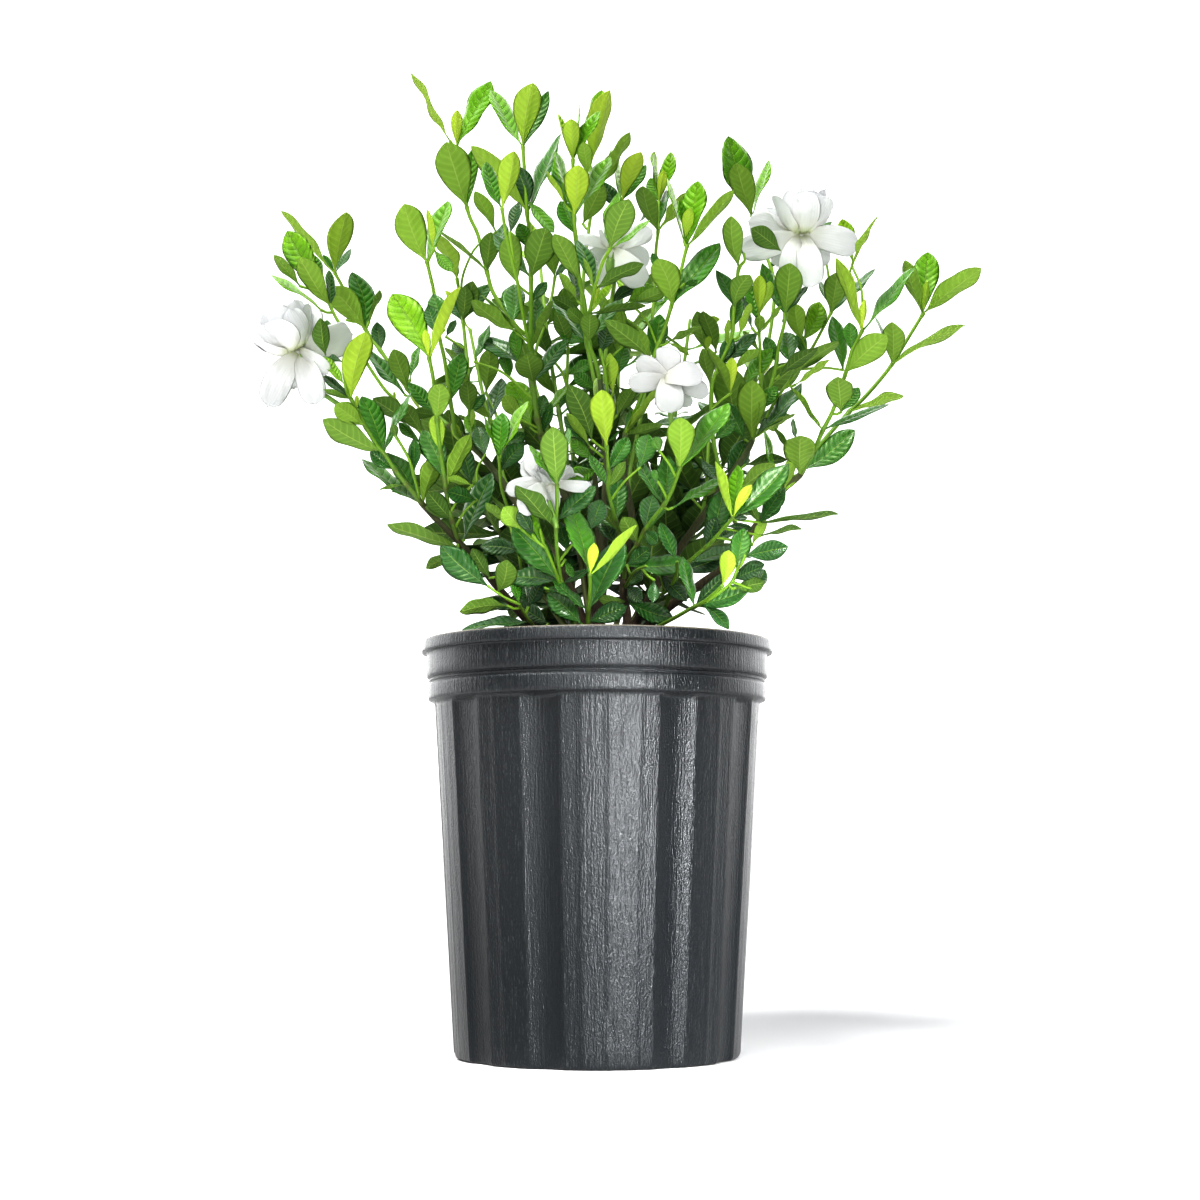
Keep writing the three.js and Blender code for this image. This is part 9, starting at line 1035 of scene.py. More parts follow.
        [31,52.3,310.8,31.1,53.2,309.9,44.5,96.8,303.7,-0.38,0.24,0.89,19.9,0.9,0],
        [31,52.3,310.8,29.9,52.3,311.3,-1.6,61.9,332.5,0.54,-0.09,0.84,18.5,0.6,0],
        [31,52.3,310.8,32.1,51.7,310.8,75.4,47.3,322.8,-0.25,0.14,0.96,20.7,0.5,0],
    ]),
    "leafy_shoot_46": ([
        [1.14,2.13,-75.6,140,398.2,-67.5,125.8,380.6,-59.8,111.4,363.1,-51.8,96.5,346.1,-43.2,81.2,329.6,-33.3,65.3,313.4,-22.9,48.6,297.7,-12.3,30.5,282.3,-2.1,8,266.9],
    ], [
        [-75.6,140,398.2,-75,139.8,398.6,-70.1,155.1,430.3,-0.48,-0.76,0.44,16.4,2.9,0],
        [-75.6,140,398.2,-75.6,140.6,397.7,-86.1,173.3,407.1,0.02,-0.27,0.96,15.1,2.8,0],
        [-75.6,140,398.2,-76.2,139.6,398.2,-102.3,150.4,420,0.68,0.25,0.69,16.6,2.9,0],
        [-69.6,129.5,385.1,-69.1,130,385,-54.8,177.2,397.4,0.3,-0.33,0.9,24.3,0.6,0],
        [-69.6,129.5,385.1,-70.3,129.3,385,-114.1,125,381.1,-0.08,-0.09,0.99,19.5,1.4,0],
        [-69.6,129.5,385.1,-69.5,129,385.6,-67.7,103.4,435.7,0.16,0.88,0.44,23.7,1.3,0],
        [-63.5,118.3,371.5,-63.9,118.8,371,-91.7,162.3,366.5,0.09,0.15,0.98,23.1,1.3,0],
        [-63.5,118.3,371.5,-63.9,117.7,371.9,-90.6,107.1,408,0.81,-0.11,0.57,21.6,1.2,0],
        [-63.5,118.3,371.5,-62.7,118.5,371.8,-27.4,134.8,388.8,-0.29,-0.32,0.9,17.8,0.5,0],
        [-58.2,108.4,359.7,-59,108.1,359.6,-103.2,103,361.4,0.05,-0.06,1,18.9,0.6,0],
        [-58.2,108.4,359.7,-57.4,108.4,360.1,-23.4,122.7,391.8,-0.49,-0.46,0.74,22.4,1.6,0],
        [-58.2,108.4,359.7,-57.5,109,359.6,-37.2,155.2,368.6,-0.38,-0.01,0.92,21.6,1,0],
        [-52.9,98.6,348.4,-52.1,98.7,348.7,-28.7,126.9,381.4,-0.64,-0.29,0.71,22.4,1.5,0],
        [-52.9,98.6,348.4,-52.6,99.3,347.9,-49.4,141.4,339.7,-0.2,0.2,0.96,18.8,0.4,0],
        [-52.9,98.6,348.4,-53.8,98.2,348.3,-106.4,98.4,355.8,0.12,-0.5,0.86,23,1,0],
        [-46.8,87.6,336.5,-45.9,87.9,336.6,-5.1,119.2,352.4,-0.33,-0.06,0.94,23.6,1.3,0],
        [-46.8,87.6,336.5,-47.1,88.2,335.7,-61.2,117.5,310.4,-0.43,0.46,0.78,19.4,1,0],
        [-40.9,77.5,325.8,-41.6,77.8,325,-80.8,109.7,314.1,-0.28,-0.02,0.96,22.4,0.9,0],
        [-40.9,77.5,325.8,-40.3,78.3,325.3,-29.8,119.9,319.5,-0.27,0.2,0.94,20.5,1.2,0],
        [-33.8,66.1,314.1,-34.8,65.9,313.8,-84.9,76.6,313.9,-0.05,-0.23,0.97,22.9,0.7,0],
        [-33.8,66.1,314.1,-33.2,65.7,314.9,-18.2,65.4,354.3,-0.75,-0.59,0.28,19.1,1.2,0],
        [-33.8,66.1,314.1,-33.8,66.9,313.4,-39.6,103.6,292.9,-0.21,0.45,0.87,18.2,0.5,0],
        [-26.1,53.7,302.5,-25.5,53.3,303.4,-9.2,49,347.3,-0.9,0.25,0.36,22.4,1.3,0],
        [-26.1,53.7,302.5,-25.3,54.5,302.1,-7,107.3,301,0.11,-0.02,0.99,23.7,0.7,0],
        [-26.1,53.7,302.5,-27.1,53.6,301.9,-76.1,65,288.6,-0.33,-0.44,0.83,23.7,1.5,0],
        [-18.7,41.5,291.6,-17.6,42,291.7,6,84.7,308.7,-0.15,-0.3,0.94,24.2,1.2,0],
        [-18.7,41.5,291.6,-19.4,41.8,290.7,-57.6,66.4,257.6,-0.41,0.43,0.8,25.5,1,0],
        [-18.7,41.5,291.6,-18.7,40.7,292.5,-33.8,41.4,331.8,0.83,-0.44,0.33,17.7,0.7,0],
    ]),
}
# node: (centre, axis, stalk, petals); petal: [base x y z, tip x y z, normal, width, kind]
FLOWERS = {
    "flower_left": ([-202.8,-50,472.2], [-0.55,-0.1,0.83], [[-192,-52,449], [-176.4,-52,437.4], [-165.9,-49,431.1]], [
        [-201.6,-49.1,474.5,-196,-44.6,507.5,0.21,-0.97,0.1,24.4,"o"],
        [-200.4,-48.5,473.9,-166.2,-41,486.8,0.28,-0.94,-0.18,25.8,"o"],
        [-199.2,-51.5,471.8,-181.8,-59,456.4,-0.29,-0.95,0.13,14.9,"o"],
        [-200.4,-52.1,468.9,-188.4,-62.6,436.5,-0.04,-0.96,0.29,21,"o"],
        [-203.2,-51.8,469,-220,-60.8,433.5,0.31,-0.95,0.09,21.7,"o"],
        [-203,-48.2,468.5,-204,-39.2,449.8,0.13,-0.89,-0.44,10.9,"o"],
        [-203.3,-51.5,471.8,-224.2,-59,497.6,0.11,-0.97,-0.19,23.1,"i"],
        [-203,-49.1,473.8,-212.3,-44.6,506.1,0.04,-0.99,0.15,21.7,"i"],
        [-204.8,-50.3,472.1,-235.2,-51.8,485.6,-0.02,-0.99,-0.16,20.3,"i"],
        [-206.3,-49.1,471,-238.2,-44.6,470,-0.13,-0.96,-0.24,12.2,"i"],
        [-202.4,-52.7,471.6,-217.5,-66.2,488.9,0.3,-0.86,-0.41,25.8,"i"],
        [-203.5,-48.7,471.9,-212,-21.1,456.8,-0.67,0.17,0.72,24,"o"],
        [-202.9,-48.5,472.3,-202,-14,471,-0.56,0.04,0.83,27,"o"],
        [-202.3,-48.7,472.7,-184.7,-21.3,473.8,-0.4,0.2,0.9,24,"o"],
        [-203.2,-48.6,472.1,-220.7,-33.8,490,-0.15,-0.8,0.58,24,"i"],
        [-202.6,-48.6,472.5,-213,-34.6,495.9,-0.47,-0.82,0.33,24,"i"],
    ]),
    "flower_right": ([144.8,4,568.6], [0,-0.05,1], [[141.6,10,542], [136,13,524.7], [132.2,12,508.5]], [
        [142.8,4.9,571.1,107.1,9.4,581.2,-0.19,-0.95,-0.26,21.8,"o"],
        [141.2,2.8,567.5,101.1,-3.2,556.4,0.2,-0.96,-0.21,21.8,"o"],
        [141.8,2.2,565.9,132.3,-6.8,536.7,0.09,-0.96,0.27,15,"o"],
        [145.3,1.8,565.8,150.1,-9.5,529.5,-0.19,-0.94,0.27,20.5,"o"],
        [147.5,2.7,567.5,182.6,-4.1,559,-0.24,-0.94,-0.25,21.8,"o"],
        [147.8,6,567,165.7,15.7,553.1,0.12,-0.88,-0.46,14.1,"o"],
        [143.2,1.9,567.3,143.9,-8.6,596.7,-0.09,-0.94,-0.33,29.6,"i"],
        [142,4.3,569.4,129.8,5.8,602.7,-0.19,-0.98,-0.03,18.3,"i"],
        [144.3,5.8,569.9,143.5,14.8,610.7,-0.12,-0.97,0.21,23.9,"i"],
        [146.3,4.3,569.4,160.3,5.8,602.7,0.04,-1,0.03,19,"i"],
        [147.8,5.4,571.2,174.3,12.1,592.9,0.26,-0.97,-0.01,16.9,"i"],
        [144.1,5.3,568.7,128.7,32.5,559.5,-0.15,0.22,0.96,24,"o"],
        [144.8,5.5,568.7,144.8,39.9,565.4,0,0.09,1,27,"o"],
        [145.6,5.3,568.7,160.8,32.2,558.4,0.17,0.25,0.95,24,"o"],
        [144.4,5.4,568.7,139.8,21.5,592.5,0.2,-0.77,0.61,24,"i"],
        [145.2,5.4,568.7,149.6,20.6,593.1,-0.2,-0.79,0.58,24,"i"],
    ]),
    "flower_top": ([10.6,22,563.6], [0.1,0.1,0.99], [[12.2,36,554.3], [12.2,44,543.9], [10,44,529.1]], [
        [9.9,22.6,565.3,-15.9,25.6,573.5,-0.18,-0.96,-0.22,10,"o"],
        [12.1,22.3,565.9,40,23.8,579.6,0.15,-0.97,-0.2,17.1,"o"],
        [12.1,23.5,563.3,38,31,560.3,0.23,-0.92,-0.31,17.1,"o"],
        [11.3,21.1,561.9,31.9,16.6,537.3,-0.23,-0.97,-0.02,21.4,"o"],
        [9.9,22.3,562.3,3.5,23.8,536.3,0.05,-1,-0.07,11.4,"o"],
        [9.8,23.2,563.6,-6.9,46,559.8,0.04,0.18,0.98,22,"o"],
        [10.6,23.5,563.5,10.5,54,562.7,0.1,0.03,0.99,24,"o"],
        [11.5,23.2,563.4,27.1,46,556.4,0.16,0.18,0.97,22,"o"],
        [10.6,23.5,563.5,12.5,37.6,581.7,0.06,-0.76,0.65,22,"i"],
    ]),
    "flower_middle": ([46.2,-104,440.9], [0.35,-0.55,0.75], [[46.4,-96,428], [49,-95,409.7], [53.5,-92,386.4]], [
        [45.6,-102.8,442.5,45.8,-100.3,464.6,-0.02,-0.97,0.23,17.7,"o"],
        [46.2,-102.6,441.8,67.2,-96.5,459.9,0.27,-0.96,0.03,18.2,"i"],
        [47.5,-104.9,440.7,67.1,-109,444.7,-0.15,-0.96,-0.24,17,"i"],
        [44.3,-103.7,442.3,25.1,-102.3,454.2,-0.16,-0.98,-0.14,14.5,"o"],
        [43.6,-104.9,440.7,20.8,-109,437.4,0.2,-0.96,-0.19,14.5,"o"],
        [46.1,-106.1,439.8,47.5,-115.7,418.9,-0.09,-0.91,0.41,21.4,"o"],
        [48.8,-104.6,438.8,72,-107.3,431.6,-0.17,-0.97,-0.17,13.3,"o"],
        [48.8,-103.1,438.4,61.5,-99,424.7,0.02,-0.96,-0.27,9.7,"o"],
        [45.7,-103,441.9,36.1,-83.4,456.8,0.32,-0.48,0.82,20.5,"o"],
        [46.5,-102.8,441.6,53.9,-80.4,457.4,0.34,-0.61,0.72,22.3,"o"],
        [47.3,-103,441.1,64.9,-83.4,443.3,0.42,-0.48,0.77,20.5,"o"],
        [46.5,-102.8,441.6,55.6,-103.4,461.1,0.01,-1,0.02,20.5,"i"],
        [46.1,-106,441.8,67.6,-111.4,445.4,-0.25,-0.85,0.45,22.3,"o"],
    ]),
    "flower_low": ([-29.6,-104,372.5], [-0.1,-0.5,0.86], [[-30.7,-108,361.4], [-28,-112,351], [-25.4,-113,342.4]], [
        [-30.2,-103.1,374,-45.3,-98.6,395.1,-0.17,-0.98,0.09,17,"o"],
        [-30.9,-102.5,374.1,-50.6,-95,388.5,-0.31,-0.95,0.06,11.7,"o"],
        [-30.8,-104.6,371.7,-58.4,-107.6,367.3,0.13,-0.98,-0.15,13,"o"],
        [-29.5,-105.5,370.3,-49.1,-113,353.4,0.31,-0.95,0.06,17,"o"],
        [-28.2,-105.2,370.3,-28.1,-111.2,353.7,0.02,-0.94,0.34,9.1,"o"],
        [-25,-104.3,373.1,-3.1,-105.8,370.2,-0.09,-0.98,-0.16,9.1,"o"],
        [-25.7,-103.1,374.6,-15.5,-98.6,384.6,0.32,-0.94,0.1,9.1,"o"],
        [-30.5,-102.9,373,-47.7,-81.3,380.1,-0.16,-0.43,0.89,22,"o"],
        [-29.7,-102.7,373.2,-31.7,-77.6,390.4,-0.1,-0.56,0.82,24,"o"],
        [-28.8,-102.9,373.2,-13.7,-81.3,384.1,-0.05,-0.43,0.9,22,"o"],
        [-29.7,-102.7,373.2,-32.4,-102,396.3,-0.01,-1,0.08,22,"i"],
    ]),
}

# ------------------------------------------------------------------ helpers
def nrm(a):
    a = np.asarray(a, float)
    return a / max(1e-12, np.linalg.norm(a))

def rows_norm(a):
    return a / np.maximum(1e-12, np.linalg.norm(a, axis=-1, keepdims=True))

class Builder:
    """Collects vertices, faces, material numbers and per-point values for one object."""
    def __init__(self):
        self.v, self.f, self.m, self.n = [], [], [], 0
        self.attr = {}
    def add(self, verts, faces, mat=0, **attr):
        verts = np.asarray(verts, float).reshape(-1, 3)
        k = len(verts)
        self.v.append(verts)
        for a in attr:
            if a not in self.attr:
                self.attr[a] = [np.zeros(self.n)]
        for a in self.attr:
            self.attr[a].append(np.broadcast_to(np.asarray(attr.get(a, 0.0), float), (k,)))
        off = self.n
        for fc in faces:
            self.f.append([i + off for i in fc])
        self.m.extend(mat if hasattr(mat, "__len__") else [mat] * len(faces))
        self.n += k
    def make(self, name, mats, smooth=True):
        me = bpy.data.meshes.new(name)
        V = np.concatenate(self.v) * MM
        me.vertices.add(len(V)); me.vertices.foreach_set("co", V.astype(np.float32).ravel())
        tot = np.array([len(f) for f in self.f], np.int32)
        flat = np.fromiter((i for f in self.f for i in f), np.int32, int(tot.sum()))
        me.loops.add(len(flat)); me.loops.foreach_set("vertex_index", flat)
        me.polygons.add(len(tot))
        me.polygons.foreach_set("loop_start", np.concatenate([[0], np.cumsum(tot)[:-1]]).astype(np.int32))
        me.polygons.foreach_set("loop_total", tot)
        me.polygons.foreach_set("material_index", np.array(self.m, np.int32))
        me.polygons.foreach_set("use_smooth", np.full(len(tot), smooth))
        for m in mats:
            me.materials.append(m)
        for a, parts in self.attr.items():
            at = me.attributes.new(a, "FLOAT", "POINT")
            at.data.foreach_set("value", np.concatenate(parts).astype(np.float32))
        me.update(calc_edges=True)
        me.validate()
        ob = bpy.data.objects.new(name, me)
        bpy.context.scene.collection.objects.link(ob)
        return ob

def catmull(P, step):
    P = [np.asarray(p, float) for p in P]
    if len(P) == 2:
        n = max(1, int(np.linalg.norm(P[1] - P[0]) / step))
        return [P[0] + (P[1] - P[0]) * i / n for i in range(n + 1)]
    Q = [2 * P[0] - P[1]] + P + [2 * P[-1] - P[-2]]
    out = []
    for i in range(1, len(Q) - 2):
        p0, p1, p2, p3 = Q[i - 1:i + 3]
        n = max(1, int(round(np.linalg.norm(p2 - p1) / step)))
        for k in range(n):
            t = k / n
            out.append(0.5 * (2 * p1 + (p2 - p0) * t + (2 * p0 - 5 * p1 + 4 * p2 - p3) * t * t + (3 * p1 - p0 - 3 * p2 + p3) * t ** 3))
    out.append(P[-1])
    return out

def sweep(b, pts, radii, sides=10, mat=0, dome0=True, dome1=False, **attr):
    """Closed tube through pts, with a rounded start and a flat or rounded end."""
    pts = [np.asarray(p, float) for p in pts]
    radii = list(radii)
    def cap(p, d, r):
        return [(p + d * r * s, r * c) for s, c in ((0.5, 0.87), (0.85, 0.53))]
    if dome0:
        d = nrm(pts[0] - pts[1]); extra = cap(pts[0], d, radii[0])
        pts = [e[0] for e in reversed(extra)] + pts; radii = [e[1] for e in reversed(extra)] + radii
    if dome1:
        d = nrm(pts[-1] - pts[-2]); extra = cap(pts[-1], d, radii[-1])
        pts += [e[0] for e in extra]; radii += [e[1] for e in extra]
    P = np.array(pts); n = len(P)
    T = np.gradient(P, axis=0); T = rows_norm(T)
    u = nrm(np.cross(T[0], [0.3, 0.5, 0.81]))
    ang = np.arange(sides) / sides * 2 * np.pi
    V = []; along = []
    s = 0.0
    for i in range(n):
        u = nrm(u - T[i] * np.dot(u, T[i])); w = np.cross(T[i], u)
        if i: s += np.linalg.norm(P[i] - P[i - 1])
        ring = P[i] + radii[i] * (np.outer(np.cos(ang), u) + np.outer(np.sin(ang), w))
        V.append(ring); along.append(np.full(sides, s))
    V = np.concatenate(V); along = np.concatenate(along)
    F = []
    for i in range(n - 1):
        for k in range(sides):
            l = (k + 1) % sides
            F.append((i * sides + k, i * sides + l, (i + 1) * sides + l, (i + 1) * sides + k))
    F.append(tuple(reversed(range(sides))))
    F.append(tuple((n - 1) * sides + k for k in range(sides)))
    b.add(V, F, mat, along=along, **attr)

# blade template: rows along, columns across; top and underside share their margin points
def blade_topology(NU, NV):
    cols = 2 * NV + 1
    idx_top = {}; idx_bot = {}; n = 0
    order = []
    for i in range(1, NU):
        for j in range(cols):
            idx_top[i, j] = n; order.append((i, j, 1)); n += 1
    for i in range(1, NU):
        for j in range(cols):
            if j in (0, cols - 1):
                idx_bot[i, j] = idx_top[i, j]
            else:
                idx_bot[i, j] = n; order.append((i, j, -1)); n += 1
    base = n; order.append((0, NV, 0)); tip = n + 1; order.append((NU, NV, 0))
    F = []; M = []
    for i in range(1, NU - 1):
        for j in range(cols - 1):
            F.append((idx_top[i, j], idx_top[i, j + 1], idx_top[i + 1, j + 1], idx_top[i + 1, j])); M.append(0)
            F.append((idx_bot[i, j], idx_bot[i + 1, j], idx_bot[i + 1, j + 1], idx_bot[i, j + 1])); M.append(1)
    for j in range(cols - 1):
        F.append((base, idx_top[1, j + 1], idx_top[1, j])); M.append(0)
        F.append((base, idx_bot[1, j], idx_bot[1, j + 1])); M.append(1)
        F.append((tip, idx_top[NU - 1, j], idx_top[NU - 1, j + 1])); M.append(0)
        F.append((tip, idx_bot[NU - 1, j + 1], idx_bot[NU - 1, j])); M.append(1)
    return np.array(order), F, M

def smooth_table(xs, ys, x):
    """Monotone cubic through a table."""
    xs, ys = np.array(xs, float), np.array(ys, float)
    h = np.diff(xs); d = np.diff(ys) / h
    m = np.zeros(len(xs)); m[0], m[-1] = d[0], d[-1]
    for k in range(1, len(xs) - 1):
        m[k] = 0 if d[k - 1] * d[k] <= 0 else 2 * d[k - 1] * d[k] / (d[k - 1] + d[k])
    k = np.clip(np.searchsorted(xs, x, side="right") - 1, 0, len(h) - 1)
    t = (x - xs[k]) / h[k]
    return (2 * t**3 - 3 * t**2 + 1) * ys[k] + (t**3 - 2 * t**2 + t) * h[k] * m[k] + (-2 * t**3 + 3 * t**2) * ys[k + 1] + (t**3 - t**2) * h[k] * m[k + 1]

LEAF_T = (0, .05, .11, .19, .29, .40, .52, .63, .73, .83, .91, .965, 1)
LEAF_SPOON = (.06, .09, .18, .35, .56, .77, .93, 1.0, .98, .83, .55, .28, 0)
LEAF_OVAL = (.06, .12, .24, .44, .68, .88, .99, 1.0, .90, .68, .41, .19, 0)
LEAF_NU, LEAF_NV = 20, 4
L_ORD, L_F, L_M = blade_topology(LEAF_NU, LEAF_NV)
# rows lie closer together at the foot and tip
U_ROWS = np.array([0.5 - 0.5 * math.cos(math.pi * (0.06 + 0.94 * i / LEAF_NU)) if i else 0.0 for i in range(LEAF_NU + 1)])
U_ROWS = (U_ROWS - U_ROWS[0]) / (U_ROWS[-1] - U_ROWS[0])

def leaf(b, row, rng, mats=(0, 1)):
    A, B, T, n, W, tone, bow = row[0:3], row[3:6], row[6:9], row[9:12], row[12], row[13], row[14]
    A, B, T = (np.array(x, float) for x in (A, B, T))
    young = tone >= 3.9
    # leaves low in the bush get a lower tone, a painted shade for the dim lower bush, and grow a little longer and
    # wider
    low = min(1.0, max(0.0, (455 - 0.5 * (A[2] + T[2])) / 150))
    tone = tone - (0.25 if young else 0.95) * low if tone > 0.5 else tone
    T = A + (T - A) * (1 + 0.10 * low); W = W * (1 + 0.12 * low)
    L = np.linalg.norm(T - A); d = (T - A) / L
    n = np.array(n, float); n = nrm(n - d * np.dot(n, d)); s = np.cross(d, n)
    i = L_ORD[:, 0]; j = L_ORD[:, 1] - LEAF_NV; side = L_ORD[:, 2]
    u = U_ROWS[i]; v = np.sign(j) * (np.abs(j) / LEAF_NV) ** 0.9
    oval = 0.0 if young else min(1.0, max(0.0, (3.1 - tone) / 1.9)) * rng.uniform(0.6, 1.0)
    outline = [a + (b - a) * oval for a, b in zip(LEAF_SPOON, LEAF_OVAL)]
    half = smooth_table(LEAF_T, outline, np.clip((u - 0.02) / 0.98, 0, 1)) * W / 2
    half = np.maximum(half, np.where(u < 0.1, 0.55, 0.0) * (1 - u))
    fold = math.radians(rng.uniform(22, 38) if young else rng.uniform(4, 13))
    arch = -0.42 * W / 2 * math.tan(fold) + L * (0.0 if young else rng.uniform(-0.022, 0.022))
    droop = L * (0.0 if young else rng.uniform(-0.02, 0.02))
    twist = rng.uniform(-0.18, 0.18)
    sk = rng.uniform(-0.02, 0.02) * L
    mid_n = arch * np.sin(np.pi * u) + droop * np.sin(2 * np.pi * u) * 0.5
    slope = (arch * np.pi * np.cos(np.pi * u) + droop * np.pi * np.cos(2 * np.pi * u)) / L
    mid_s = (bow + sk * 0.4) * np.sin(np.pi * u)
    nl = rows_norm(n[None] - d[None] * slope[:, None])
    tw = twist * u
    sl = rows_norm(s[None] * np.cos(tw)[:, None] + nl * np.sin(tw)[:, None])
    nl2 = rows_norm(np.cross(sl, d[None] + n[None] * slope[:, None]))
    mid = A[None] + d[None] * (L * u)[:, None] + n[None] * mid_n[:, None] + s[None] * mid_s[:, None]
    av = np.abs(v)
    k1 = rng.uniform(1.2, 2.4); ph = rng.uniform(0, 6.28); amp = rng.uniform(0.012, 0.035) * (0.6 if young else 1.0)
    # margins lift from the fold, the half blades belly, the margin waves, the veins quilt the blade
    lift = half * av * math.tan(fold) * (1 - 0.35 * u)
    belly = half * 0.09 * np.sin(np.pi * av)
    wave = L * amp * av ** 2 * np.sin(2 * np.pi * (k1 * u + 0.13 * np.sign(v)) + ph) * np.sin(np.pi * np.clip(u, 0, 1)) ** 0.6
    vein = 0.5 + 0.5 * np.cos(2 * np.pi * (u * 8.5 - av * 1.15))
    quilt = -0.16 * vein * np.sin(np.pi * av) * (half > 2.5)
    thick = np.where(u < 0.09, 0.62 * (1 - u / 0.14), 0.0); thick = np.maximum(thick, 0.17 + 0.16 * (1 - av) ** 3 * (side < 0))
    off = lift + belly + wave + quilt + side * thick * np.where(av > 0.99, 0, 1)
    V = mid + sl * (v * half * math.cos(fold))[:, None] + nl2 * off[:, None]
    b.add(V, L_F, [mats[m] for m in L_M], lu=u, lv=v, tone=tone / 5.0, rnd=rng.random())

PET_T = (0, .10, .22, .36, .52, .68, .80, .90, .96, 1)
PET_OUTER = (.34, .44, .60, .79, .93, 1.0, .97, .85, .60, 0)
PET_INNER = (.56, .70, .84, .95, 1.0, .98, .88, .72, .50, 0)
P_NU, P_NV = 20, 8
P_ORD, P_F, P_M = blade_topology(P_NU, P_NV)
PU = np.array([math.sin(0.5 * math.pi * i / P_NU) for i in range(P_NU + 1)])

def petal(b, B, T, n, W, rng, inner=False, cup=8.0, arch=0.08, curl=0.10, twist=0.2):
    """One petal from its foot B to its tip T; n is the normal of its upper face."""
    B, T, n = (np.array(x, float) for x in (B, T, n))
    L = np.linalg.norm(T - B); d = (T - B) / L
    n = nrm(n - d * np.dot(n, d)); s = np.cross(d, n)
    i = P_ORD[:, 0]; j = P_ORD[:, 1] - P_NV; side = P_ORD[:, 2]
    u = PU[i]; v = np.sign(j) * (np.abs(j) / P_NV) ** 0.85
    half = smooth_table(PET_T, PET_INNER if inner else PET_OUTER, u) * W / 2
    far = np.clip((u - 0.55) / 0.45, 0, 1)
    mid_n = L * (arch * np.sin(np.pi * u) - curl * far ** 2)
    slope = arch * np.pi * np.cos(np.pi * u) - curl * 4.4 * far
    nl = rows_norm(n[None] - d[None] * slope[:, None])
    tw = twist * (u - 0.3)
    sl = rows_norm(s[None] * np.cos(tw)[:, None] + nl * np.sin(tw)[:, None])
    nl2 = rows_norm(np.cross(sl, d[None] + n[None] * slope[:, None]))
    bend = rng.uniform(-0.05, 0.05) * L
    mid = B[None] + d[None] * (L * u)[:, None] + n[None] * mid_n[:, None] + s[None] * (bend * np.sin(np.pi * u))[:, None]
    av = np.abs(v)
    ph, k1 = rng.uniform(0, 6.28), rng.uniform(1.0, 2.1)
    lift = half * av ** 1.7 * math.tan(math.radians(cup)) * (1 - (0.45 if inner else 0.75) * u)
    wave = L * rng.uniform(0.022, 0.045) * (0.55 if inner else 1.0) * av ** 2 * np.sin(2 * np.pi * k1 * u + ph + 1.1 * np.sign(v)) * u
    ruff = L * (0.005 if inner else 0.010) * np.sin(2 * np.pi * (3.1 * u + 1.7 * v) + ph) * u * av
    roll = -half * rng.uniform(0.05, 0.32) * np.clip((av - 0.5) / 0.5, 0, 1) ** 2 * u ** 2
    rib = 0.16 * np.cos(2 * np.pi * v * 2.3 + ph) * np.sin(np.pi * u) * (1 - av)
    point = L * (0.045 if inner else 0.035) * np.clip((u - 0.80) / 0.20, 0, 1) ** 2 * (1 - av) ** 3
    thick = 0.10 + 0.22 * (1 - av) ** 2 * (1 - u)
    V = mid + sl * (v * half * (1 - 0.22 * math.tan(math.radians(cup)) * av))[:, None] + nl2 * (lift + wave + ruff + roll + rib + side * thick * np.where(av > 0.99, 0, 1))[:, None] + d[None] * point[:, None]
    b.add(V, P_F, 0, lu=u, lv=v, inner=1.0 if inner else 0.0, rnd=rng.random())

# whorls of the inner cup: count, height, radius at the foot, radius at the top, width, outward curl, wrap in degrees, bulge
WHORLS = ((7, 29.0, 8.6, 21.0, 25.0, 0.16, 26, 0.20), (6, 33.0, 7.0, 15.0, 23.5, 0.13, 28, 0.19), (5, 35.0, 5.0, 9.6, 20.5, 0.10, 30, 0.17), (4, 34.5, 3.0, 4.6, 16.0, 0.04, 34, 0.13))

def inner_cup(b, C, axis, e1, e2, k, rng):
    """Overlapping petals wrapped round one another, each with one margin outside its neighbour."""
    for n, H, rb, rt, W, curl, wrap, bulge in WHORLS:
        t0 = rng.uniform(0, 6.28)
        for q in range(n):
            t = t0 + q * 2 * math.pi / n + rng.uniform(-0.12, 0.12)
            out = e1 * math.cos(t) + e2 * math.sin(t); across = e2 * math.cos(t) - e1 * math.sin(t)
            h = H * k * rng.uniform(0.88, 1.05)
            foot = C + out * rb * k * 0.8 + axis * 0.5 * k
            tip = C + out * rt * k * rng.uniform(0.85, 1.18) + axis * h + across * rng.uniform(-2.6, 2.6) * k
            petal(b, foot, tip, across * 0.26 - out, W * k * rng.uniform(0.94, 1.1), rng, True, wrap, -bulge, curl * rng.uniform(0.7, 1.5), rng.uniform(-0.1, 0.30))

# ------------------------------------------------------------------ materials
def new_mat(name):
    m = bpy.data.materials.new(name); m.use_nodes = True
    nt = m.node_tree; nt.nodes.clear()
    out = nt.nodes.new("ShaderNodeOutputMaterial"); bs = nt.nodes.new("ShaderNodeBsdfPrincipled")
    nt.links.new(bs.outputs["BSDF"], out.inputs["Surface"])
    return m, nt, bs

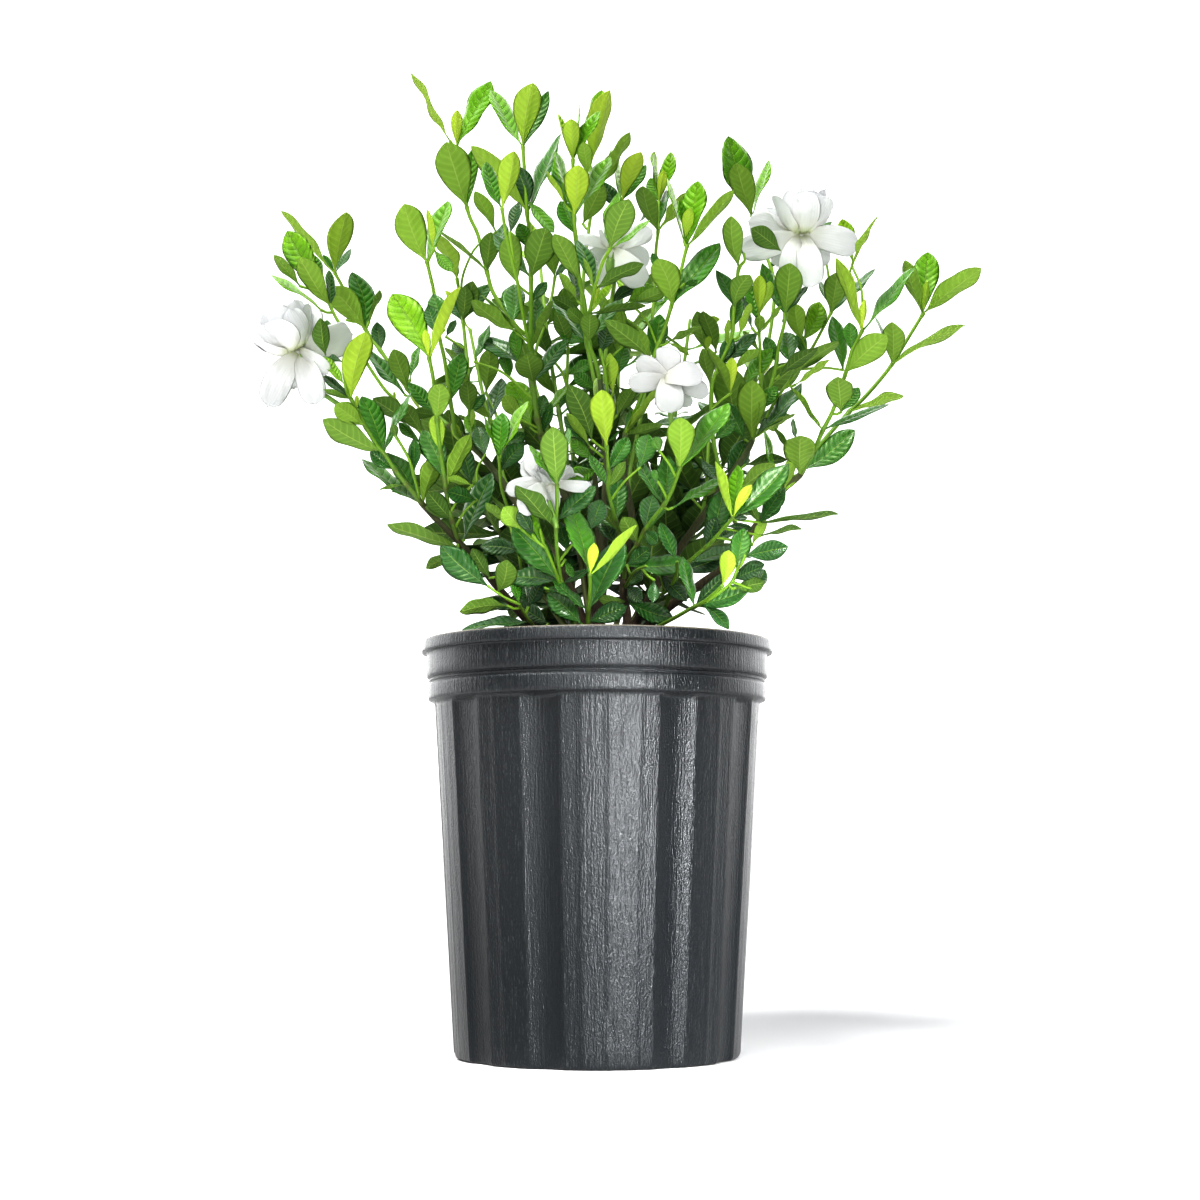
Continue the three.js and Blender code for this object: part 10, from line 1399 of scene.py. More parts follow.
class N:
    """Small node-graph shorthand."""
    def __init__(self, nt): self.nt = nt
    def node(self, kind, **props):
        n = self.nt.nodes.new(kind)
        for k, v in props.items(): setattr(n, k, v)
        return n
    def put(self, sock, val):
        if isinstance(val, bpy.types.NodeSocket): self.nt.links.new(val, sock)
        else: sock.default_value = val
    def attr(self, name):
        return self.node("ShaderNodeAttribute", attribute_name=name).outputs["Fac"]
    def coord(self):
        return self.node("ShaderNodeTexCoord").outputs["Object"]
    def math(self, op, a, b=0.0, c=0.0, clamp=False):
        n = self.node("ShaderNodeMath", operation=op, use_clamp=clamp)
        self.put(n.inputs[0], a); self.put(n.inputs[1], b)
        if len(n.inputs) > 2: self.put(n.inputs[2], c)
        return n.outputs[0]
    def mix(self, f, a, b, mode="MIX"):
        n = self.node("ShaderNodeMix", data_type="RGBA", blend_type=mode)
        self.put(n.inputs[0], f); self.put(n.inputs[6], a); self.put(n.inputs[7], b)
        return n.outputs[2]
    def mixf(self, f, a, b):
        n = self.node("ShaderNodeMix", data_type="FLOAT")
        self.put(n.inputs[0], f); self.put(n.inputs[2], a); self.put(n.inputs[3], b)
        return n.outputs[0]
    def ramp(self, f, stops, interp="LINEAR"):
        n = self.node("ShaderNodeValToRGB"); e = n.color_ramp.elements; n.color_ramp.interpolation = interp
        while len(e) < len(stops): e.new(0.5)
        for k, (p, c) in enumerate(stops):
            e[k].position = p; e[k].color = c if len(c) == 4 else (*c, 1)
        self.put(n.inputs[0], f); return n.outputs[0]
    def noise(self, vec, scale, detail=3.0, rough=0.5, dist=0.0):
        n = self.node("ShaderNodeTexNoise"); self.put(n.inputs["Vector"], vec)
        n.inputs["Scale"].default_value = scale; n.inputs["Detail"].default_value = detail
        n.inputs["Roughness"].default_value = rough; n.inputs["Distortion"].default_value = dist
        return n.outputs["Fac"]
    def scale(self, vec, s):
        n = self.node("ShaderNodeMapping"); self.put(n.inputs["Vector"], vec); n.inputs["Scale"].default_value = s
        return n.outputs[0]
    def vor(self, vec, scale, feature="F1"):
        n = self.node("ShaderNodeTexVoronoi", feature=feature); self.put(n.inputs["Vector"], vec); n.inputs["Scale"].default_value = scale
        return n.outputs["Distance"]
    def bump(self, h, strength=0.3, dist=0.0005, normal=None):
        n = self.node("ShaderNodeBump"); n.inputs["Strength"].default_value = strength; n.inputs["Distance"].default_value = dist
        self.put(n.inputs["Height"], h)
        if normal is not None: self.put(n.inputs["Normal"], normal)
        return n.outputs[0]
    def line(self, x, half, soft):
        """1 on a line at x = 0, fading out over soft."""
        a = self.math("ABSOLUTE", x)
        n = self.node("ShaderNodeMapRange", interpolation_type="SMOOTHSTEP")
        self.put(n.inputs[0], a); n.inputs[1].default_value = half; n.inputs[2].default_value = half + soft
        n.inputs[3].default_value = 1.0; n.inputs[4].default_value = 0.0
        return n.outputs[0]

def leaf_lines(g):
    """Midrib and lateral veins of a leaf, from its own along and across values."""
    lu, lv = g.attr("lu"), g.attr("lv")
    av = g.math("ABSOLUTE", lv)
    mid = g.line(lv, 0.018, 0.04)
    bend = g.math("MULTIPLY", g.math("POWER", av, 1.45), 1.35)
    sgn = g.math("MULTIPLY", g.math("SIGN", lv), 0.16)
    q = g.math("SUBTRACT", g.math("ADD", g.math("MULTIPLY", lu, 9.6), sgn), bend)
    fr = g.math("SUBTRACT", g.math("FRACT", q), 0.5)
    lat = g.line(fr, 0.012, 0.11)
    fade = g.math("MULTIPLY", g.math("SUBTRACT", 1.0, g.math("POWER", av, 4.0)), g.math("GREATER_THAN", lu, 0.1))
    lat = g.math("MULTIPLY", lat, fade)
    return lu, lv, av, mid, lat, fr

def leaf_top():
    m, nt, bs = new_mat("leaf_top"); g = N(nt)
    lu, lv, av, mid, lat, fr = leaf_lines(g)
    tone, rnd, co = g.attr("tone"), g.attr("rnd"), g.coord()
    t = g.math("ADD", tone, g.math("MULTIPLY", g.math("SUBTRACT", g.noise(co, 55.0, 2.0), 0.5), 0.22))
    t = g.math("ADD", t, g.math("MULTIPLY", g.math("SUBTRACT", rnd, 0.5), 0.10))
    col = g.ramp(t, LEAF_TOP_RAMP)
    # paler towards the foot, mottled between the veins
    col = g.mix(g.math("MULTIPLY", g.math("SUBTRACT", 1.0, lu, clamp=True), g.math("MULTIPLY", tone, 0.26)), col, (0.16, 0.34, 0.05, 1))
    col = g.mix(g.math("MULTIPLY", g.math("SUBTRACT", g.noise(co, 130.0, 3.0), 0.35), 0.55, clamp=True), col, (0.012, 0.07, 0.008, 1))
    mott = g.noise(co, 900.0, 3.0)
    col = g.mix(0.55, col, g.mix(mott, (0.40, 0.42, 0.40, 1), (1.55, 1.50, 1.90, 1)), "MULTIPLY")
    veinc = g.mix(0.5, col, (0.24, 0.46, 0.06, 1))
    col = g.mix(g.math("MULTIPLY", lat, 0.30), col, veinc)
    col = g.mix(g.math("MULTIPLY", mid, 0.65), col, (0.30, 0.50, 0.07, 1))
    edge = g.math("GREATER_THAN", av, 0.965)
    col = g.mix(g.math("MULTIPLY", edge, 0.35), col, (0.26, 0.45, 0.06, 1))
    # painted sheen: a pale bluish cast on the darker leaves, standing in for the reflection on their glossy tops
    painted_sheen = g.math("MULTIPLY", g.math("SUBTRACT", 0.62, tone, clamp=True), g.math("MULTIPLY", g.noise(co, 38.0, 3.0), 0.30))
    col = g.mix(painted_sheen, col, (0.21, 0.36, 0.24, 1))
    g.put(bs.inputs["Base Color"], col)
    r = g.math("ADD", LEAF_ROUGH, g.math("MULTIPLY", g.noise(co, 240.0, 3.0), 0.16))
    r = g.math("ADD", r, g.math("MULTIPLY", lat, 0.08))
    g.put(bs.inputs["Roughness"], r)
    bs.inputs["Specular IOR Level"].default_value = 0.42
    bs.inputs["Specular Tint"].default_value = (0.94, 1.0, 0.62, 1)
    bs.inputs["Coat Weight"].default_value = 0.34
    bs.inputs["Coat Roughness"].default_value = 0.17
    puff = g.math("MULTIPLY", g.math("COSINE", g.math("MULTIPLY", fr, 6.2832)), -0.5)
    h = g.math("ADD", g.math("MULTIPLY", puff, 0.8), g.math("MULTIPLY", lat, -0.8))
    h = g.math("ADD", h, g.math("MULTIPLY", mid, -1.1))
    h = g.math("ADD", h, g.math("MULTIPLY", g.noise(co, 600.0, 3.0), 0.12))
    g.put(bs.inputs["Normal"], g.bump(h, 0.8, 0.00052))
    return m

def leaf_under():
    m, nt, bs = new_mat("leaf_underside"); g = N(nt)
    lu, lv, av, mid, lat, fr = leaf_lines(g)
    tone, rnd, co = g.attr("tone"), g.attr("rnd"), g.coord()
    t = g.math("ADD", tone, g.math("MULTIPLY", g.math("SUBTRACT", rnd, 0.5), 0.14))
    col = g.ramp(t, LEAF_UNDER_RAMP)
    net = g.vor(co, 900.0, "DISTANCE_TO_EDGE")
    netl = g.line(net, 0.02, 0.07)
    col = g.mix(g.math("MULTIPLY", netl, 0.05), col, (0.34, 0.46, 0.10, 1))
    # painted shade: darker halfway between the lateral veins, for the quilted relief of the blade
    shade = g.math("MULTIPLY", g.math("SUBTRACT", 0.5, g.math("MULTIPLY", g.math("COSINE", g.math("MULTIPLY", fr, 6.2832)), 0.5)), 0.13)
    col = g.mix(shade, col, (0.07, 0.15, 0.012, 1))
    col = g.mix(g.math("MULTIPLY", lat, 0.30), col, (0.42, 0.60, 0.12, 1))
    col = g.mix(g.math("MULTIPLY", mid, 0.60), col, (0.48, 0.62, 0.16, 1))
    edge = g.math("GREATER_THAN", av, 0.955)
    col = g.mix(g.math("MULTIPLY", edge, 0.5), col, (0.10, 0.20, 0.02, 1))
    g.put(bs.inputs["Base Color"], col)
    g.put(bs.inputs["Roughness"], g.math("ADD", 0.50, g.math("MULTIPLY", g.noise(co, 300.0), 0.15)))
    bs.inputs["Specular IOR Level"].default_value = 0.18
    h = g.math("ADD", g.math("MULTIPLY", lat, 0.8), g.math("MULTIPLY", mid, 1.4))
    h = g.math("ADD", h, g.math("MULTIPLY", g.math("COSINE", g.math("MULTIPLY", fr, 6.2832)), 0.35))
    
    g.put(bs.inputs["Normal"], g.bump(h, 0.45, 0.00030))
    return m

def stem_mat():
    m, nt, bs = new_mat("green_stem"); g = N(nt)
    co = g.coord(); z = g.attr("age")
    fine = g.noise(g.scale(co, (1.0, 1.0, 0.25)), 900.0, 4.0, 0.6)
    col = g.ramp(g.math("ADD", z, g.math("MULTIPLY", g.math("SUBTRACT", fine, 0.5), 0.25)),
                 [(0.0, (0.28, 0.48, 0.040)), (0.40, (0.165, 0.315, 0.035)), (0.72, (0.14, 0.165, 0.045)), (1.0, (0.12, 0.088, 0.050))])
    spots = g.line(g.vor(g.scale(co, (1.0, 1.0, 0.6)), 420.0), 0.10, 0.10)
    col = g.mix(g.math("MULTIPLY", spots, 0.25), col, (0.34, 0.38, 0.12, 1))
    g.put(bs.inputs["Base Color"], col)
    g.put(bs.inputs["Roughness"], g.math("ADD", 0.42, g.math("MULTIPLY", fine, 0.25)))
    g.put(bs.inputs["Normal"], g.bump(fine, 0.4, 0.0004))
    return m

def bark_mat():
    m, nt, bs = new_mat("bark"); g = N(nt)
    co = g.coord(); z = g.attr("age")
    st = g.noise(g.scale(co, (1.0, 1.0, 0.18)), 700.0, 6.0, 0.65, 0.6)
    big = g.noise(co, 60.0, 3.0)
    col = g.ramp(st, [(0.25, (0.018, 0.011, 0.007)), (0.5, (0.058, 0.036, 0.020)), (0.72, (0.15, 0.10, 0.06))])
    col = g.mix(g.math("MULTIPLY", g.math("SUBTRACT", 1.0, z, clamp=True), 0.75), col, (0.15, 0.24, 0.08, 1))
    col = g.mix(g.math("MULTIPLY", big, 0.25), col, (0.09, 0.075, 0.05, 1))
    g.put(bs.inputs["Base Color"], col)
    g.put(bs.inputs["Roughness"], g.math("ADD", 0.70, g.math("MULTIPLY", st, 0.2)))
    g.put(bs.inputs["Normal"], g.bump(st, 0.8, 0.0012))
    return m

def petal_mat(name, painted_light_gain, cup):
    m, nt, bs = new_mat("petal_" + name); g = N(nt)
    lu, lv, inner, co = g.attr("lu"), g.attr("lv"), g.attr("inner"), g.coord()
    av = g.math("ABSOLUTE", lv)
    base = g.ramp(lu, [(0.0, (0.38, 0.44, 0.14)), (0.07, (0.48, 0.51, 0.32)), (0.18, (0.67, 0.67, 0.61)), (0.5, (0.69, 0.695, 0.688)), (1.0, (0.69, 0.70, 0.713))])
    streak = g.noise(g.scale(co, (1, 1, 1)), 380.0, 3.0)
    col = g.mix(g.math("MULTIPLY", streak, 0.14), base, (0.72, 0.74, 0.77, 1))
    vein = g.math("MULTIPLY", g.math("ADD", g.math("COSINE", g.math("MULTIPLY", lv, 34.0)), 1.0), 0.5)
    col = g.mix(g.math("MULTIPLY", vein, 0.10), col, (0.72, 0.74, 0.75, 1))
    # painted light and shade: the whole flower, and its inner cup apart, scaled lighter or darker
    col = g.mix(inner, g.mix(1.0, col, (painted_light_gain, painted_light_gain, painted_light_gain, 1), "MULTIPLY"), g.mix(1.0, col, (painted_light_gain * cup, painted_light_gain * cup, painted_light_gain * cup, 1), "MULTIPLY"))
    g.put(bs.inputs["Base Color"], col)
    g.put(bs.inputs["Roughness"], g.math("ADD", 0.50, g.math("MULTIPLY", streak, 0.12)))
    bs.inputs["Specular IOR Level"].default_value = 0.35
    bs.inputs["Sheen Weight"].default_value = 0.15
    bs.inputs["Subsurface Weight"].default_value = 0.25
    bs.inputs["Subsurface Radius"].default_value = (1.0, 1.0, 1.0)
    bs.inputs["Subsurface Scale"].default_value = 0.003
    h = g.math("ADD", g.math("MULTIPLY", vein, 0.35), g.math("MULTIPLY", g.noise(co, 700.0, 3.0), 0.5))
    g.put(bs.inputs["Normal"], g.bump(h, 0.35, 0.0004))
    return m

def calyx_mat():
    m, nt, bs = new_mat("calyx"); g = N(nt)
    co = g.coord(); f = g.noise(g.scale(co, (1, 1, 0.3)), 500.0, 4.0)
    col = g.ramp(f, [(0.2, (0.13, 0.26, 0.05)), (0.6, (0.25, 0.42, 0.09)), (0.9, (0.42, 0.55, 0.16))])
    g.put(bs.inputs["Base Color"], col)
    g.put(bs.inputs["Roughness"], g.math("ADD", 0.4, g.math("MULTIPLY", f, 0.2)))
    g.put(bs.inputs["Normal"], g.bump(f, 0.4, 0.0005))
    return m

def pot_mat():
    m, nt, bs = new_mat("pot_plastic"); g = N(nt)
    co = g.coord(); rib = g.attr("rib")
    z = g.node("ShaderNodeSeparateXYZ"); g.put(z.inputs[0], co)
    streak = g.noise(g.scale(co, (1.0, 1.0, 0.020)), 560.0, 1.6, 0.6)      # long drawn lines
    thin = g.noise(g.scale(co, (1.0, 1.0, 0.045)), 1150.0, 1.0, 0.5)       # finer, shorter ones
    grain = g.noise(g.scale(co, (1.0, 1.0, 0.50)), 1000.0, 1.8, 0.6)        # upright speckle
    broad = g.noise(g.scale(co, (1.0, 1.0, 0.35)), 16.0, 3.0, 0.5)
    fine = g.noise(co, 2600.0, 2.0, 0.6)
    base = g.mix(broad, (0.0055, 0.007, 0.0085, 1), (0.010, 0.0125, 0.015, 1))
    # pale flecks, stronger on the ribs: partly rubbed wear, partly a painted highlight for the glints along the ribs
    w1 = g.node("ShaderNodeMapRange", interpolation_type="SMOOTHSTEP"); g.put(w1.inputs[0], g.math("ADD", g.math("MULTIPLY", thin, 0.55), g.math("MULTIPLY", grain, 0.45)))
    w1.inputs[1].default_value = 0.54; w1.inputs[2].default_value = 0.74
    scuff_and_highlight = g.math("MULTIPLY", w1.outputs[0], g.math("ADD", 0.02, g.math("MULTIPLY", rib, 0.09)))
    col = g.mix(scuff_and_highlight, base, (0.30, 0.32, 0.32, 1))
    # rubbed, dusty lip edge
    lip = g.line(g.math("SUBTRACT", g.math("MULTIPLY", z.outputs[2], 1000.0), 280.0), 0.35, 0.9)
    col = g.mix(g.math("MULTIPLY", lip, g.math("MULTIPLY", fine, 1.1, clamp=True)), col, (0.36, 0.31, 0.24, 1))
    g.put(bs.inputs["Base Color"], col)
    g.put(bs.inputs["Roughness"], g.math("ADD", g.math("ADD", 0.29, g.math("MULTIPLY", broad, 0.06)), g.math("MULTIPLY", scuff_and_highlight, 0.5)))
    up = g.node("ShaderNodeMapRange", interpolation_type="SMOOTHSTEP"); g.put(up.inputs[0], z.outputs[2])
    up.inputs[1].default_value = 0.02; up.inputs[2].default_value = 0.24; up.inputs[3].default_value = 0.36; up.inputs[4].default_value = 0.80
    g.put(bs.inputs["Specular IOR Level"], up.outputs[0])          # duller towards the foot
    bs.inputs["Specular Tint"].default_value = (0.96, 0.985, 1.0, 1)
    bs.inputs["Anisotropic"].default_value = 0.85
    bs.inputs["Anisotropic Rotation"].default_value = 0.25
    ta = g.node("ShaderNodeTangent", direction_type="RADIAL", axis="Z"); g.put(bs.inputs["Tangent"], ta.outputs[0])
    h = g.math("ADD", g.math("MULTIPLY", streak, 0.85), g.math("MULTIPLY", grain, 0.9))
    h = g.math("ADD", h, g.math("MULTIPLY", thin, 0.35))
    g.put(bs.inputs["Normal"], g.bump(h, 1.0, 0.00046))
    return m

def soil_mat(chip=False):
    m, nt, bs = new_mat("soil_chips" if chip else "soil"); g = N(nt)
    co = g.coord(); n1 = g.noise(co, 260.0, 6.0, 0.7); n2 = g.noise(co, 45.0, 3.0)
    if chip:
        rnd = g.attr("rnd")
        col = g.ramp(rnd, [(0.0, (0.020, 0.011, 0.008)), (0.35, (0.055, 0.026, 0.017)), (0.65, (0.095, 0.050, 0.032)), (0.86, (0.16, 0.095, 0.06)), (0.90, (0.62, 0.60, 0.56)), (1.0, (0.72, 0.71, 0.68))])
        col = g.mix(g.math("MULTIPLY", n1, 0.5), col, (0.03, 0.017, 0.012, 1))
    else:
        col = g.ramp(n1, [(0.3, (0.012, 0.007, 0.005)), (0.55, (0.045, 0.024, 0.016)), (0.75, (0.085, 0.047, 0.031))])
        col = g.mix(g.math("MULTIPLY", n2, 0.35), col, (0.055, 0.032, 0.022, 1))
    g.put(bs.inputs["Base Color"], col)
    g.put(bs.inputs["Roughness"], g.math("ADD", 0.85, g.math("MULTIPLY", n1, 0.12)))
    bs.inputs["Specular IOR Level"].default_value = 0.25
    g.put(bs.inputs["Normal"], g.bump(n1, 0.9, 0.0015))
    return m

# dark old leaves on the left of each ramp, yellow-green young ones on the right
LEAF_TOP_RAMP = [(0.0, (0.010, 0.060, 0.012)), (0.2, (0.023, 0.138, 0.016)), (0.4, (0.078, 0.290, 0.014)), (0.6, (0.215, 0.500, 0.014)), (0.8, (0.420, 0.690, 0.024)), (1.0, (0.660, 0.825, 0.055))]
LEAF_UNDER_RAMP = [(0.0, (0.070, 0.148, 0.032)), (0.2, (0.126, 0.236, 0.050)), (0.4, (0.222, 0.372, 0.070)), (0.6, (0.335, 0.530, 0.080)), (0.8, (0.50, 0.69, 0.085)), (1.0, (0.66, 0.82, 0.105))]
LEAF_ROUGH = 0.27

M_TOP, M_UNDER, M_STEM, M_BARK = leaf_top(), leaf_under(), stem_mat(), bark_mat()
# each flower's petals are scaled lighter or darker as painted light and shade, for how the light falls on it; the
# inner cups of the left and right flowers are painted lighter still, against the shade in them
M_PETAL = {n: petal_mat(n, k, c) for n, k, c in (("flower_left", 1.06, 1.20), ("flower_right", 1.14, 1.12), ("flower_top", 1.30, 1.0), ("flower_middle", 0.83, 1.0), ("flower_low", 0.96, 1.0))}
M_CALYX, M_POT, M_SOIL, M_CHIP = calyx_mat(), pot_mat(), soil_mat(), soil_mat(True)

# ------------------------------------------------------------------ pot
POT_H, LIP_R, FOOT_R, TOP_R, BODY_TOP = 280.0, 120.4, 96.3, 111.3, 236.0
SEAM_DEG, DEPTH = 4.6, 3.3
# channel edges in degrees from the mould line, the same on both sides of it
CHANNELS = ((17.0, 31.0), (49.2, 63.4), (81.6, 95.6), (113.6, 127.6), (146.0, 160.0))

def smooth01(x):
    x = np.clip(x, 0, 1); return x * x * (3 - 2 * x)

def make_pot():
    # columns are set so that one falls on each channel edge
    marks = [0.0]
    for lo, hi in CHANNELS: marks += [lo, hi]
    marks += [180.0]
    half_cols = []
    for k in range(len(marks) - 1):
        lo, hi = marks[k], marks[k + 1]; n = int(round((hi - lo) / 0.95))
        t = np.arange(n) / n
        half_cols += list(lo + (hi - lo) * t)
    half_cols = np.array(half_cols)                     # 0 .. <180
    deg = np.concatenate([half_cols, 360 - half_cols[1:][::-1]])
    deg = np.sort(np.unique(np.concatenate([deg, [180.0]])))
    COLS = len(deg)
    a = np.radians(deg)
    az = np.radians(SEAM_DEG) + a                      # azimuth from the front, +X side positive
    m = np.where(deg > 180, 360 - deg, deg)            # degrees from the mould line
    sink = np.zeros(COLS); crease = np.zeros(COLS); ribf = np.ones(COLS)
    for lo, hi in CHANNELS:
        x = (m - (lo + hi) / 2) / ((hi - lo) / 2)
        inside = np.abs(x) < 1
        sink = np.where(inside, 1 - np.abs(x) ** 2.1, sink)
        ribf = np.where(inside, 0.0, ribf)
    edges = [0.0] + [e for c in CHANNELS for e in c] + [180.0]
    for lo, hi in zip(edges[0::2], edges[1::2]):
        c = lo + (hi - lo) * 0.58
        crease = crease + np.exp(-((m - c) / 0.75) ** 2) * 0.32 - np.exp(-((m - c - 2.4) / 1.6) ** 2) * 0.16
        lip_r = np.minimum(np.exp(-((m - lo) / 0.9) ** 2), 1) + np.minimum(np.exp(-((m - hi) / 0.9) ** 2), 1)
        crease = crease + 0.18 * lip_r * (m >= lo - 0.01) * (m <= hi + 0.01)
    rng0 = random.Random(4)
    wob = sum(rng0.uniform(0.02, 0.05) * np.sin(a * k + rng0.uniform(0, 6.28)) for k in (5, 9, 14, 23, 37, 51))
    rr = random.Random(11)
    rows = []   # (z, radius, flute amount, rib value, part)
    def wall(z): return FOOT_R + (TOP_R - FOOT_R) * z / BODY_TOP
    rows += [(0.0, FOOT_R - 2.6, 0.55), (0.25, FOOT_R - 1.5, 0.75), (0.9, FOOT_R - 0.7, 0.9), (2.0, FOOT_R - 0.15, 1), (3.4, wall(3.4), 1)]
    for z in np.linspace(12, 214, 26): rows.append((float(z), wall(z), 1))
    for z in (222, 227, 230, 232.2, 233.6, 234.6): rows.append((z, wall(z), 1))
    rows += [(235.4, TOP_R - 0.1, 0.9), (236.2, TOP_R + 0.0, 0.6), (237.0, TOP_R + 0.3, 0.25), (237.9, TOP_R + 1.2, 0.05), (238.5, TOP_R + 2.7, 0),
             (239.0, TOP_R + 3.8, 0), (239.8, TOP_R + 4.35, 0), (241.2, 115.75, 0), (244.5, 115.85, 0), (248.0, 115.8, 0), (249.4, 115.65, 0), (250.0, 115.2, 0), (250.35, 114.5, 0),
             (250.9, 114.3, 0), (251.4, 114.9, 0), (252.0, 115.35, 0), (252.55, 115.0, 0), (253.0, 114.4, 0), (253.5, 114.5, 0), (253.9, 115.6, 0), (254.5, 116.5, 0), (255.6, 116.95, 0),
             (259.0, 117.05, 0), (264.0, 117.0, 0), (268.5, 116.9, 0), (270.0, 116.75, 0), (270.7, 116.9, 0), (271.0, 117.8, 0), (271.05, 119.2, 0), (271.3, 120.1, 0), (272.0, 120.5, 0), (273.2, 120.45, 0),
             (275.5, 120.2, 0), (277.8, 119.9, 0), (279.0, 119.6, 0), (279.7, 119.1, 0), (280.0, 118.4, 0)]
    n_out = len(rows)
    V = []; rib_v = []
    seam = np.exp(-((np.minimum(a, 2 * np.pi - a) * 110) / 0.9) ** 2)  # raised mould line
    back_seam = np.exp(-((np.abs(a - np.pi) * 110) / 0.9) ** 2); seam = seam + 0.8 * back_seam
    jit = np.array([rr.uniform(-0.06, 0.06) for _ in range(COLS)])
    for z, r, fl in rows:
        R = r - fl * (DEPTH * sink - crease) + wob * (0.6 + 0.4 * fl) + 0.06 * np.sin(a * 3 + z * 0.02)
        R = R + jit * 0.5 * (fl > 0)
        R = R + seam * (0.50 if z < 236 else 0.32 if z < 271 else 0.08)
        # a knock beside the mould line, low on the front, and two nicks higher up
        dz = lambda c, w: math.exp(-((z - c) / w) ** 2)
        daz = lambda c, w: np.exp(-(((np.degrees(az) - c + 180) % 360 - 180) / w) ** 2)
        R = R - 1.5 * dz(27, 7.5) * daz(5.0, 0.8) - 0.8 * dz(176, 3.2) * daz(4.9, 0.8) - 0.5 * dz(243.5, 3.5) * daz(5.2, 0.9) - 0.35 * dz(275, 3) * daz(5.6, 0.8)
        V.append(np.stack([R * np.sin(az), -R * np.cos(az), np.full(COLS, z)], 1))
        rib_v.append(ribf * fl if fl > 0.3 else np.full(COLS, 0.8))
    # inner wall, from the lip down to the base plate
    ins = [(280.0, 117.9), (279.3, 117.5), (277.5, 117.7), (274.5, 118.0), (271.6, 117.8), (269.6, 115.6), (266, 115.1), (258, 114.9), (255.0, 114.2), (252.5, 112.7), (246, 112.6), (240, 110.2), (232.0, TOP_R - 4.9)]
    for z in np.linspace(210, 30, 10): ins.append((float(z), wall(z) - DEPTH - 1.8))
    ins += [(8.0, wall(8) - 4.6), (3.6, wall(3) - 5.2), (2.6, wall(2.6) - 6.4)]
    for z, r in ins:
        V.append(np.stack([r * np.sin(az), -r * np.cos(az), np.full(COLS, z)], 1))
        rib_v.append(np.full(COLS, 0.1))
    n_all = len(V)
    V = np.concatenate(V)
    F = []
    for i in range(n_all - 1):
        for k in range(COLS):
            l = (k + 1) % COLS
            F.append((i * COLS + k, i * COLS + l, (i + 1) * COLS + l, (i + 1) * COLS + k))
    rib = np.concatenate(rib_v)
    # base plate with its drain holes, filled between the two end rings
    holes = []
    for k in range(4):
        t = math.radians(45 + 90 * k); cx, cy = 66 * math.sin(t), -66 * math.cos(t)
        holes.append([(cx + 6.5 * math.cos(w), cy + 6.5 * math.sin(w)) for w in np.linspace(0, 2 * math.pi, 24, endpoint=False)])
    def plate(ring_index, z, flip):
        ring = [tuple(V[ring_index * COLS + k][:2]) for k in range(COLS)]
        loops = [[Vector((x, y, 0)) for x, y in ring]] + [[Vector((x, y, 0)) for x, y in h] for h in holes]
        tris = geometry.tessellate_polygon(loops)
        return tris
    start = len(V)
    hv = np.array([(x, y, 0.0) for h in holes for x, y in h] + [(x, y, 2.6) for h in holes for x, y in h])
    V = np.concatenate([V, hv])
    nh = 4 * 24
    def index(i, top):
        if i < COLS: return ((n_all - 1) * COLS + i) if top else i
        return start + (nh if top else 0) + (i - COLS)
    for top in (False, True):
        for t in plate(n_all - 1 if top else 0, 0, top):
            p = [index(i, top) for i in t]
            q = [V[i] for i in p]
            up = np.cross(q[1] - q[0], q[2] - q[0])[2] > 0
            if abs(np.cross(q[1] - q[0], q[2] - q[0])[2]) < 1e-9: continue
            F.append(tuple(p) if up == top else tuple(reversed(p)))
    for h in range(4):
        for k in range(24):
            l = (k + 1) % 24; o = start + h * 24
            F.append((o + k, o + nh + k, o + nh + l, o + l))
    b = Builder()
    pad = lambda x, v: np.concatenate([x, np.full(len(V) - len(x), v)])
    b.add(V, F, 0, rib=pad(rib, 0.1))
    return b.make("nursery_pot_shell", [M_POT])

pot = make_pot()
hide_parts("nursery_pot"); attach(pot, "root")

# ------------------------------------------------------------------ soil
def soil_height(x, y, rng_ph=(0.3, 1.1, 2.7)):
    r = math.hypot(x, y)
    h = 256.0 + 4.0 * (1 - r / 112.0)
    h += 0.9 * math.sin(x * 0.11 + rng_ph[0]) * math.cos(y * 0.09 + rng_ph[1]) + 0.6 * math.sin(x * 0.23 + y * 0.19 + rng_ph[2])
    return h

def make_soil():
    rng = random.Random(5)
    b = Builder()
    RINGS, COLS = 46, 144
    V = [(0, 0, soil_height(0, 0))]; F = []
    R0 = 112.0
    for i in range(1, RINGS + 1):
        r = R0 * i / RINGS
        for k in range(COLS):
            t = 2 * math.pi * k / COLS
            rj = r + (rng.uniform(-0.5, 0.5) if i < RINGS else 0)
            x, y = rj * math.cos(t), rj * math.sin(t)
            z = soil_height(x, y) + (rng.uniform(-0.8, 0.8) if i < RINGS - 1 else -0.6)
            V.append((x, y, z))
    for k in range(COLS): F.append((0, 1 + k, 1 + (k + 1) % COLS))
    for i in range(RINGS - 1):
        for k in range(COLS):
            l = (k + 1) % COLS
            F.append((1 + i * COLS + k, 1 + (i + 1) * COLS + k, 1 + (i + 1) * COLS + l, 1 + i * COLS + l))
    last = 1 + (RINGS - 1) * COLS
    for z, r in ((250.0, 112.1), (246.0, 112.0), (231.8, 106.0), (2.95, 91.4)):
        for k in range(COLS):
            t = 2 * math.pi * k / COLS; V.append((r * math.cos(t), r * math.sin(t), z))
        nxt = len(V) - COLS
        for k in range(COLS):
            l = (k + 1) % COLS
            F.append((last + k, nxt + k, nxt + l, last + l))
        last = nxt
    F.append(tuple(reversed([last + k for k in range(COLS)])))
    b.add(V, F, 0, rnd=0.3)
    return b.make("potting_soil_bed", [M_SOIL])

soil = make_soil()
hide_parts("potting_soil"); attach(soil, "root")

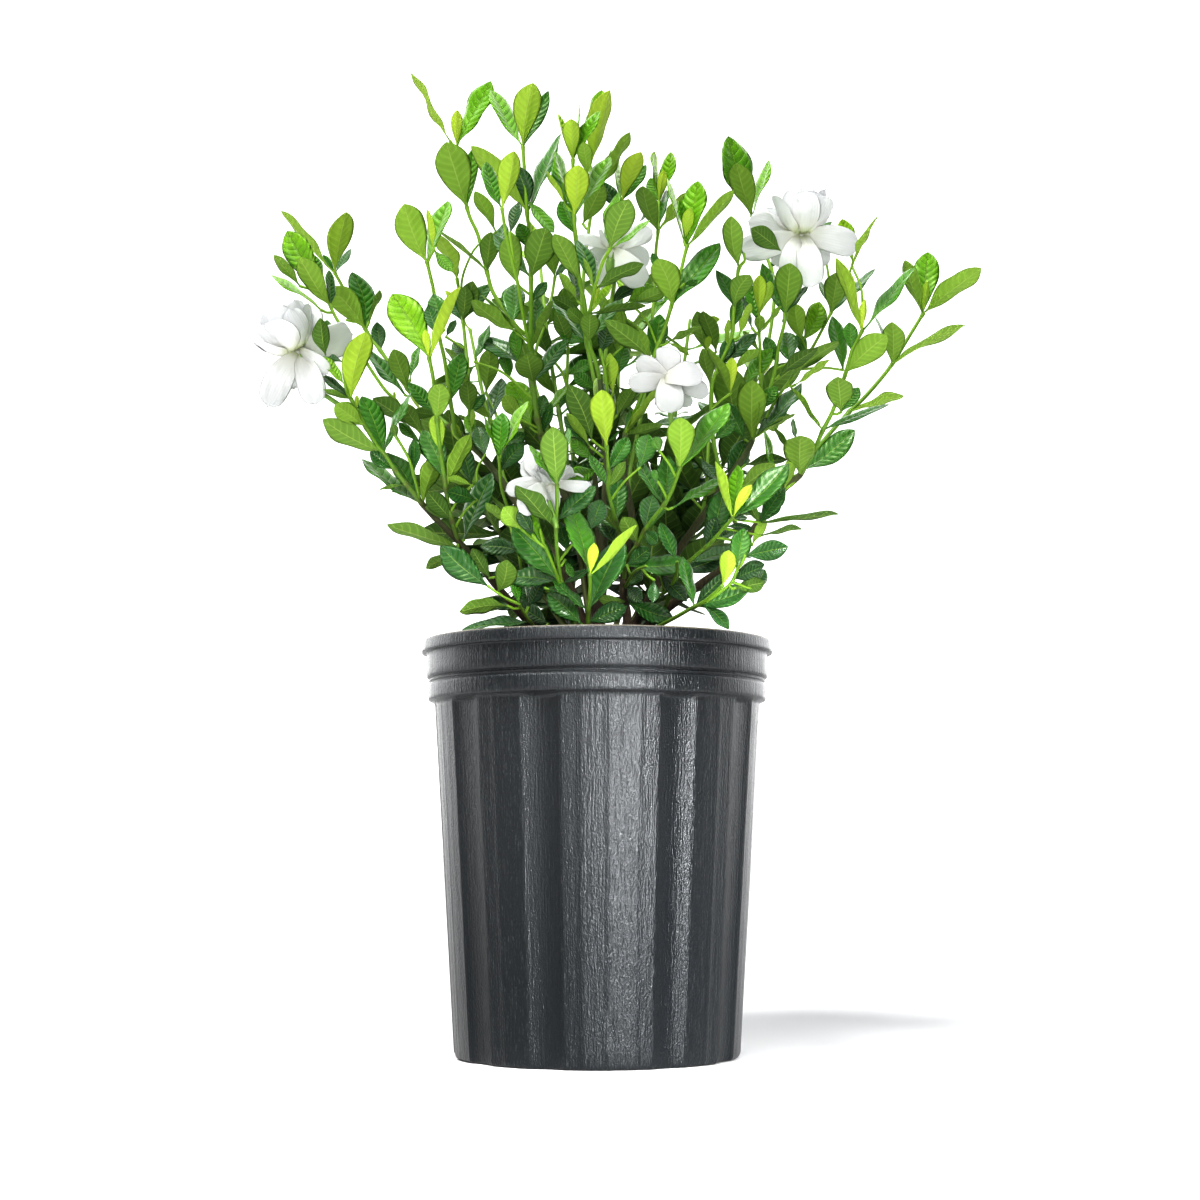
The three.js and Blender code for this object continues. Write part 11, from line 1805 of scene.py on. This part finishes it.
def make_chips():
    """Bark chips and perlite lying on the soil."""
    rng = random.Random(77)
    b = Builder()
    for k in range(1150):
        r = 110.0 * math.sqrt(rng.random()); t = rng.uniform(0, 2 * math.pi)
        x, y = r * math.cos(t), r * math.sin(t)
        perl = rng.random() < 0.085
        size = rng.uniform(1.2, 2.4) if perl else rng.uniform(1.6, 4.6) * (1.5 if rng.random() < 0.06 else 1.0)
        if r + size * 1.5 > 111: continue
        el = (1, 1, 0.8) if perl else (rng.uniform(0.7, 1.7), rng.uniform(0.5, 1.0), rng.uniform(0.25, 0.6))
        pts = []
        for _ in range(11):
            v = nrm([rng.gauss(0, 1), rng.gauss(0, 1), rng.gauss(0, 1)]) * rng.uniform(0.8, 1.0)
            pts.append(v * size * 0.5 * np.array(el) * 1.3)
        ax = nrm([rng.gauss(0, 0.5), rng.gauss(0, 0.5), 1]); ay = nrm(np.cross(ax, [math.cos(t * 7), math.sin(t * 7), 0.1])); aw = np.cross(ay, ax)
        z = soil_height(x, y) + size * 0.12 + rng.uniform(-0.3, 0.8)
        W = [np.array([x, y, z]) + p[0] * aw + p[1] * ay + p[2] * ax for p in pts]
        bm = bmesh.new()
        for w in W: bm.verts.new(w)
        bmesh.ops.convex_hull(bm, input=bm.verts)
        for v in [v for v in bm.verts if not v.link_faces]: bm.verts.remove(v)
        bm.verts.index_update()
        b.add([v.co[:] for v in bm.verts], [tuple(v.index for v in f.verts) for f in bm.faces], 0, rnd=rng.uniform(0.9, 1.0) if perl else rng.uniform(0, 0.85))
        bm.free()
    return b.make("soil_bark_chips", [M_CHIP], smooth=False)

chips = make_chips()
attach(chips, "root")

# ------------------------------------------------------------------ woody stems
def stem_pts(row):
    P = [np.array(row[i:i + 3], float) for i in range(2, len(row), 3)]
    return P, row[0], row[1]

def grow_stem(b, row, rng, sides=9, wood=False, knots=()):
    P, r0, r1 = stem_pts(row)
    pts = catmull(P, 3.2 if not wood else 3.0)
    n = len(pts); cum = np.concatenate([[0], np.cumsum([np.linalg.norm(pts[i + 1] - pts[i]) for i in range(n - 1)])])
    t = cum / max(1e-9, cum[-1])
    rad = r0 + (r1 - r0) * t
    ph = rng.uniform(0, 6.28)
    for i in range(n):
        swell = 0.0
        for kp in knots:
            d = np.linalg.norm(pts[i] - kp)
            if d < 5: swell = max(swell, 0.34 * math.exp(-(d / 2.1) ** 2))
        rad[i] *= 1 + swell + (0.05 * math.sin(cum[i] * 0.45 + ph) if wood else 0.02 * math.sin(cum[i] * 0.6 + ph))
    z = np.array([p[2] for p in pts])
    if wood: age = np.clip((470 - z) / 170, 0, 1)
    else: age = np.clip((rad - 0.7) / 1.7, 0, 1) * np.clip((590 - z) / 230, 0, 1)
    ringed = np.repeat(age, sides)
    k = len(ringed)
    pre = np.repeat(age[:1], 2 * sides)
    sweep(b, pts, rad, sides, 0, True, False, age=np.concatenate([pre, ringed]))

wb = Builder()
rng = random.Random(3)
for row in WOOD:
    grow_stem(wb, row, rng, 14, True)
# the crown where they join, half buried
cr = Builder()
def crown(b):
    NU, NV = 20, 28; V = []; F = []
    for i in range(1, NU):
        la = math.pi * i / NU
        for k in range(NV):
            lo = 2 * math.pi * k / NV
            r = 17 * (1 + 0.10 * math.sin(3 * lo + 1) + 0.06 * math.sin(5 * lo + 4 * la) + 0.03 * math.sin(11 * lo + 7 * la))
            V.append((2 + r * math.sin(la) * math.cos(lo), r * math.sin(la) * math.sin(lo), 248 + 0.80 * r * math.cos(la)))
    for i in range(NU - 2):
        for k in range(NV):
            l = (k + 1) % NV
            F.append((i * NV + k, (i + 1) * NV + k, (i + 1) * NV + l, i * NV + l))
    n = len(V); V += [(2, 0, 248 + 13.6), (2, 0, 248 - 13.6)]
    for k in range(NV):
        l = (k + 1) % NV
        F.append((n, k, l)); F.append((n + 1, (NU - 2) * NV + l, (NU - 2) * NV + k))
    b.add(V, F, 0, age=1.0, along=0.0)
crown(wb)
wood = wb.make("main_stems_bark", [M_BARK])
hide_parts("main_stems"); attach(wood, "root")

# ------------------------------------------------------------------ leafy shoots
for name, (stems, leaves) in SHOOTS.items():
    seed = sum(ord(c) * (i + 7) for i, c in enumerate(name))
    rng = random.Random(seed)
    sb = Builder(); knots = [np.array(l[0:3], float) for l in leaves]
    for row in stems:
        P, r0, r1 = stem_pts(row)
        lo = np.min(P, axis=0) - 6; hi = np.max(P, axis=0) + 6
        near = [k for k in knots if np.all(k > lo) and np.all(k < hi)]
        grow_stem(sb, row, rng, 8, False, near)
    st = sb.make(name + "_stem", [M_STEM])
    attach(st, "root")
    pieces = [st]
    if leaves:
        lb = Builder()
        for row in leaves: leaf(lb, row, rng)
        lo = lb.make(name + "_leaves", [M_TOP, M_UNDER])
        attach(lo, "root")
        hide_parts(name)
    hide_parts(name)

# ------------------------------------------------------------------ flowers
# a small leaf that stands before each outer flower
FRONT_LEAVES = {"flower_left": [-181.6,-62,466.6,-181.6,-62,466.6,-184.6,-72,490.1,-0.55,0.8,-0.1,13.5,0.9,0.6], "flower_right": [129.2,-4,555.5,129.2,-4,555.5,107.0,-22,566.6,-0.25,0.88,0.35,14.5,0.9,-0.6]}
CUP_SIZE = {"flower_left": 0.96, "flower_right": 0.95, "flower_top": 0.46, "flower_middle": 0.0, "flower_low": 0.46}
for name, (C, axis, stalk, petals) in FLOWERS.items():
    rng = random.Random(len(name) * 31 + ord(name[7]))
    C = np.array(C, float); axis = nrm(axis)
    b = Builder()
    e1 = nrm(np.cross(axis, [0.2, 0.9, 0.3])); e2 = np.cross(axis, e1)
    for p in petals:
        if p[10] != "o": continue
        foot, tip = np.array(p[0:3], float), np.array(p[3:6], float)
        petal(b, foot - nrm(tip - foot) * 4.5, tip, p[6:9], p[9] * 0.95, rng, False, rng.uniform(3, 14), rng.uniform(0.04, 0.10), rng.uniform(0.05, 0.16), rng.uniform(-0.3, 0.3))
    if CUP_SIZE[name] > 0: inner_cup(b, C, axis, e1, e2, CUP_SIZE[name], rng)
    if name in FRONT_LEAVES:
        fb = Builder(); leaf(fb, FRONT_LEAVES[name], random.Random(5))
        fo = fb.make(name + "_front_leaf", [M_TOP, M_UNDER]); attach(fo, "root")
    sweep(b, [C + axis * 0.5, C - axis * 3, C - axis * 7], [2.6, 2.5, 2.4], 12, 0, True, False, lu=0.16, inner=0.0)
    co = b.make(name + "_petals", [M_PETAL[name]])
    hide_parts(name + "_corolla"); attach(co, "root")
    cb = Builder()
    top = C - axis * 7.2; foot = C - axis * 19.0
    sweep(cb, [top, top - axis * 1.2, top - axis * 5, top - axis * 8.5, foot], [3.0, 3.5, 3.6, 2.9, 1.7], 12, 0, False, False)
    for k in range(6):   # calyx teeth
        t = k * math.pi / 3
        out = e1 * math.cos(t) + e2 * math.sin(t)
        sweep(cb, [top + out * 4.2 + axis * 4.0, top + out * 3.9 + axis * 2.0, top + out * 3.3 - axis * 0.5, top + out * 2.6 - axis * 5], [0.25, 0.6, 0.75, 0.7], 6, 0, True, False)
    if stalk:
        pts = catmull([foot + axis * 1.0] + [np.array(p, float) for p in stalk], 3.0)
        sweep(cb, pts, [1.6] * len(pts), 9, 0, False, False)
    ca = cb.make(name + "_calyx_and_stalk", [M_CALYX])
    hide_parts(name + "_calyx"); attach(ca, "root")

# ------------------------------------------------------------------ floor and light
def make_floor():
    bm = bmesh.new(); bmesh.ops.create_circle(bm, cap_ends=True, cap_tris=False, segments=96, radius=26.0)
    me = bpy.data.meshes.new("floor"); bm.to_mesh(me); bm.free()
    ob = bpy.data.objects.new("floor", me); ob.location = (0, 0, -0.0003)
    bpy.context.scene.collection.objects.link(ob)
    m, nt, bs = new_mat("floor_paper"); g = N(nt)
    n1 = g.noise(g.coord(), 40.0, 3.0)
    g.put(bs.inputs["Base Color"], g.mix(n1, (0.96, 0.96, 0.96, 1), (0.975, 0.975, 0.975, 1)))
    bs.inputs["Roughness"].default_value = 0.9
    me.materials.append(m)
make_floor()

world = bpy.data.worlds.new("studio"); bpy.context.scene.world = world; world.use_nodes = True
wn = world.node_tree; wg = N(wn)
bg = wn.nodes["Background"]
# a bright surround behind and above the plant, dimmer at its sides and in front of it
sep = wg.node("ShaderNodeSeparateXYZ"); wg.put(sep.inputs[0], wg.node("ShaderNodeTexCoord").outputs["Generated"])
mr = wg.node("ShaderNodeMapRange", interpolation_type="SMOOTHSTEP"); wg.put(mr.inputs[0], sep.outputs[1])
mr.inputs[1].default_value = 0.0; mr.inputs[2].default_value = 0.50
mz = wg.node("ShaderNodeMapRange", interpolation_type="SMOOTHSTEP"); wg.put(mz.inputs[0], sep.outputs[2])
mz.inputs[1].default_value = 0.42; mz.inputs[2].default_value = 0.85
back = wg.math("MAXIMUM", mr.outputs[0], mz.outputs[0])
lit = wg.mix(mz.outputs[0], (0.40, 0.40, 0.40, 1), (0.62, 0.63, 0.66, 1))          # what lights the plant
seen = wg.mix(mz.outputs[0], (3.1, 3.1, 3.1, 1), (2.6, 2.65, 2.75, 1))               # what shines in it
paths = wg.node("ShaderNodeLightPath")
soft = wg.mix(back, (0.06, 0.062, 0.065, 1), lit)
shiny = wg.mix(back, (0.075, 0.078, 0.082, 1), seen)
both = wg.mix(paths.outputs["Is Glossy Ray"], soft, shiny)
wg.put(bg.inputs[0], wg.mix(paths.outputs["Is Camera Ray"], both, (1.4, 1.4, 1.4, 1)))
bg.inputs[1].default_value = 1.30

def area(name, loc, target, size, power, colour=(1, 1, 1)):
    L = bpy.data.lights.new(name, "AREA"); L.shape = "RECTANGLE"; L.size, L.size_y = size; L.energy = power; L.color = colour
    o = bpy.data.objects.new(name, L); o.location = loc
    o.rotation_euler = (Vector(target) - Vector(loc)).to_track_quat("-Z", "Y").to_euler()
    bpy.context.scene.collection.objects.link(o)
    return L
area("front", (0.36, -0.93, 0.225), (0, 0, -0.10), (0.10, 0.43), 2.7).spread = math.radians(50)
area("fill", (-0.42, -1.68, 0.52), (0, 0, 0.44), (0.34, 1.0), 8.5)
area("overhead", (-0.55, -1.35, 1.75), (0, 0, 0.42), (1.5, 0.9), 13, (1.0, 0.99, 0.97))
sun = bpy.data.lights.new("key", "SUN"); sun.energy = 2.8; sun.angle = math.radians(16); sun.color = (1.0, 0.985, 0.96)
so = bpy.data.objects.new("key", sun); so.location = (-0.9, -1.7, 2.3)
so.rotation_euler = (Vector((0, 0, 0.3)) - Vector((-0.75, -1.0, 2.6))).to_track_quat("-Z", "Y").to_euler()
bpy.context.scene.collection.objects.link(so)
bpy.context.scene.view_settings.view_transform = "Standard"
bpy.context.scene.view_settings.gamma = 0.74
bpy.context.scene.view_settings.exposure = -0.24
